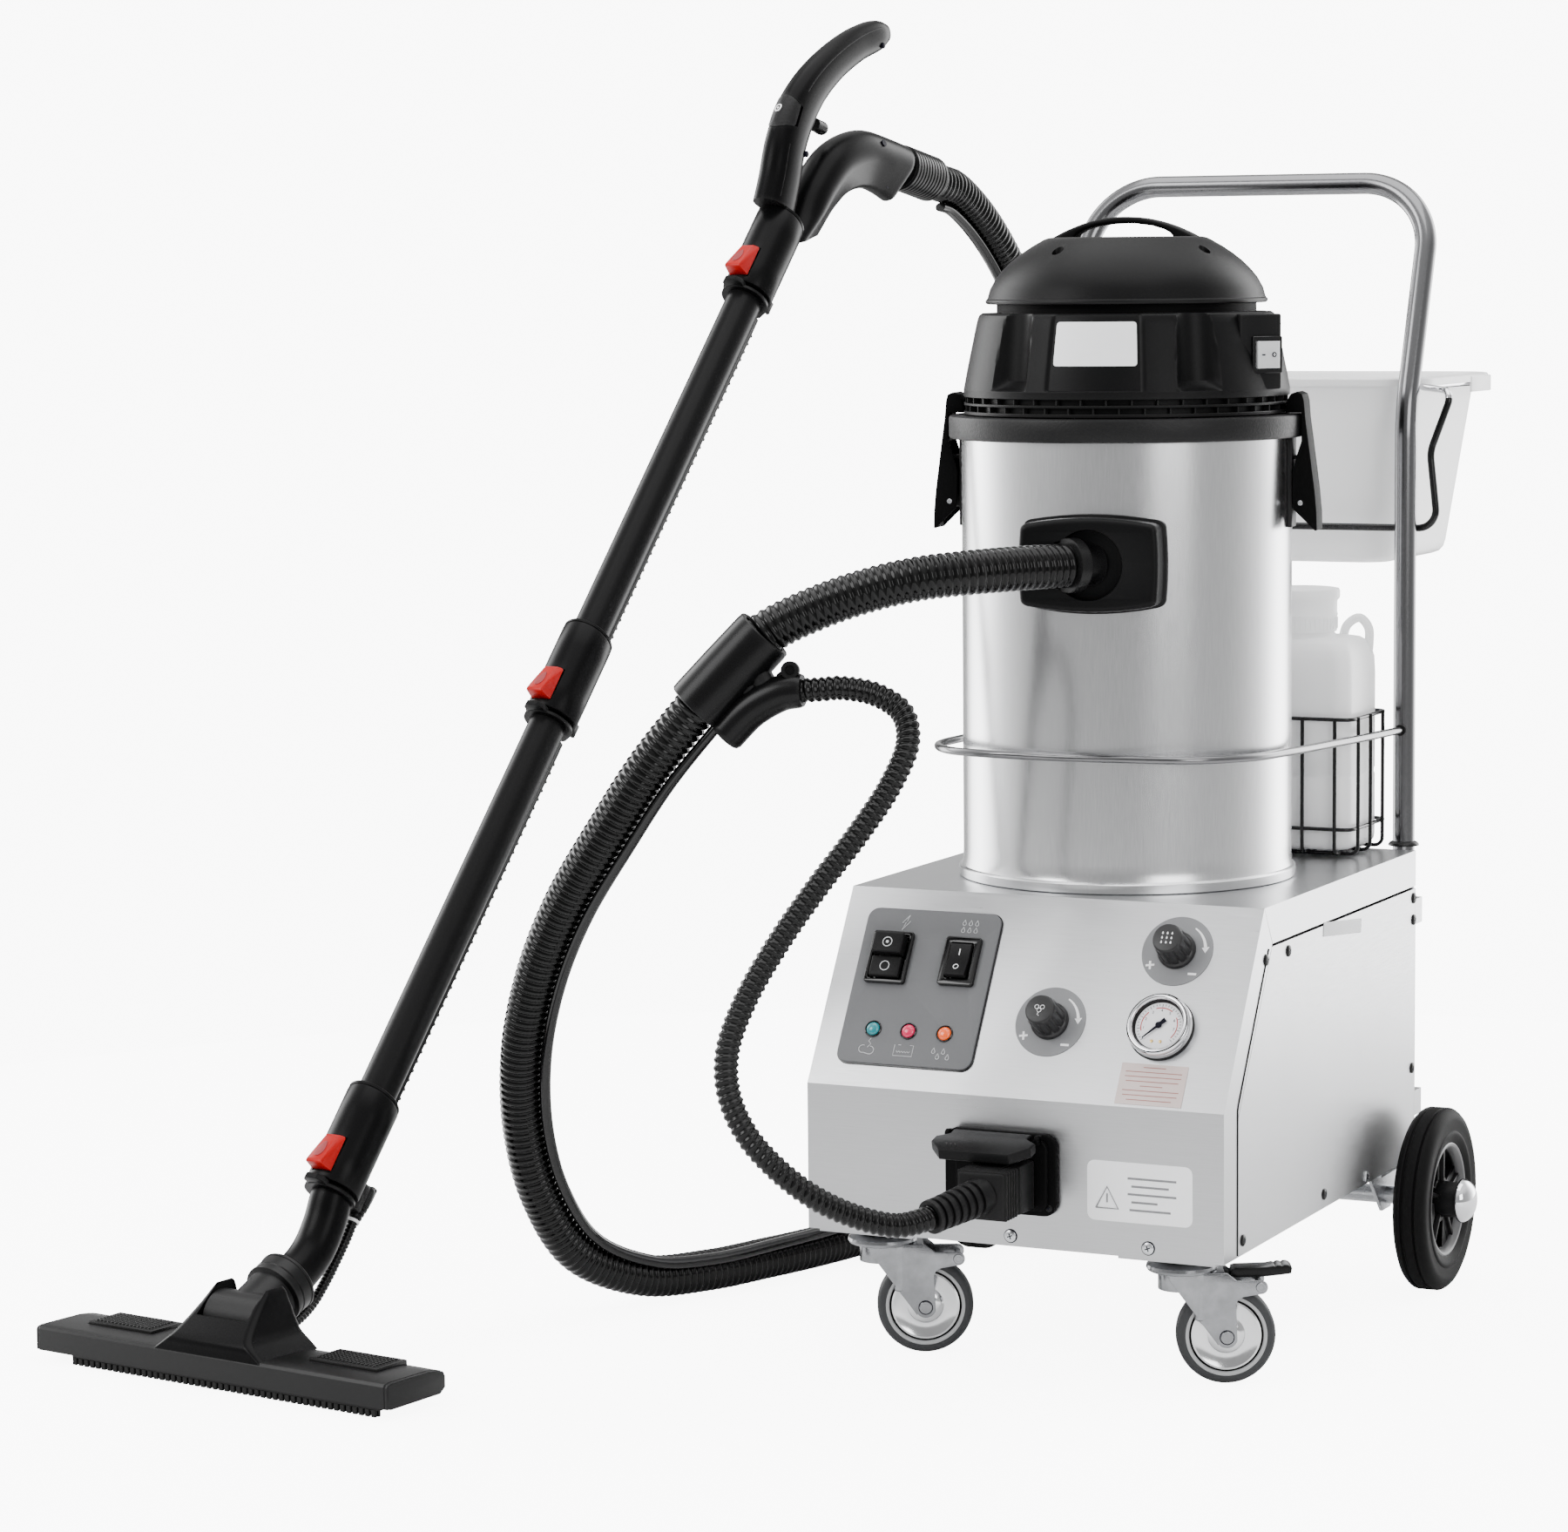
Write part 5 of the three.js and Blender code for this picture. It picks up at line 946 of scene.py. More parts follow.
def control_plate():
    plate = Shape()
    power = round_rect(POWER[0] - 18.5, POWER[0] + 18.5, POWER[1] - 24.5, POWER[1] + 24.5, 2)
    pump = round_rect(PUMP[0] - 12.5, PUMP[0] + 12.5, PUMP[1] - 19.5, PUMP[1] + 19.5, 2)
    plate.plate([round_rect(-201, -50.5, 25, 198, 12), power, pump], 0.4, 4, 0.7, 0)
    plate.plate([round_rect(-202, -49.3, 23.8, 199, 13), power, pump], 0.4, 1.6, 0.3, 1)
    plate.block(-186, -145, 115, 169, 0.4, 2.4, 0.3, 1)
    plate.block(-100, -72, 120, 164, 0.4, 2.4, 0.3, 1)
    for loop, (x, y), (w, h) in ((power, POWER, (23, 29)), (pump, PUMP, (20, 27))):
        plate.plate([round_rect(x - w, x + w, y - h, y + h, 3.4), loop], 3.6, 9, 1.5, 1, resolution=4)
    # printed signs: bolt and drops over the switches, cloud, tank and drops under the lamps
    bolt = [(3, 8), (-4, -1), (0, -0.5), (-3, -9), (5, 1.5), (1, 1), (3, 8)]
    stroke(plate, [(POWER[0] + 9 + x, 183 + y) for x, y in bolt], 4.1, 0.65, 2)
    for cx, cy in ((-7, 4), (0, 4), (7, 4), (-7, -4), (0, -4), (7, -4)):
        stroke(plate, drop(PUMP[0] + 2 + cx, 182 + cy, 3.4), 4.1, 0.6, 2)
    cloud = [polar(4.2, a, -6, 0) for a in range(70, 300, 20)]
    cloud += [(2 + 4.6 * math.cos(math.radians(a)), -1 + 4.4 * math.sin(math.radians(a)))
              for a in range(-110, 110, 20)]
    stroke(plate, [(-167 + x, 40 + y) for x, y in cloud], 4.1, 0.65, 2)
    stroke(plate, [(-168, 42), (-165, 46), (-168, 49), (-166, 52)], 4.1, 0.65, 2)
    stroke(plate, [(-138, 47), (-138, 35), (-117, 35), (-117, 47), (-121, 47)], 4.1, 0.65, 2)
    stroke(plate, [(-134, 47), (-131, 47)], 4.1, 0.65, 2)
    stroke(plate, [(-135 + i * 1.5, 39.5 + 0.8 * (-1) ** i) for i in range(11)], 4.1, 0.6, 2)
    for cx, cy in ((-8, 3), (-2.5, -3), (3, 3), (8.5, -3)):
        stroke(plate, drop(-86 + cx, 40 + cy, 3.4), 4.1, 0.6, 2)
    plate.piece("switch_plate", "machine", [GREY_PLATE, BLACK_GLOSS, PRINT_DIM], "control_plate",
                "grey_plate", at=ON_SLOPE, sharp=30)

    for name, x, material in LAMPS:
        lamp = Shape().turned([(0, 3.2), (9, 3.2), (9, 5.2), (8.2, 5.8), (7.8, 5.6), (7.4, 4.4), (0, 4.4)],
                              40, 1)
        dome = [(7.3 * math.cos(math.radians(a)), 4.4 + 4.2 * math.sin(math.radians(a)))
                for a in range(0, 90, 10)]
        lamp.turned([(0, 4.2), (7.3, 4.2), *dome, (0, 8.6)], 40, 0)
        lamp.piece(name, "machine", [material, BLACK_GLOSS], slot="red_plastic",
                   at=ON_SLOPE @ Matrix.Translation((x, 62.4, 0)))

    for name, low, high, top in (("power_on_button", 1, 23.4, 19), ("power_off_button", -23.4, -1, 13)):
        button = Shape().block(-16.5, 16.5, low, high, 6, top, 1.6, 0, segments=3)
        middle = (low + high) / 2
        button.plate([circle(0, middle, 5.4, 32), circle(0, middle, 4.6, 32)], top - 0.3, top + 0.25, 0.05, 1)
        if top > 15:
            button.turned([(0, top - 0.3), (1.6, top - 0.3), (1.6, top + 0.3), (0, top + 0.3)], 16, 1,
                          Matrix.Translation((0, middle, 0)))
        button.piece(name + "_cap", name, [BLACK, PRINT_DIM], name, "black_plastic",
                     at=ON_SLOPE @ Matrix.Translation((*POWER, 0)))

    rocker = Shape()
    side = [(-18, 6.6), (-18, 14.6), (-17.2, 15.3), (-16, 15.3), (0, 11.9), (16.8, 11.4), (18, 10.6),
            (18, 6.6), (0, 4.6)]
    rocker.plate([side], -11.5, 11.5, 0.7, 0, axes((0, 0, 0), (0, 1, 0), (0, 0, 1)))
    tilt = Matrix.Translation((0, -8.5, 13.75)) @ Matrix.Rotation(math.radians(-12), 4, "X")
    rocker.plate([circle(0, 0, 3, 24), circle(0, 0, 2.2, 24)], -0.4, 0.25, 0.05, 1, tilt)
    rocker.block(-0.5, 0.5, 5, 12, 11.3, 11.95, 0, 1)
    rocker.piece("pump_rocker_cap", "pump_rocker", [BLACK, PRINT], "pump_rocker", "black_plastic",
                 at=ON_SLOPE @ Matrix.Translation((*PUMP, 0)))


def dial(name, where):
    """Printed disc and fluted knob of one valve."""
    disc = Shape().turned([(0, 0.1), (37.8, 0.1), (37.8, 0.6), (37.5, 0.8), (0, 0.8)], 96, 0)
    arc = [math.radians(a) for a in range(60, 9, -5)]
    band = [((30.5 + 0.9 * k / 10) * math.cos(a), (30.5 + 0.9 * k / 10) * math.sin(a))
            for k, a in enumerate(arc)]
    inner = [((29 - 0.9 * k / 10) * math.cos(a), (29 - 0.9 * k / 10) * math.sin(a))
             for k, a in enumerate(arc)]
    disc.plate([band + inner[::-1]], 0.6, 1.0, 0.05, 1)
    tip = [polar(r, a) for r, a in ((34, 11), (26, 11), (30, -1))]
    disc.plate([tip], 0.6, 1.0, 0.05, 1)
    plus = Matrix.Translation((-26, -17, 0)) @ Matrix.Rotation(math.radians(8), 4, "Z")
    disc.block(-4.6, 4.6, -1.1, 1.1, 0.6, 1.0, 0, 1, plus)
    disc.block(-1.1, 1.1, -4.6, 4.6, 0.61, 1.01, 0, 1, plus)
    disc.block(16, 25, -25.2, -22.8, 0.6, 1.0, 0, 1)
    disc.piece(name.replace("knob", "dial"), "machine", [DISC_GREY, PRINT], slot="grey_plate",
               at=ON_SLOPE @ Matrix.Translation((*where, 0)))

    knob = Shape()
    heights = [(1.2, 19.6, 0), (1.6, 20, 0), (4.8, 20, 0), (6.2, 19.4, 0), (7.4, 17.6, 0), (9, 17.5, 0.4),
               (10, 17.5, 1), (26, 17.3, 1), (28, 16.9, 0.8), (30, 16.4, 0.35), (32.5, 15.9, 0.1),
               (34, 15.4, 0), (34.8, 14.6, 0), (35, 13.6, 0)]
    rings = []
    for z, r, depth in heights:
        ring = []
        for i in range(144):
            a = 2 * math.pi * i / 144
            groove = max(0, math.cos(12 * a)) ** 1.5
            ring.append(((r - 1.7 * depth * groove) * math.cos(a), (r - 1.7 * depth * groove) * math.sin(a),
                         z))
        rings.append(ring)
    knob.skin(rings)
    if name == "water_knob":
        for cx in (-5, 0, 5):
            for cy in (-5, 0, 5):
                knob.plate([drop(cx, cy, 1.7)[:-2]], 34.8, 35.25, 0.05, 1)
    else:
        for cx, cy in ((-3, 2), (3, 2), (0, -1.5)):
            stroke(knob, [polar(2.2, a, cx, cy)
                          for a in range(0, 361, 30)], 35.1, 0.6, 1)
        stroke(knob, [(0, -4), (-1.5, -6), (1, -7.5)], 35.1, 0.6, 1)
    knob.piece(name + "_grip", name, [DIAL_BLACK, PRINT], name, "black_plastic",
               at=ON_SLOPE @ Matrix.Translation((*where, 0)), sharp=40)


def number(shape, text, height, where, mark, at=None):
    """A small numeral for a dial, from the built-in font."""
    curve = bpy.data.curves.new("number", "FONT")
    curve.body, curve.size, curve.align_x, curve.align_y = text, height, "CENTER", "CENTER"
    curve.extrude = 0.08
    holder = bpy.data.objects.new("number", curve)
    made = bpy.data.meshes.new_from_object(holder)
    mesh = bmesh.new()
    mesh.from_mesh(made)
    bmesh.ops.remove_doubles(mesh, verts=mesh.verts, dist=0.001)
    bmesh.ops.translate(mesh, vec=where, verts=mesh.verts)
    bpy.data.objects.remove(holder)
    bpy.data.curves.remove(curve)
    bpy.data.meshes.remove(made)
    shape.take(mesh, mark, at)


def gauge():
    body = Shape().turned([(0, 0.4), (33.5, 0.4), (33.5, 3.4), (31.4, 4.2), (31.4, 8), (33.2, 8.8),
                           (33.5, 10), (33.3, 12.4), (32.2, 14.2), (30.6, 15), (29, 14.9), (27.7, 14.2),
                           (27.1, 13), (27, 11.6)], 96, 0)
    body.turned([(27, 11.7), (26.2, 7.6), (26, 8), (0, 8)], 96, 2)
    body.turned([(27.3, 12.6), (27, 12.4), (24.9, 8.05), (26.2, 8.05), (27.3, 12.6)], 96, 1)
    for k in range(33):
        a = math.radians(225 - 270 * k / 32)
        long = 3.2 if k % 4 == 0 else 1.8
        turn = Matrix.Rotation(a, 4, "Z")
        body.block(23.2 - long, 23.2, -0.24, 0.24, 7.9, 8.25, 0, 3, turn)
        if k % 4 == 0 and 0 < k < 32:
            number(body, str(k // 4), 4.2, (16.4 * math.cos(a), 16.4 * math.sin(a), 8.15), 3)
    for first, last in ((200, 130), (110, 50), (30, -45)):
        body.tube([(19.2 * math.cos(math.radians(a)), 19.2 * math.sin(math.radians(a)), 8.0)
                   for a in range(first, last, -5)], 0.55, 6, 4)
    for x in (-4.6, 4.6):
        body.turned([(0, 8), (1.7, 8), (1.6, 8.7), (0, 9)], 16, 5, Matrix.Translation((x, -17, 0)))
    # painted reflection: a black ring on the bezel's top stands in for the dark band that the chrome reflects
    body.turned([(30.2, 14.9), (31.6, 15), (31.9, 14.6), (30.2, 14.5), (30.2, 14.9)], 96, 1)
    # painted shadow: a black ring round the foot of the case stands in for the shadow line where it meets the
    # sheet
    body.turned([(33.4, 0.3), (34.6, 0.3), (34.6, 1.2), (33.4, 1.6), (33.4, 0.3)], 96, 1)
    place = ON_SLOPE @ Matrix.Translation((*GAUGE, 0))
    body.piece("gauge_case", "machine", [CHROME, BLACK_FINE, DIAL_WHITE, NEEDLE, DIAL_RED, BRASS],
               "gauge_body", "chrome", at=place, sharp=40)
    needle = Shape().plate([[(-1.5, 0), (-0.4, 21), (0.4, 21), (1.5, 0), (2.6, -9), (-2.6, -9)]], 9.8, 10.6,
                           0.1)
    needle.turned([(0, 9), (3.2, 9), (3.2, 11), (2.2, 12), (0, 12)], 24)
    needle.piece("gauge_hand", "gauge_needle", NEEDLE, "gauge_needle", "black_plastic",
                 at=place @ Matrix.Rotation(math.radians(135), 4, "Z"))


# ---- steam socket ----
SOCKET_X, SOCKET_Z = -9, 211


def steam_socket():
    at = Matrix.Translation((SOCKET_X, 0, SOCKET_Z)) @ FACING_FRONT
    mouth = round_rect(14 - 24, 14 + 24, -8 - 21, -8 + 21, 2)
    body = Shape().plate([round_rect(-61, 61, -42, 42, 14), mouth], 0.4, 8, 1.6, 0, at, 3)
    body.plate([round_rect(-47, 53, -36, 36, 9), mouth], 6, 14, 2, 0, at, 3)
    body.block(SOCKET_X - 12, SOCKET_X + 40, -6, -0.6, SOCKET_Z - 31, SOCKET_Z + 15, 0.5)
    for x in (-53, 57):
        for z in (-33, 33):
            if (x, z) != (57, 33):
                screw_head(body, (SOCKET_X + x * 0.93, -7.8, SOCKET_Z + z), (0, -1, 0), 3.6, 1, 2)
    for side in (-1, 1):
        low, high = sorted((-12 + side * 46.4, -12 + side * 51))
        pin(body, (low, -20, 249), (1, 0, 0), 5, high - low)
        body.block(low, high, -20, -12, 245, 253, 1)
    body.piece("socket_housing", "machine", [MATT_BLACK, BLACK_FINE, NEEDLE], "steam_socket", "black_plastic")

    lid = Shape()
    edge = [(-42, 0), (42, 0), (42, -9), (44, -11), (54, -18), (54, -30), (38, -50), (-38, -50), (-54, -30),
            (-54, -18), (-44, -11), (-42, -9)]
    lid.plate([edge[::-1]], -5.5, 5.5, 1.6, 0, resolution=3)
    for k in range(3):
        slant = Matrix.Translation((-34 + 4.5 * k, -36, 5.3)) @ Matrix.Rotation(math.radians(30), 4, "Z")
        lid.block(-0.7, 0.7, -4, 4, -0.4, 0.5, 0.2, 0, slant)
    pin(lid, (-42, 0, 0), (1, 0, 0), 5, 84)
    lid.piece("socket_cover", "socket_lid", POLE_BLACK, "socket_lid", "black_plastic",
              at=Matrix.Translation((-12, -20, 249)) @ Matrix.Rotation(math.radians(14), 4, "X"))


# ---- handle, hoop, bucket, basket and bottle ----
HANDLE_X, HANDLE_Y, HANDLE_R = 202, 640, 12
BUCKET_HALF, BUCKET_TOP_HALF, BUCKET_Y, BUCKET_TOP_Y, BUCKET_Z = 165, 196, (690, 921), (672, 946), (785, 993)
BASKET_X, BASKET_Y, BASKET_Z = (38, 187), (503, 622), (481, 508, 628)


def push_handle():
    path = bent_path([(-HANDLE_X, HANDLE_Y, 150), (-HANDLE_X, HANDLE_Y, 955), (-HANDLE_X, 733, 1208),
                      (HANDLE_X, 733, 1208), (HANDLE_X, HANDLE_Y, 955), (HANDLE_X, HANDLE_Y, 150)],
                     [160, 80, 80, 160])
    bar = Shape().tube(path, HANDLE_R, 40)
    bar.piece("handle_bar", "machine", TUBE_STEEL, "push_handle", "steel_tube", sharp=50)

    fittings = Shape()
    for side in (-1, 1):
        pin(fittings, (side * HANDLE_X, 628.6, 606), (side * 0.03, -1, 0), 6.4, 4, 0)
        fittings.turned([(12.1, 476.4), (17, 476.4), (17, 478), (15.4, 480), (12.4, 481.5), (12.1, 476.4)],
                        40, 0, Matrix.Translation((side * HANDLE_X, HANDLE_Y, 0)))
        for z in (190, 405):
            for dx in (-15.5, 15.5):
                screw_head(fittings, (side * HANDLE_X + dx, 646, z), (0, 1, 0), 3.4, 1, 2)
    fittings.piece("handle_fittings", "machine", [BLACK_FINE, ZINC, NEEDLE], slot="black_plastic")

    half = [(-202, 627.6, 606), (-197, 520, 608), (-191, 400, 611), (-187, 300, 614), (-175, 218, 616),
            (-136, 164, 617), (-76, 140, 618)]
    hoop = half + [(0, 134, 618)] + [(-x, y, z) for x, y, z in reversed(half)]
    Shape().tube(smooth_path(hoop, 9), 4.2, 24).piece("guard_hoop", "machine", TUBE_STEEL, "can_hoop",
                                                      "steel_tube", sharp=50)


def bucket():
    def ring(inset, z, grow, radius):
        half = BUCKET_HALF + (BUCKET_TOP_HALF - BUCKET_HALF) * grow - inset
        front = BUCKET_Y[0] + (BUCKET_TOP_Y[0] - BUCKET_Y[0]) * grow + inset
        back = BUCKET_Y[1] + (BUCKET_TOP_Y[1] - BUCKET_Y[1]) * grow - inset
        return [(x, y, z) for x, y in round_rect(-half, half, front, back, radius, 10)]

    def lip(out, z):
        return [(x, y, z) for x, y in round_rect(-BUCKET_TOP_HALF - out, BUCKET_TOP_HALF + out,
                                                 BUCKET_TOP_Y[0] + 11 - out, BUCKET_TOP_Y[1] - 2 + out,
                                                 34 + out, 10)]

    z0, z1 = BUCKET_Z
    rings = [ring(16, z0, 0, 25), ring(11, z0 + 0.3, 0, 28), ring(4.5, z0 + 3, 0.02, 31),
             ring(1, z0 + 8, 0.04, 33), ring(0, z0 + 16, 0.08, 34)]
    rings += [ring(0, z0 + 16 + (z1 - 26 - z0) * k / 6, 0.08 + 0.87 * k / 6, 34 + 7 * k / 6)
              for k in range(1, 7)]
    rings += [ring(-1.6, z1 - 8, 0.96, 42), lip(8, z1 - 6), lip(11.6, z1 - 6.4), lip(12, z1 - 9.6),
              lip(13.4, z1 - 9.8), lip(14, z1 - 8.6), lip(14, z1 - 2), lip(12.6, z1 - 0.5), lip(9, z1),
              lip(1, z1 - 0.4), ring(2.2, z1 - 2.5, 0.99, 40)]
    rings += [ring(3, z0 + 20 + (z1 - 30 - z0) * k / 6, 0.1 + 0.85 * k / 6, 31 + 7 * k / 6)
              for k in range(6, -1, -1)]
    rings += [ring(4, z0 + 11, 0.05, 29), ring(8, z0 + 5.6, 0.02, 27), ring(14, z0 + 3.4, 0, 24),
              ring(19, z0 + 3, 0, 22)]
    made = Shape().skin(rings)
    for side in (-1, 1):
        low, high = sorted((side * 208.4, side * 211))
        made.block(low, high, 852, 926, z1 - 21, z1 - 3, 1.2, segments=3)
    made.piece("mop_bucket", "bucket", MILKY, "bucket", "milky_plastic", sharp=40)

    y = HANDLE_Y + HANDLE_R + 4
    x, z = BUCKET_TOP_HALF + 7, z1 - 10.5
    half = [(x, BUCKET_TOP_Y[1] - 8, z), (x, 690, z), (250, y, z - 4), (225, y, 912), (234, y, 828)]
    route = bent_path(half + [(-a, b, c) for a, b, c in reversed(half)], [14, 12, 40, 20, 20, 40, 12, 14], 3)
    bare = [k for k, point in enumerate(route) if point[2] < z - 12]
    cradle = Shape().tube(route[bare[0] - 1:bare[-1] + 2], 4, 20)
    cradle.tube(route[:bare[0] + 1], 4, 20, 1)
    cradle.tube(route[bare[-1]:], 4, 20, 1)
    cradle.piece("bucket_wire", "machine", [WIRE, CHROME], "bucket_cradle", "black_wire", sharp=50)


def basket():
    (x0, x1), (y0, y1), (z0, low, top) = BASKET_X, BASKET_Y, BASKET_Z
    r = 2.1
    wires = Shape()
    for z in (low, top):
        loop = [(x, y, z) for x, y in round_rect(x0, x1, y0, y1, 12, 8)]
        wires.tube(loop + loop[:1], r, 12)
    for x in (x0 + 18, x0 + 55, x0 + 94, x1 - 18):
        wires.tube(bent_path([(x, y0 - r, top + 2), (x, y0 - r, z0), (x, y1 + r, z0), (x, y1 + r, top + 2)],
                             [9, 9], 3), r, 12)
    for y in (y0 + 18, (y0 + y1) / 2, y1 - 18):
        wires.tube(bent_path([(x0 - r, y, top + 2), (x0 - r, y, z0 - 1), (x1 + r, y, z0 - 1),
                              (x1 + r, y, top + 2)], [9, 9], 3), r, 12)
    wires.piece("basket_wires", "machine", WIRE, "bottle_basket", "black_wire", sharp=50)

    def ring(inset, z, radius):
        return [(x, y, z) for x, y in round_rect(x0 + 6 + inset, x1 - 6 - inset, y0 + 5 + inset,
                                                 y1 - 5 - inset, radius, 8)]

    base, shoulder = z0 + r + 1, 712
    bottle = Shape().skin([ring(9, base + 2, 12), ring(7, base, 14), ring(4, base + 0.6, 15),
                           ring(1, base + 4, 17), ring(0, base + 9, 18), ring(0, 560, 18),
                           ring(0.8, 562, 18), ring(0.8, 566, 18), ring(0, 568, 18), ring(0, 672, 18),
                           ring(0.8, 690, 18), ring(3, 700, 19), ring(7, 708, 21), ring(12, shoulder, 22),
                           ring(22, shoulder + 2, 20)])
    middle = Matrix.Translation((x0 + 68, (y0 + y1) / 2, 0))
    bottle.turned([(0, shoulder - 4), (42, shoulder - 4), (41, shoulder + 3), (39.4, shoulder + 5),
                   (39.4, shoulder + 8), (0, shoulder + 8)], 64, 0, middle)
    bottle.turned([(0, 719), (41.4, 719), (42, 721), (41.8, 735), (42.6, 736.4), (42.6, 738), (41.8, 739.4),
                   (42, 752), (44.4, 755), (45, 757), (45, 763), (44, 765.4), (41, 766), (36, 765),
                   (0, 765)], 96, 1, middle)
    for k in range(48):
        bottle.block(41.2, 42.9, -0.5, 0.5, 722, 734, 0.2, 1, middle @ Matrix.Rotation(2 * math.pi * k / 48,
                4, "Z"), 1)
    x, y = x1 - 6, y1 - 27
    bottle.tube(smooth_path([(x - 36, y, shoulder - 6), (x - 30, y, shoulder + 12),
                             (x - 16, y, shoulder + 20), (x - 6, y, shoulder + 10),
                             (x - 5, y, shoulder - 8), (x - 7, y, shoulder - 24)], 3), 5, 20)
    bottle.piece("jerry_bottle", "detergent_bottle", [MILKY, MILKY_CAP], "detergent_bottle",
                 "milky_plastic", sharp=40)


# ---- rear wheels ----
REAR_Y, REAR_R = 551, 100


def rear_wheels():
    axle = Shape()
    pin(axle, (-300, REAR_Y, REAR_R), (1, 0, 0), 10, 600)
    for side in (-1, 1):
        hanger = [(REAR_Y - 62, 133.6), (REAR_Y - 14, 84), (REAR_Y + 14, 84), (REAR_Y + 44, 133.6)]
        axle.plate([hanger[::-1]], -2, 2, 0.5, 0, axes((side * 212, 0, 0), (0, 1, 0), (0, 0, 1)))
        axle.block(side * 212 - 16, side * 212 + 16, REAR_Y - 62, REAR_Y + 44, 130.6, 133.6, 0.5)
        cap = [(0, 298), (23, 298), (24, 298.6), (24, 301), (23.4, 303.6), (21.4, 307), (18, 310.4),
               (13.6, 313), (8, 314.8), (0, 315.5)]
        axle.turned(cap, 48, 1, upright((0, REAR_Y, REAR_R), (side, 0, 0)))
    axle.piece("rear_axle_assembly", "machine", [ZINC, CHROME], "rear_axle", "zinc")

    half = [(62, 15), (64, 16.4), (69, 18), (71, 18.8), (73.6, 18.8), (75, 17.8), (84, 18.4), (87, 19),
            (91, 18.4), (95, 16.6), (98, 13.6), (99.4, 11.4), (100, 9.4), (100, 8.6), (98.2, 7.8),
            (98, 6.2), (99.8, 5.2), (100, 4.4)]
    tyre = [(r, -h) for r, h in half] + [(r, h) for r, h in reversed(half)] + [(62, -15)]
    rim = [(55, -7), (56, -12), (58.4, -15.2), (60.6, -15.8), (62.3, -15), (62.3, 15), (60.6, 15.8),
           (58.4, 15.2), (56, 12), (55, 7), (55, -7)]
    windows = []
    for k in range(5):
        turn = math.radians(72 * k)
        outer = [(54 * math.cos(turn + math.radians(a)), 54 * math.sin(turn + math.radians(a)))
                 for a in range(-24, 25, 6)]
        inner = [(26 * math.cos(turn + math.radians(a)), 26 * math.sin(turn + math.radians(a)))
                 for a in range(14, -15, -7)]
        windows.append(outer + inner)
    for name, side in (("rear_wheel_left", -1), ("rear_wheel_right", 1)):
        wheel = Shape().turned(tyre, 128, 0).turned(rim, 96, 1)
        wheel.plate([circle(0, 0, 57, 96), *windows, circle(0, 0, 15, 32)], -7, 7, 1.6, 2)
        for k in range(5):
            turn = Matrix.Rotation(math.radians(72 * k + 36), 4, "Z")
            wheel.block(16, 56, -2.2, 2.2, -10.5, 10.5, 0.8, 2, turn)
        wheel.turned([(10.7, -27), (18.4, -27), (19, -26), (20, -7), (20, 7), (19, 27), (18.4, 28),
                      (10.7, 28), (10.7, -27)], 48, 2)
        wheel.piece(name + "_tyre", name, [TYRE, HUB_DARK, BLACK], name, "tyre", sharp=36,
                    at=Matrix.Translation((side * 269, REAR_Y, REAR_R))
                    @ Matrix.Rotation(side * math.pi / 2, 4, "Y"))


# ---- casters: x along the trail, y across ----
CASTER_X, CASTER_Y, CASTER_TURN, TRAIL = 165.5, 47, 25, 44


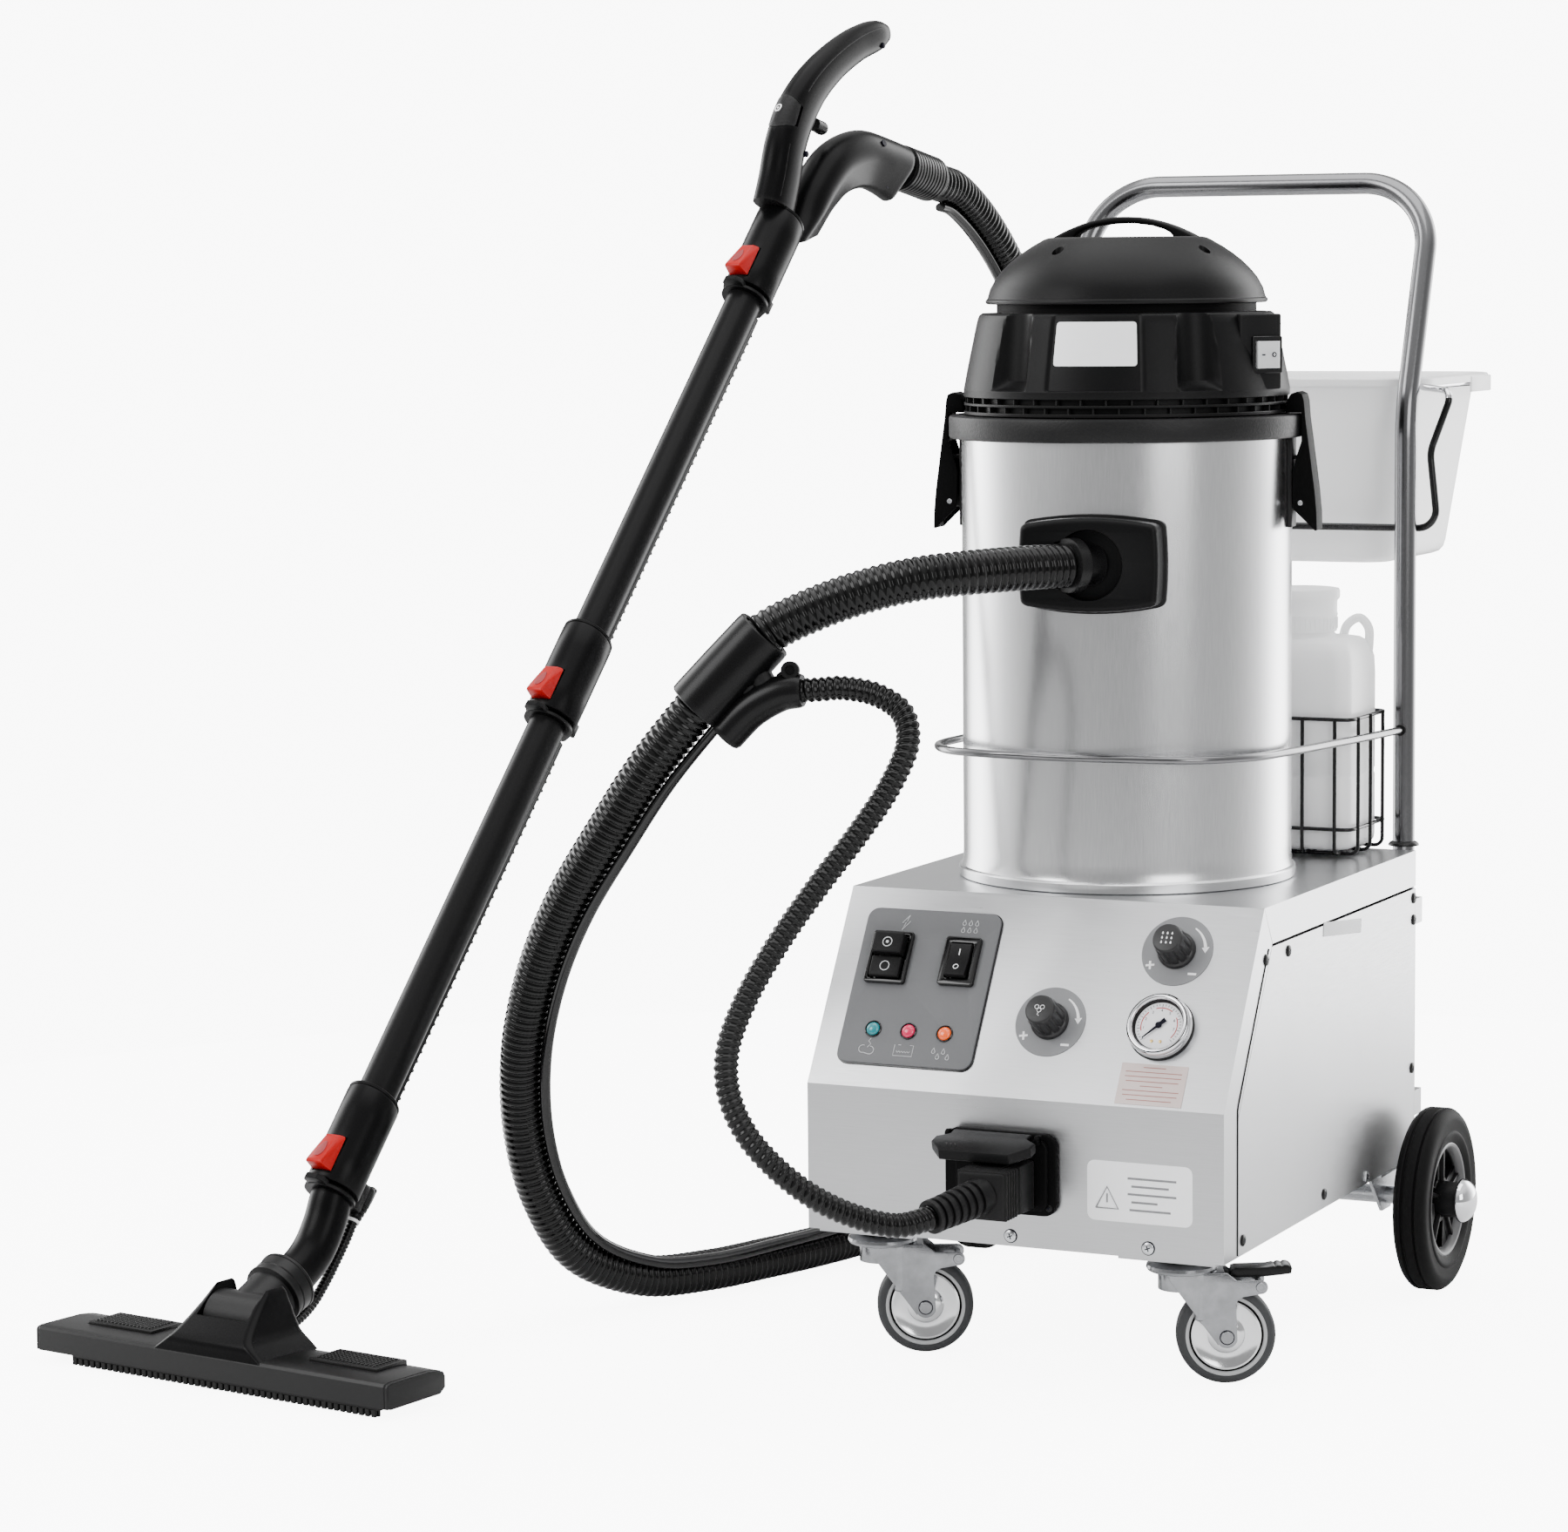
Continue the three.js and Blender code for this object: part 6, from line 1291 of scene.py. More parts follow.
def caster(name, side, with_brake):
    place = Matrix.Translation((side * CASTER_X, CASTER_Y, 0)) @ Matrix.Rotation(math.radians(CASTER_TURN),
        4, "Z")
    ax = TRAIL
    cheek = [(ax - 60, 116), (ax - 56, 106), (ax - 9, 42)]
    cheek += [polar(11, a, ax, 50) for a in range(220, 341, 12)]
    cheek += [(ax + 9, 84), (ax + 11, 88), (ax + 16, 91), (ax + 34, 94)]
    cheek += [polar(7, a, ax + 34, 101) for a in range(-75, 91, 15)]
    cheek += [(ax + 10, 108), (ax, 116)]
    fork = Shape()
    for low in (-22, 19):
        fork.plate([cheek], low, low + 3, 0.7, 0, FACING_FRONT)
    bend = [polar(22, a, ax - 46, 0) for a in range(90, 271, 12)]
    inside = [polar(19.4, a, ax - 46, 0) for a in range(270, 89, -12)]
    fork.plate([bend + inside], 96, 113, 0.6)
    for v in (-17, 17):
        pin(fork, (17.5, v, 67), (0, 0, 1), 5.8, 48)
    fork.block(ax - 60, ax - 2, -22, 22, 112, 116, 1)
    fork.turned([(0, 115), (33, 115), (34.6, 115.8), (36, 118.4), (35.4, 121.4), (31, 125), (29, 126.4),
                 (22, 127.8), (0, 127.8)], 64)
    pin(fork, (ax, -24, 50), (0, 1, 0), 5, 48)
    for v, out in ((-22, -1), (22, 1)):
        rim = upright((ax, v, 50), (0, out, 0))
        fork.turned([(3.4, 0), (6.6, 0), (6.6, 1.2), (6, 1.9), (3.6, 1.9), (3.2, 1.2), (3.4, 0)], 32, 0, rim)
        fork.turned([(6.7, 0), (7.6, 0), (7.6, 0.25), (6.7, 0.25), (6.7, 0)], 32, 1, rim)
        rim = upright((ax + 34, v, 101), (0, out, 0))
        fork.turned([(2.4, 0), (5.2, 0), (5.2, 0.9), (4.7, 1.5), (2.6, 1.5), (2.4, 0)], 32, 0, rim)
    pin(fork, (ax + 34, -23.5, 101), (0, 1, 0), 3, 47)
    fork.piece(f"caster_{name}_fork", f"caster_fork_{name}", [FORK_ZINC, NEEDLE], f"caster_fork_{name}",
               "zinc", at=place)

    wheel = Shape()
    half = [(41.2, 13.6), (44, 13.8), (47, 12.6), (48.8, 10.4), (49.8, 8), (50, 6)]
    wheel.turned([(r, -h) for r, h in half] + [(r, h) for r, h in reversed(half)] + [(41.2, -13.6)], 96, 0)
    wheel.turned([(37.4, -12), (37.8, -13.4), (38.6, -14), (40.6, -14), (41.4, -13.4), (41.4, 13.4),
                  (40.6, 14), (38.6, 14), (37.8, 13.4), (37.4, 12), (37.4, -12)], 96, 1)
    wheel.turned([(35.6, -10), (37.6, -10), (37.6, 10), (35.6, 10), (35.6, -10)], 96, 2)
    guard = [(5.7, -14), (10, -14), (15, -12.6), (19, -9.4), (27, -9.6), (33.4, -12), (35.2, -11.6),
             (35.8, -10), (35.8, 10), (35.2, 11.6), (33.4, 12), (27, 9.6), (19, 9.4), (15, 12.6), (10, 14),
             (5.7, 14), (5.7, -14)]
    wheel.turned(guard, 96, 3)
    wheel.piece(f"caster_{name}_wheel", f"caster_wheel_{name}", [TREAD_GREY, HUB_GREY, MATT_BLACK, POLISHED],
                f"caster_wheel_{name}", "grey_tyre", sharp=30,
                at=place @ Matrix.Translation((ax, 0, 50)) @ Matrix.Rotation(math.pi / 2, 4, "X"))

    if with_brake:
        side_line = [(4, 111), (5.4, 117.4), (9, 118.6), (40, 119.5), (47, 120.8), (49, 119.9), (51, 121.3),
                     (54, 121.4), (56, 120.3), (58, 121.7), (61, 121.8), (64, 120.6), (66, 118.6),
                     (65, 113), (55, 111.6), (40, 110), (10, 109.4)]
        pedal = Shape().plate([[(ax + u, z) for u, z in side_line]], -13, 13, 1, 0, FACING_FRONT)
        pedal.piece("brake_pedal", "caster_brake", BLACK_FINE, "caster_brake", "black_plastic", at=place)


# ---- wand, in its own frame: x across, y out behind it, z up along it ----
ON_POLE = ON_WAND @ axes((0, *WAND_FOOT), (1, 0, 0), (0, math.cos(math.radians(WAND_LEAN)),
                                                      -math.sin(math.radians(WAND_LEAN))))
TUBE_R = 21
ELBOW = [(0, 1000, 1150), (0, 1035, 1180), (0, 1066, 1214), (0, 1104, 1243), (0, 1156, 1256), (0, 1204, 1248),
         (0, 1224, 1244), (0, 1244, 1240)]
ELBOW_CHANNEL = [(0, 1046, 1157), (0, 1060, 1171), (0, 1084, 1194), (0, 1116, 1216), (0, 1156, 1226),
                 (0, 1190, 1221), (0, 1208, 1215), (0, 1226, 1208)]
GRIP = [(978, 1190, 31, 20), (990, 1222, 30, 20), (1001, 1258, 29, 20), (1022, 1296, 29, 19),
        (1052, 1328, 26, 18), (1096, 1358, 23, 17), (1150, 1383, 21, 16), (1196, 1396, 18, 15),
        (1212, 1399, 12, 11)]
GRIP_PAD = ((952, 1326), (1004, 1296), 22)


def twin_ring(big, big_r, small, small_r, across, sides=48):
    """The outline round two circles of different size, in the plane of their middles and of across."""
    down = small - big
    limit = math.acos(max(-1, min(1, (big_r - small_r) / down.length)))
    down = down.normalized()
    ring = []
    for k in range(sides):
        a = 2 * math.pi * k / sides - math.pi
        middle, r = (small, small_r) if abs(a) < limit else (big, big_r)
        ring.append(tuple(middle + (down * math.cos(a) + across * math.sin(a)) * r))
    return ring


def coupling(shape, start):
    """The sleeve over a tube joint, its upper end cut at a slant, with a pocket for the red button."""
    across = Vector((1, 0, 0))

    def ring(z, grow, slant=0.0):
        made = twin_ring(Vector((0, 0, z)), COUPLING_R + grow, Vector((0, 20, z)), 14 + grow, across)
        return [(x, y, h - slant * y) for x, y, h in made]

    low, high = start, start + COUPLING_LENGTH
    sleeve = Shape()
    sleeve.skin([ring(low, -3), ring(low + 0.4, -0.8), ring(low + 1.6, 0), ring(low + 30, 0),
                 ring(low + 60, 0), ring(high - 30, 0, 0.03), ring(high - 6.6, 0, 0.16),
                 ring(high - 5.4, -0.5, 0.16), ring(high - 5.2, -1.0, 0.16), ring(high - 4.2, -1.0, 0.16),
                 ring(high - 4, -0.3, 0.16), ring(high - 1.4, -0.3, 0.16), ring(high - 0.4, -1.2, 0.16),
                 ring(high, -2.6, 0.16)])
    for edge in (1.6, 1.0):
        sleeve.skin([ring(low - 8, edge - 4.4), ring(low - 7.6, edge - 3.2), ring(low - 4.6, edge - 3.2),
                     ring(low - 4.2, edge - 4.4)])
    pocket = Shape().block(-13.6, 13.6, -60, -24.4, start + 6.6, start + 48.6, 0.5)
    sleeve.combined(pocket)
    shape.add(sleeve.verts, sleeve.faces)
    # lug under the button and the hook over the strip behind
    shape.plate([[(-13, -24), (13, -24), (13, -33), (7, -39), (-7, -39), (-13, -33)][::-1]], start - 7.4,
                start - 1.4, 0.8)
    for side in (-1, 1):
        low, high = sorted((side * 11.4, side * 15.8))
        shape.block(low, high, 19, 31.5, start - 3, start + 13, 0.8)


def strip(shape, low, high):
    """The steam strip along the back of a tube, with its row of slanting teeth."""
    rings = [(low, -1.2), (low + 1, 0), (high - 1, 0), (high, -1.2)]
    shape.skin([[(x, y, z) for x, y in round_rect(-8.6 - g, 8.6 + g, 12 - g, 29 + g, 3.4 + min(g, 0))]
                for z, g in rings])
    for side in (-1, 1):
        a, b = sorted((side * 8.2, side * 9.8))
        shape.block(a, b, 20.6, 22.4, low + 3, high - 3, 0.4)
    pitch = 11.6
    for k in range(int((high - low - 8) / pitch)):
        z = low + 8 + k * pitch
        tooth = Matrix.Translation((0, 29, z)) @ Matrix.Rotation(math.radians(-32), 4, "X")
        shape.block(-5, 5, -4.5, 5.2, -1.9, 1.9, 1.2, 0, tooth)


def release_button(name, start):
    profile = [(8, 28, 13), (8, 45, 10.4), (11, 46, 9.8), (44, 36.4, 7.6), (47, 34.6, 8), (48, 31, 11),
               (48, 28.2, 13)]
    mesh = bmesh.new()
    for z, out, half in profile:
        for x in (-half, half):
            mesh.verts.new((x, -out, start + z))
    hull = bmesh.ops.convex_hull(mesh, input=mesh.verts[:])
    bmesh.ops.delete(mesh, geom=[v for v in hull["geom_interior"] if isinstance(v, bmesh.types.BMVert)],
                     context="VERTS")
    bmesh.ops.dissolve_limit(mesh, angle_limit=math.radians(2), verts=mesh.verts, edges=mesh.edges)
    bmesh.ops.bevel(mesh, geom=mesh.edges[:], offset=0.8, segments=3, affect="EDGES", profile=0.5)
    button = Shape().take(mesh)
    slope = math.atan2(46 - 36.4, 44 - 11)
    face = Matrix.Translation((0, -41.4, start + 27)) @ Matrix.Rotation(math.pi / 2 - slope, 4, "X")
    thumb = [(5 * math.cos(t) * (1 - 0.34 * math.sin(t)), 11 * math.sin(t) - 1)
             for t in (2 * math.pi * k / 28 for k in range(28))]
    button.plate([thumb], -0.5, 0.7, 0.5, 1, face)
    button.piece(name + "_cap", name, [RED, RED_MARK], name, "red_plastic", at=ON_POLE, sharp=20)


def extension_tube(name, low, high, sleeve_at):
    tube = Shape()
    tube.turned([(0, low), (TUBE_R - 1, low), (TUBE_R, low + 1), (TUBE_R, high - 1), (TUBE_R - 1, high),
                 (0, high)], 64)
    coupling(tube, sleeve_at)
    strip(tube, low + 6, sleeve_at + 21 if sleeve_at > low + 50 else high - 8)
    tube.piece(name + "_body", "machine", POLE_BLACK, name, "black_plastic", at=ON_POLE, sharp=34)


def wand():
    extension_tube("wand_tube_lower", 2, TUBE_PITCH - 6, 0)
    extension_tube("wand_tube_upper", TUBE_PITCH - 5.5, 2 * TUBE_PITCH - 6, TUBE_PITCH)
    for name, start in (("lower", 0), ("middle", TUBE_PITCH), ("upper", 2 * TUBE_PITCH)):
        release_button("release_button_" + name, start)

    path = smooth_path([(0, 84, 90), (0, 100, 97), (0, 122, 113), (0, 141, 139), (0, 152.5, 163),
                        (0, 156.9, 168.3)], 3)
    bend = Shape().tube(path, 22.5, 56)
    bend.piece("bent_pipe", "machine", POLE_BLACK, "wand_bend", "black_plastic", at=ON_WAND)

    joiner = Shape()
    joiner.block(-9, 9, 26, 46, -2, 30, 3)
    joiner.block(-8, 8, 38, 58, 10, 30, 4)
    joiner.turned([(0, -8), (6.4, -8), (6.4, -6), (8, -5.4), (8, -3.4), (7, -3), (7, -1), (8.6, -0.4),
                   (8.6, 2), (7.6, 2.4), (7.6, 4), (9.4, 4.8), (9.4, 8), (8.6, 9), (9.8, 10), (9.8, 28),
                   (8, 31), (0, 31)], 28, 0, Matrix.Translation((0, 49.6, 0)))
    joiner.block(-3, 3, 54, 63, 18, 36, 2)
    joiner.turned([(6.2, -11), (7.4, -10.8), (7.4, -8), (6.2, -7.8), (6.2, -11)], 28, 1,
                  Matrix.Translation((0, 49.7, 0)))
    joiner.piece("jumper_joiner", "machine", [BLACK_FINE, MILKY_CAP], slot="black_plastic", at=ON_POLE)


def hand_grip():
    across = Vector((1, 0, 0))
    elbow = Shape()
    coupled = Shape()
    coupling(coupled, 2 * TUBE_PITCH)
    onto_wand = ON_WAND.inverted() @ ON_POLE
    elbow.add([onto_wand @ Vector(v) for v in coupled.verts], coupled.faces)
    over = smooth_path(ELBOW, 4)
    under = smooth_path(ELBOW_CHANNEL, 4)
    steps = np.linspace(0, 1, 72)
    rings = []
    for t in steps:
        top = Vector([np.interp(t, np.linspace(0, 1, len(over)), over[:, k]) for k in range(3)])
        low = Vector([np.interp(t, np.linspace(0, 1, len(under)), under[:, k]) for k in range(3)])
        swell = 27.4 - 5 * max(0, (t - 0.965) / 0.035) ** 2
        rings.append(twin_ring(top, swell, low, swell - 14.4, across))
    elbow.skin(rings)
    # the screw holes on the bend
    for t, side in ((0.74, 0), (0.86, 1)):
        k = int(t * len(over))
        seat = Vector(over[k]) if side == 0 else Vector(under[int(t * len(under))])
        pin(elbow, tuple(seat + Vector((24.6 if side == 0 else 11.6, 0, 12 if side == 0 else 0))),
            (1, 0, 0.35 if side == 0 else 0), 4.2, 1.8, 1)
    elbow.piece("hose_elbow_shell", "machine", [POLE_BLACK, NEEDLE], "hose_elbow", "black_plastic",
                at=ON_WAND, sharp=40)

    spine = smooth_path(GRIP, 4)

    def grip_shape(grow=0.0):
        rings = []
        for k, (n, z, deep, wide) in enumerate(spine):
            before, after = spine[max(k - 1, 0)], spine[min(k + 1, len(spine) - 1)]
            along = Vector((0, after[0] - before[0], after[1] - before[1])).normalized()
            row = []
            for a in np.linspace(0, 2 * math.pi, 56, endpoint=False):
                # fuller on the near side, with a soft ridge either side of the far edge
                d = math.copysign(abs(math.cos(a)) ** 0.86, math.cos(a)) * (deep + grow)
                w = math.copysign(abs(math.sin(a)) ** 0.9, math.sin(a)) * (wide + grow)
                row.append((w, n + d * along.z, z - d * along.y))
            rings.append(row)
        return Shape().skin(rings)

    (n0, z0), (n1, z1), pad_r = GRIP_PAD
    inward = Vector((0, n1 - n0, z1 - z0)).normalized()
    pad_at = upright((0, n0, z0), inward)
    pad_length = math.hypot(n1 - n0, z1 - z0)
    handle = grip_shape()
    space = Shape().turned([(0, -30), (pad_r + 0.5, -30), (pad_r + 0.5, pad_length + 4.4),
                            (0, pad_length + 4.4)], 48, 0, pad_at)
    handle.combined(space)
    seat = Shape().turned([(0, -5), (8.7, -5), (8.7, 30), (0, 30)], 28, 0,
                          upright((0, 1058, 1289.1), (0, 34, -9.7)))
    handle.combined(seat)
    for n, z in ((1020, 1252), (1189, 1383)):
        pin(handle, (15.4 if n < 1100 else 12.2, n, z), (1, 0, 0), 3.6, 4.2, 1)
    for side in (-1, 1):
        ridge = []
        for k, (n, z, deep, wide) in enumerate(spine[2:-6]):
            before, after = spine[k + 1], spine[k + 3]
            along = Vector((0, after[0] - before[0], after[1] - before[1])).normalized()
            for_n, for_z = -0.52 * deep * along.z, 0.52 * deep * along.y
            ridge.append((side * wide * 0.87, n + for_n, z + for_z))
        clear = [math.dist(p[1:], (1004, 1296)) > 34 for p in ridge]
        gap_from, gap_to = clear.index(False), len(clear) - clear[::-1].index(False)
        for part in (ridge[:gap_from], ridge[gap_to:]):
            if len(part) > 1:
                handle.tube(part, 0.9, 8)
    handle.piece("hand_grip_shell", "machine", [POLE_BLACK, NEEDLE], "hand_grip", "black_plastic",
                 at=ON_WAND, sharp=50)

    trigger = grip_shape(0.7)
    trigger.combined(Shape().turned([(0, -30), (pad_r, -30), (pad_r, pad_length), (0, pad_length)], 48, 0,
                                    pad_at), "INTERSECT")
    # a plain ring with a dot, printed on the pad
    aim = Vector((0.80, -0.51, 0.31)).normalized()
    surface_of_pad = BVHTree.FromPolygons(trigger.verts, trigger.faces)
    spot, facing, _, _ = surface_of_pad.ray_cast(Vector((0, 991, 1307)) + 60 * aim, -aim)
    badge = upright(spot - 0.4 * facing, facing)
    trigger.turned([(3.2, 0), (3.6, 0.7), (5.0, 0.7), (5.4, 0), (3.2, 0)], 36, 1, badge)
    trigger.turned([(0, 0.7), (1.4, 0.7), (1.6, 0), (0, 0)], 20, 1, badge)
    trigger.piece("thumb_trigger", "steam_trigger", [BLACK_COARSE, PRINT], "steam_trigger", "gloss_black",
                  at=ON_WAND, sharp=40)

    knob = Shape().turned([(0, 0), (7.4, 0), (8, 0.6), (8, 15), (8, 17.6), (7.2, 19.6), (5, 20.6),
                           (0, 20.8)], 40, 0, upright((0, 1063, 1287.7), (0, 20, -5.7)))
    for k in range(12):
        turn = Matrix.Rotation(2 * math.pi * k / 12, 4, "Z")
        knob.block(7.4, 8.3, -0.7, 0.7, 9, 18, 0.3, 0, upright((0, 1063, 1287.7), (0, 20, -5.7)) @ turn, 1)
    knob.piece("lock_button", "grip_button", BLACK_FINE, "grip_button", "gloss_black", at=ON_WAND)


# ---- floor tool, in the wand's frame: x along it, y back, z up ----
TOOL_HALF, TOOL_FRONT, TOOL_BACK = 236, -46, 46
NECK_Y, NECK_Z, NECK_R = 14, 60, 30
BRUSH = (-190, 222, 8.0)


def floor_tool():
    body = Shape()
    side_line = [(TOOL_FRONT + 6, 10), (TOOL_BACK - 8, 10), (TOOL_BACK, 16), (TOOL_BACK, 28),
                 (TOOL_BACK - 3, 33), (TOOL_BACK - 12, 35.6), (TOOL_BACK - 26, 37.4), (TOOL_FRONT + 8, 38),
                 (TOOL_FRONT + 2, 37), (TOOL_FRONT, 34), (TOOL_FRONT, 12)]
    lengthwise = axes((0, 0, 0), (0, 1, 0), (0, 0, 1))
    body.plate([side_line], -TOOL_HALF + 4, TOOL_HALF - 4, 1.4, 0, lengthwise, 3)
    inner = [(y * 0.985, 24 + (z - 24) * 0.96) for y, z in side_line]
    for side in (-1, 1):
        low, high = sorted((side * (TOOL_HALF - 5), side * TOOL_HALF))
        body.plate([inner], low, high, 1.6, 0, lengthwise, 3)
    wells = Shape()
    for side in (-1, 1):
        wells.block(side * 150 - 45, side * 150 + 45, TOOL_FRONT + 34, TOOL_BACK - 8, 31, 60, 0.4)
    body.combined(wells)

    def ring(half, y0, y1, z, radius):
        return [(x, y, z) for x, y in round_rect(-half, half, y0, y1, radius, 10)]

    stations = [(74, -45.6, 43, 35, 5), (66, -45, 44, 38, 6), (59.4, -44.6, 44, 43, 7),
                (54.4, -43, 44, 50, 8), (50.4, -38, 44, 58, 8), (47.4, -31, 44, 66, 8),
                (44.4, -22, 43, 75, 7.4), (41.4, -12, 42, 84, 7), (39.4, -3, 40, 91, 6),
                (37.6, 5, 38, 95, 5), (35, 9, 35, 96.4, 4)]
    spread = smooth_path([(h, y0, y1) for h, y0, y1, _, _ in stations], 3)
    rest = smooth_path([(z, r, 0) for _, _, _, z, r in stations], 2)
    count = 36
    hump = Shape().skin([ring(*[np.interp(t, np.linspace(0, 1, len(spread)), spread[:, k]) for k in range(3)],
                              *[np.interp(t, np.linspace(0, 1, len(rest)), rest[:, k]) for k in range(2)])
                         for t in np.linspace(0, 1, count)])
    for swing in (-15, -5, 5, 15):
        lean = math.atan2(20.6, 48) + math.radians(swing)
        hump.combined(Shape().turned([(0, -2), (NECK_R + 0.8, -2), (NECK_R + 0.8, 90), (0, 90)], 48, 0,
                                     upright((0, NECK_Y, NECK_Z), (0, math.cos(lean), math.sin(lean)))))
    hump.combined(Shape().turned([(0, -33.4), (NECK_R + 0.8, -33.4), (NECK_R + 0.8, 33.4), (0, 33.4)], 56, 0,
                                 upright((0, NECK_Y, NECK_Z), (1, 0, 0))))
    hump.combined(Shape().block(-33.4, 33.4, NECK_Y - 36, TOOL_BACK + 20, NECK_Z + 8, 140, 0.4))
    hump.combined(Shape().block(-33.4, 33.4, NECK_Y + 12, TOOL_BACK + 20, NECK_Z - 12, 140, 0.4))
    body.add(hump.verts, hump.faces, 2)
    start, end, pitch = BRUSH
    body.block(start, end, TOOL_FRONT + 5, TOOL_FRONT + 16, 8, 12, 1)
    for row, y in enumerate((TOOL_FRONT + 6.6, TOOL_FRONT + 11.4)):
        for k in range(int((end - start) / pitch)):
            x = start + 3.4 + pitch * k + 0.7 * row
            body.block(x - 2.9, x + 2.9, y - 1.8, y + 1.8, 0.6, 9, 0.7, 1, None, 1)
    body.block(-TOOL_HALF + 30, TOOL_HALF - 30, TOOL_BACK - 22, TOOL_BACK - 18, 0.6, 12, 0.5, 1)
    for x in (-178, 190):
        pin(body, (x, TOOL_BACK - 14, 5), (0, 1, 0), 5, 9)
    body.piece("floor_tool_shell", "floor_tool_body", [TOOL_BLACK, BRISTLE, POLE_BLACK], "floor_tool_body",
               "black_plastic", at=ON_WAND)

    neck = Shape()
    neck.turned([(0, -32.2), (NECK_R - 1, -32.2), (NECK_R, -31.2), (NECK_R, 31.2), (NECK_R - 1, 32.2),
                 (0, 32.2)], 64, 0, upright((0, NECK_Y, NECK_Z), (1, 0, 0)))
    reach = Vector((0, 48, 20.6)).normalized()
    length = math.hypot(82 - NECK_Y, 88.6 - NECK_Z)
    foot = (0, NECK_Y, NECK_Z)
    neck.turned([(0, 0), (28, 0), (28.6, 30), (29, length - 28), (31.6, length - 26.6), (33.4, length - 26),
                 (33.6, length - 23), (32.2, length - 22.4), (32.2, length - 17), (33, length - 16),
                 (33, length - 4), (33.8, length - 3.4), (33.8, length - 1), (33, length), (24.2, length),
                 (24.2, length - 17), (0, length - 17)], 72, 0, upright(foot, reach))
    for k in range(5):
        turn = Matrix.Rotation(math.radians(-60 + 14 * k), 4, "Z")
        neck.block(32.4, 33.6, -1.4, 1.4, length - 13.6, length - 6.6, 0.4, 0, upright(foot, reach) @ turn)
    neck.piece("swivel_neck", "tool_neck", TOOL_BLACK, "tool_neck", "black_plastic", at=ON_WAND)

    for name, side in (("tool_pedal_left", -1), ("tool_pedal_right", 1)):
        x0, x1, y0, y1 = side * 150 - 44, side * 150 + 44, TOOL_FRONT + 35, TOOL_BACK - 9
        pedal = Shape().block(x0, x1, y0, y1, 34, 40.4, 1.2)
        pedal.plate([round_rect(x0 + 4, x1 - 4, y0 + 3, y1 - 5, 2)], 40, 40.9, 0.4, 0)
        across, deep = 15, 8
        for i in range(across):
            for k in range(deep):
                x = x0 + 8 + (x1 - x0 - 16) * i / (across - 1)
                y = y0 + 6 + (y1 - y0 - 14) * k / (deep - 1)
                pedal.turned([(2.0, 40.6), (1.7, 41.8), (1.1, 42.3), (0, 42.4)], 8, 1,
                             Matrix.Translation((x, y, 0)))
        pedal.piece(name + "_pad", name, [TOOL_BLACK, BLACK_FINE], name, "black_plastic", at=ON_WAND)


# ---- studio ----
# glow of the floor and of the backdrop where the camera sees them, and of the ceiling
FLOOR_SEEN, WORLD_SEEN, CEILING_GLOW = 8.0, 9.4, 1.3
# a float curve only holds values up to 1, so the bands are divided by this and multiplied back
BAND_SCALE = 10
# brightness of the studio round the machine, by angle from straight behind it, as seen in its polished parts
STUDIO_BANDS = [
    (0, 0.9), (12, 0.7), (17, 0.08), (28, 0.08), (35, 6), (50, 9), (62, 5.5), (70, 3.0), (80, 1.6),
    (95, 0.9), (108, 0.64), (140, 0.5), (180, 0.42),
]


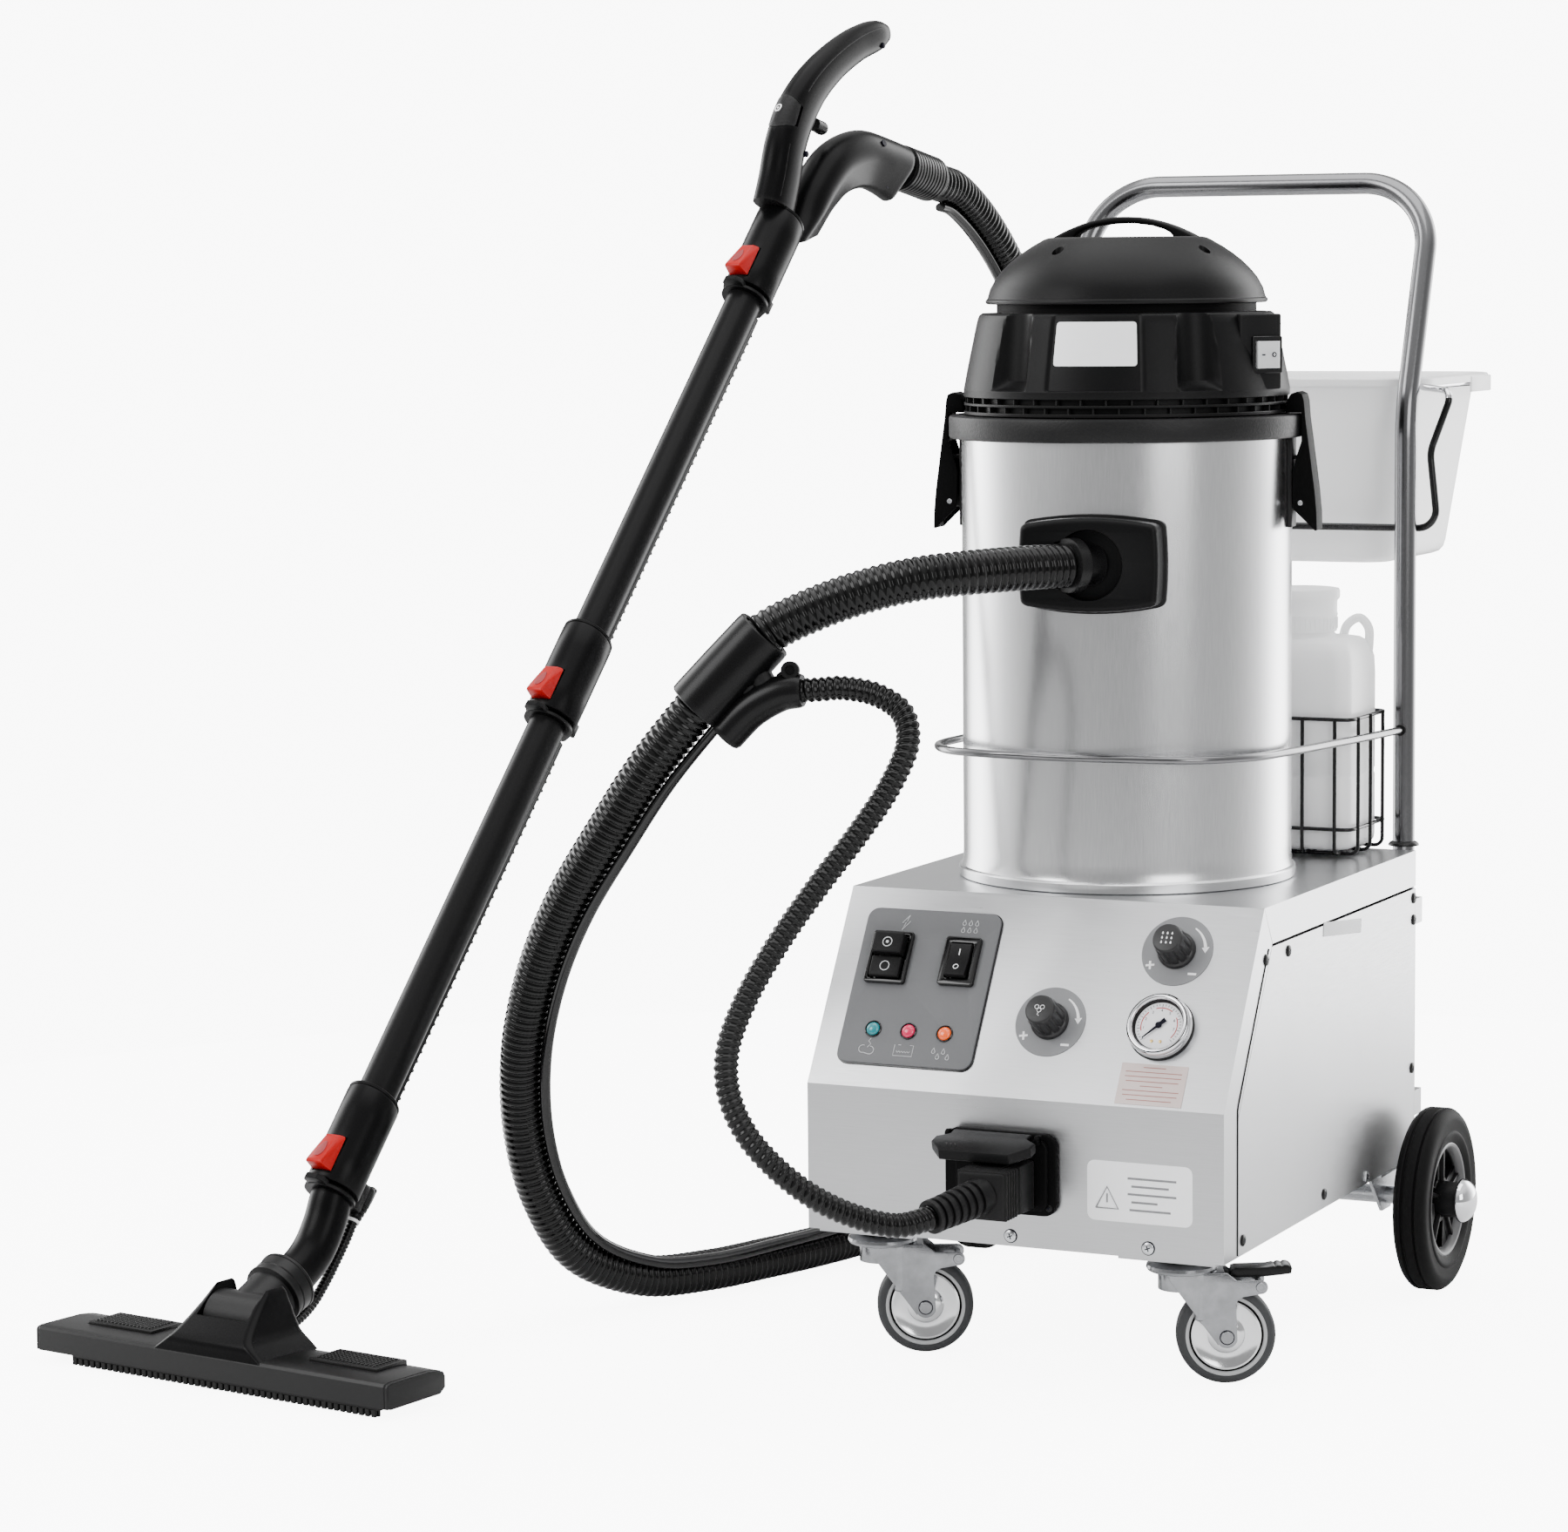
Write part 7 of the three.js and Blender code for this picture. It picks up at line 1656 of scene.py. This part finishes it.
def studio():
    floor = Shape()
    floor.turned([(2300, 0), (1800, 0), (1200, 0), (0, 0)], 96)
    mesh = bpy.data.meshes.new("floor")
    mesh.from_pydata(floor.verts, [], floor.faces)
    mesh.transform(TO_FRAME)
    paint = surface("floor_white", (0.86, 0.86, 0.86), 0.6, vary=0.01, vary_scale=2, specular=0.2)
    shader = paint.node_tree.nodes["Principled BSDF"]
    shader.inputs["Emission Color"].default_value = (1, 1, 1, 1)
    only_seen = paint.node_tree.nodes.new("ShaderNodeLightPath")
    lift = paint.node_tree.nodes.new("ShaderNodeMath")
    lift.operation = "MULTIPLY"
    lift.inputs[1].default_value = FLOOR_SEEN
    paint.node_tree.links.new(only_seen.outputs["Is Camera Ray"], lift.inputs[0])
    paint.node_tree.links.new(lift.outputs["Value"], shader.inputs["Emission Strength"])
    mesh.materials.append(paint)
    made = bpy.data.objects.new("floor", mesh)
    bpy.context.scene.collection.objects.link(made)

    world = bpy.data.worlds.new("studio")
    bpy.context.scene.world = world
    world.use_nodes = True
    tree = world.node_tree
    where = tree.nodes.new("ShaderNodeTexCoord")
    turned = tree.nodes.new("ShaderNodeVectorRotate")
    turned.rotation_type = "Z_AXIS"
    turned.inputs["Angle"].default_value = math.radians(-90 - CAMERA_AZIMUTH)
    around = tree.nodes.new("ShaderNodeTexGradient")
    around.gradient_type = "RADIAL"
    bands = tree.nodes.new("ShaderNodeFloatCurve")
    curve = bands.mapping.curves[0]
    stops = [(0.5 + s * a / 360, v / BAND_SCALE) for s in (-1, 1) for a, v in STUDIO_BANDS if s > 0 or a > 0]
    for x, v in sorted(stops):
        if 0 < x < 1:
            curve.points.new(x, v)
        elif x <= 0:
            curve.points[0].location = (0, v)
        else:
            curve.points[-1].location = (1, v)
    for point in curve.points:
        point.handle_type = "VECTOR"
    bands.mapping.update()
    scaled = tree.nodes.new("ShaderNodeMath")
    scaled.operation = "MULTIPLY"
    scaled.inputs[1].default_value = BAND_SCALE
    # the ceiling is one soft white area
    split = tree.nodes.new("ShaderNodeSeparateXYZ")
    ceiling = tree.nodes.new("ShaderNodeMapRange")
    ceiling.inputs["From Min"].default_value = 0.45
    ceiling.inputs["From Max"].default_value = 0.75
    mixed = tree.nodes.new("ShaderNodeMix")
    mixed.inputs["B"].default_value = CEILING_GLOW
    path = tree.nodes.new("ShaderNodeLightPath")
    seen = tree.nodes.new("ShaderNodeMix")
    seen.inputs["B"].default_value = WORLD_SEEN
    background = tree.nodes["Background"]
    background.inputs["Color"].default_value = (1, 1, 1, 1)
    for a, b in ((where.outputs["Generated"], turned.inputs["Vector"]),
                 (turned.outputs[0], around.inputs["Vector"]),
                 (around.outputs["Fac"], bands.inputs["Value"]), (bands.outputs[0], scaled.inputs[0]),
                 (where.outputs["Generated"], split.inputs[0]),
                 (split.outputs["Z"], ceiling.inputs["Value"]),
                 (ceiling.outputs["Result"], mixed.inputs["Factor"]),
                 (scaled.outputs[0], mixed.inputs["A"]),
                 (path.outputs["Is Camera Ray"], seen.inputs["Factor"]),
                 (mixed.outputs["Result"], seen.inputs["A"]),
                 (seen.outputs["Result"], background.inputs["Strength"])):
        tree.links.new(a, b)

    def lamp(name, where, aim, size, power, size_y=None):
        data = bpy.data.lights.new(name, "AREA")
        data.energy = power
        data.shape = "RECTANGLE"
        data.size, data.size_y = size, size_y or size
        made = bpy.data.objects.new(name, data)
        bpy.context.scene.collection.objects.link(made)
        start, end = in_frame(where), in_frame(aim)
        made.matrix_world = Matrix.Translation(start) @ (end - start).to_track_quat("-Z",
            "Y").to_matrix().to_4x4()

    lamp("key", (-2600, -3000, 2900), (0, 200, 600), 2.2, 120)
    lamp("fill", (3200, -2200, 1900), (0, 300, 600), 2.0, 60)
    lamp("top", (0, 300, 3600), (0, 300, 0), 3.0, 80)


make_camera()
studio()
hoses()
vacuum_can()
vacuum_inlet()
head_base()
head_dome()
cabinet()
control_plate()
for dial_name, dial_place in DIALS:
    dial(dial_name, dial_place)
gauge()
steam_socket()
push_handle()
bucket()
basket()
rear_wheels()
caster("left", -1, False)
caster("right", 1, True)
wand()
hand_grip()
floor_tool()
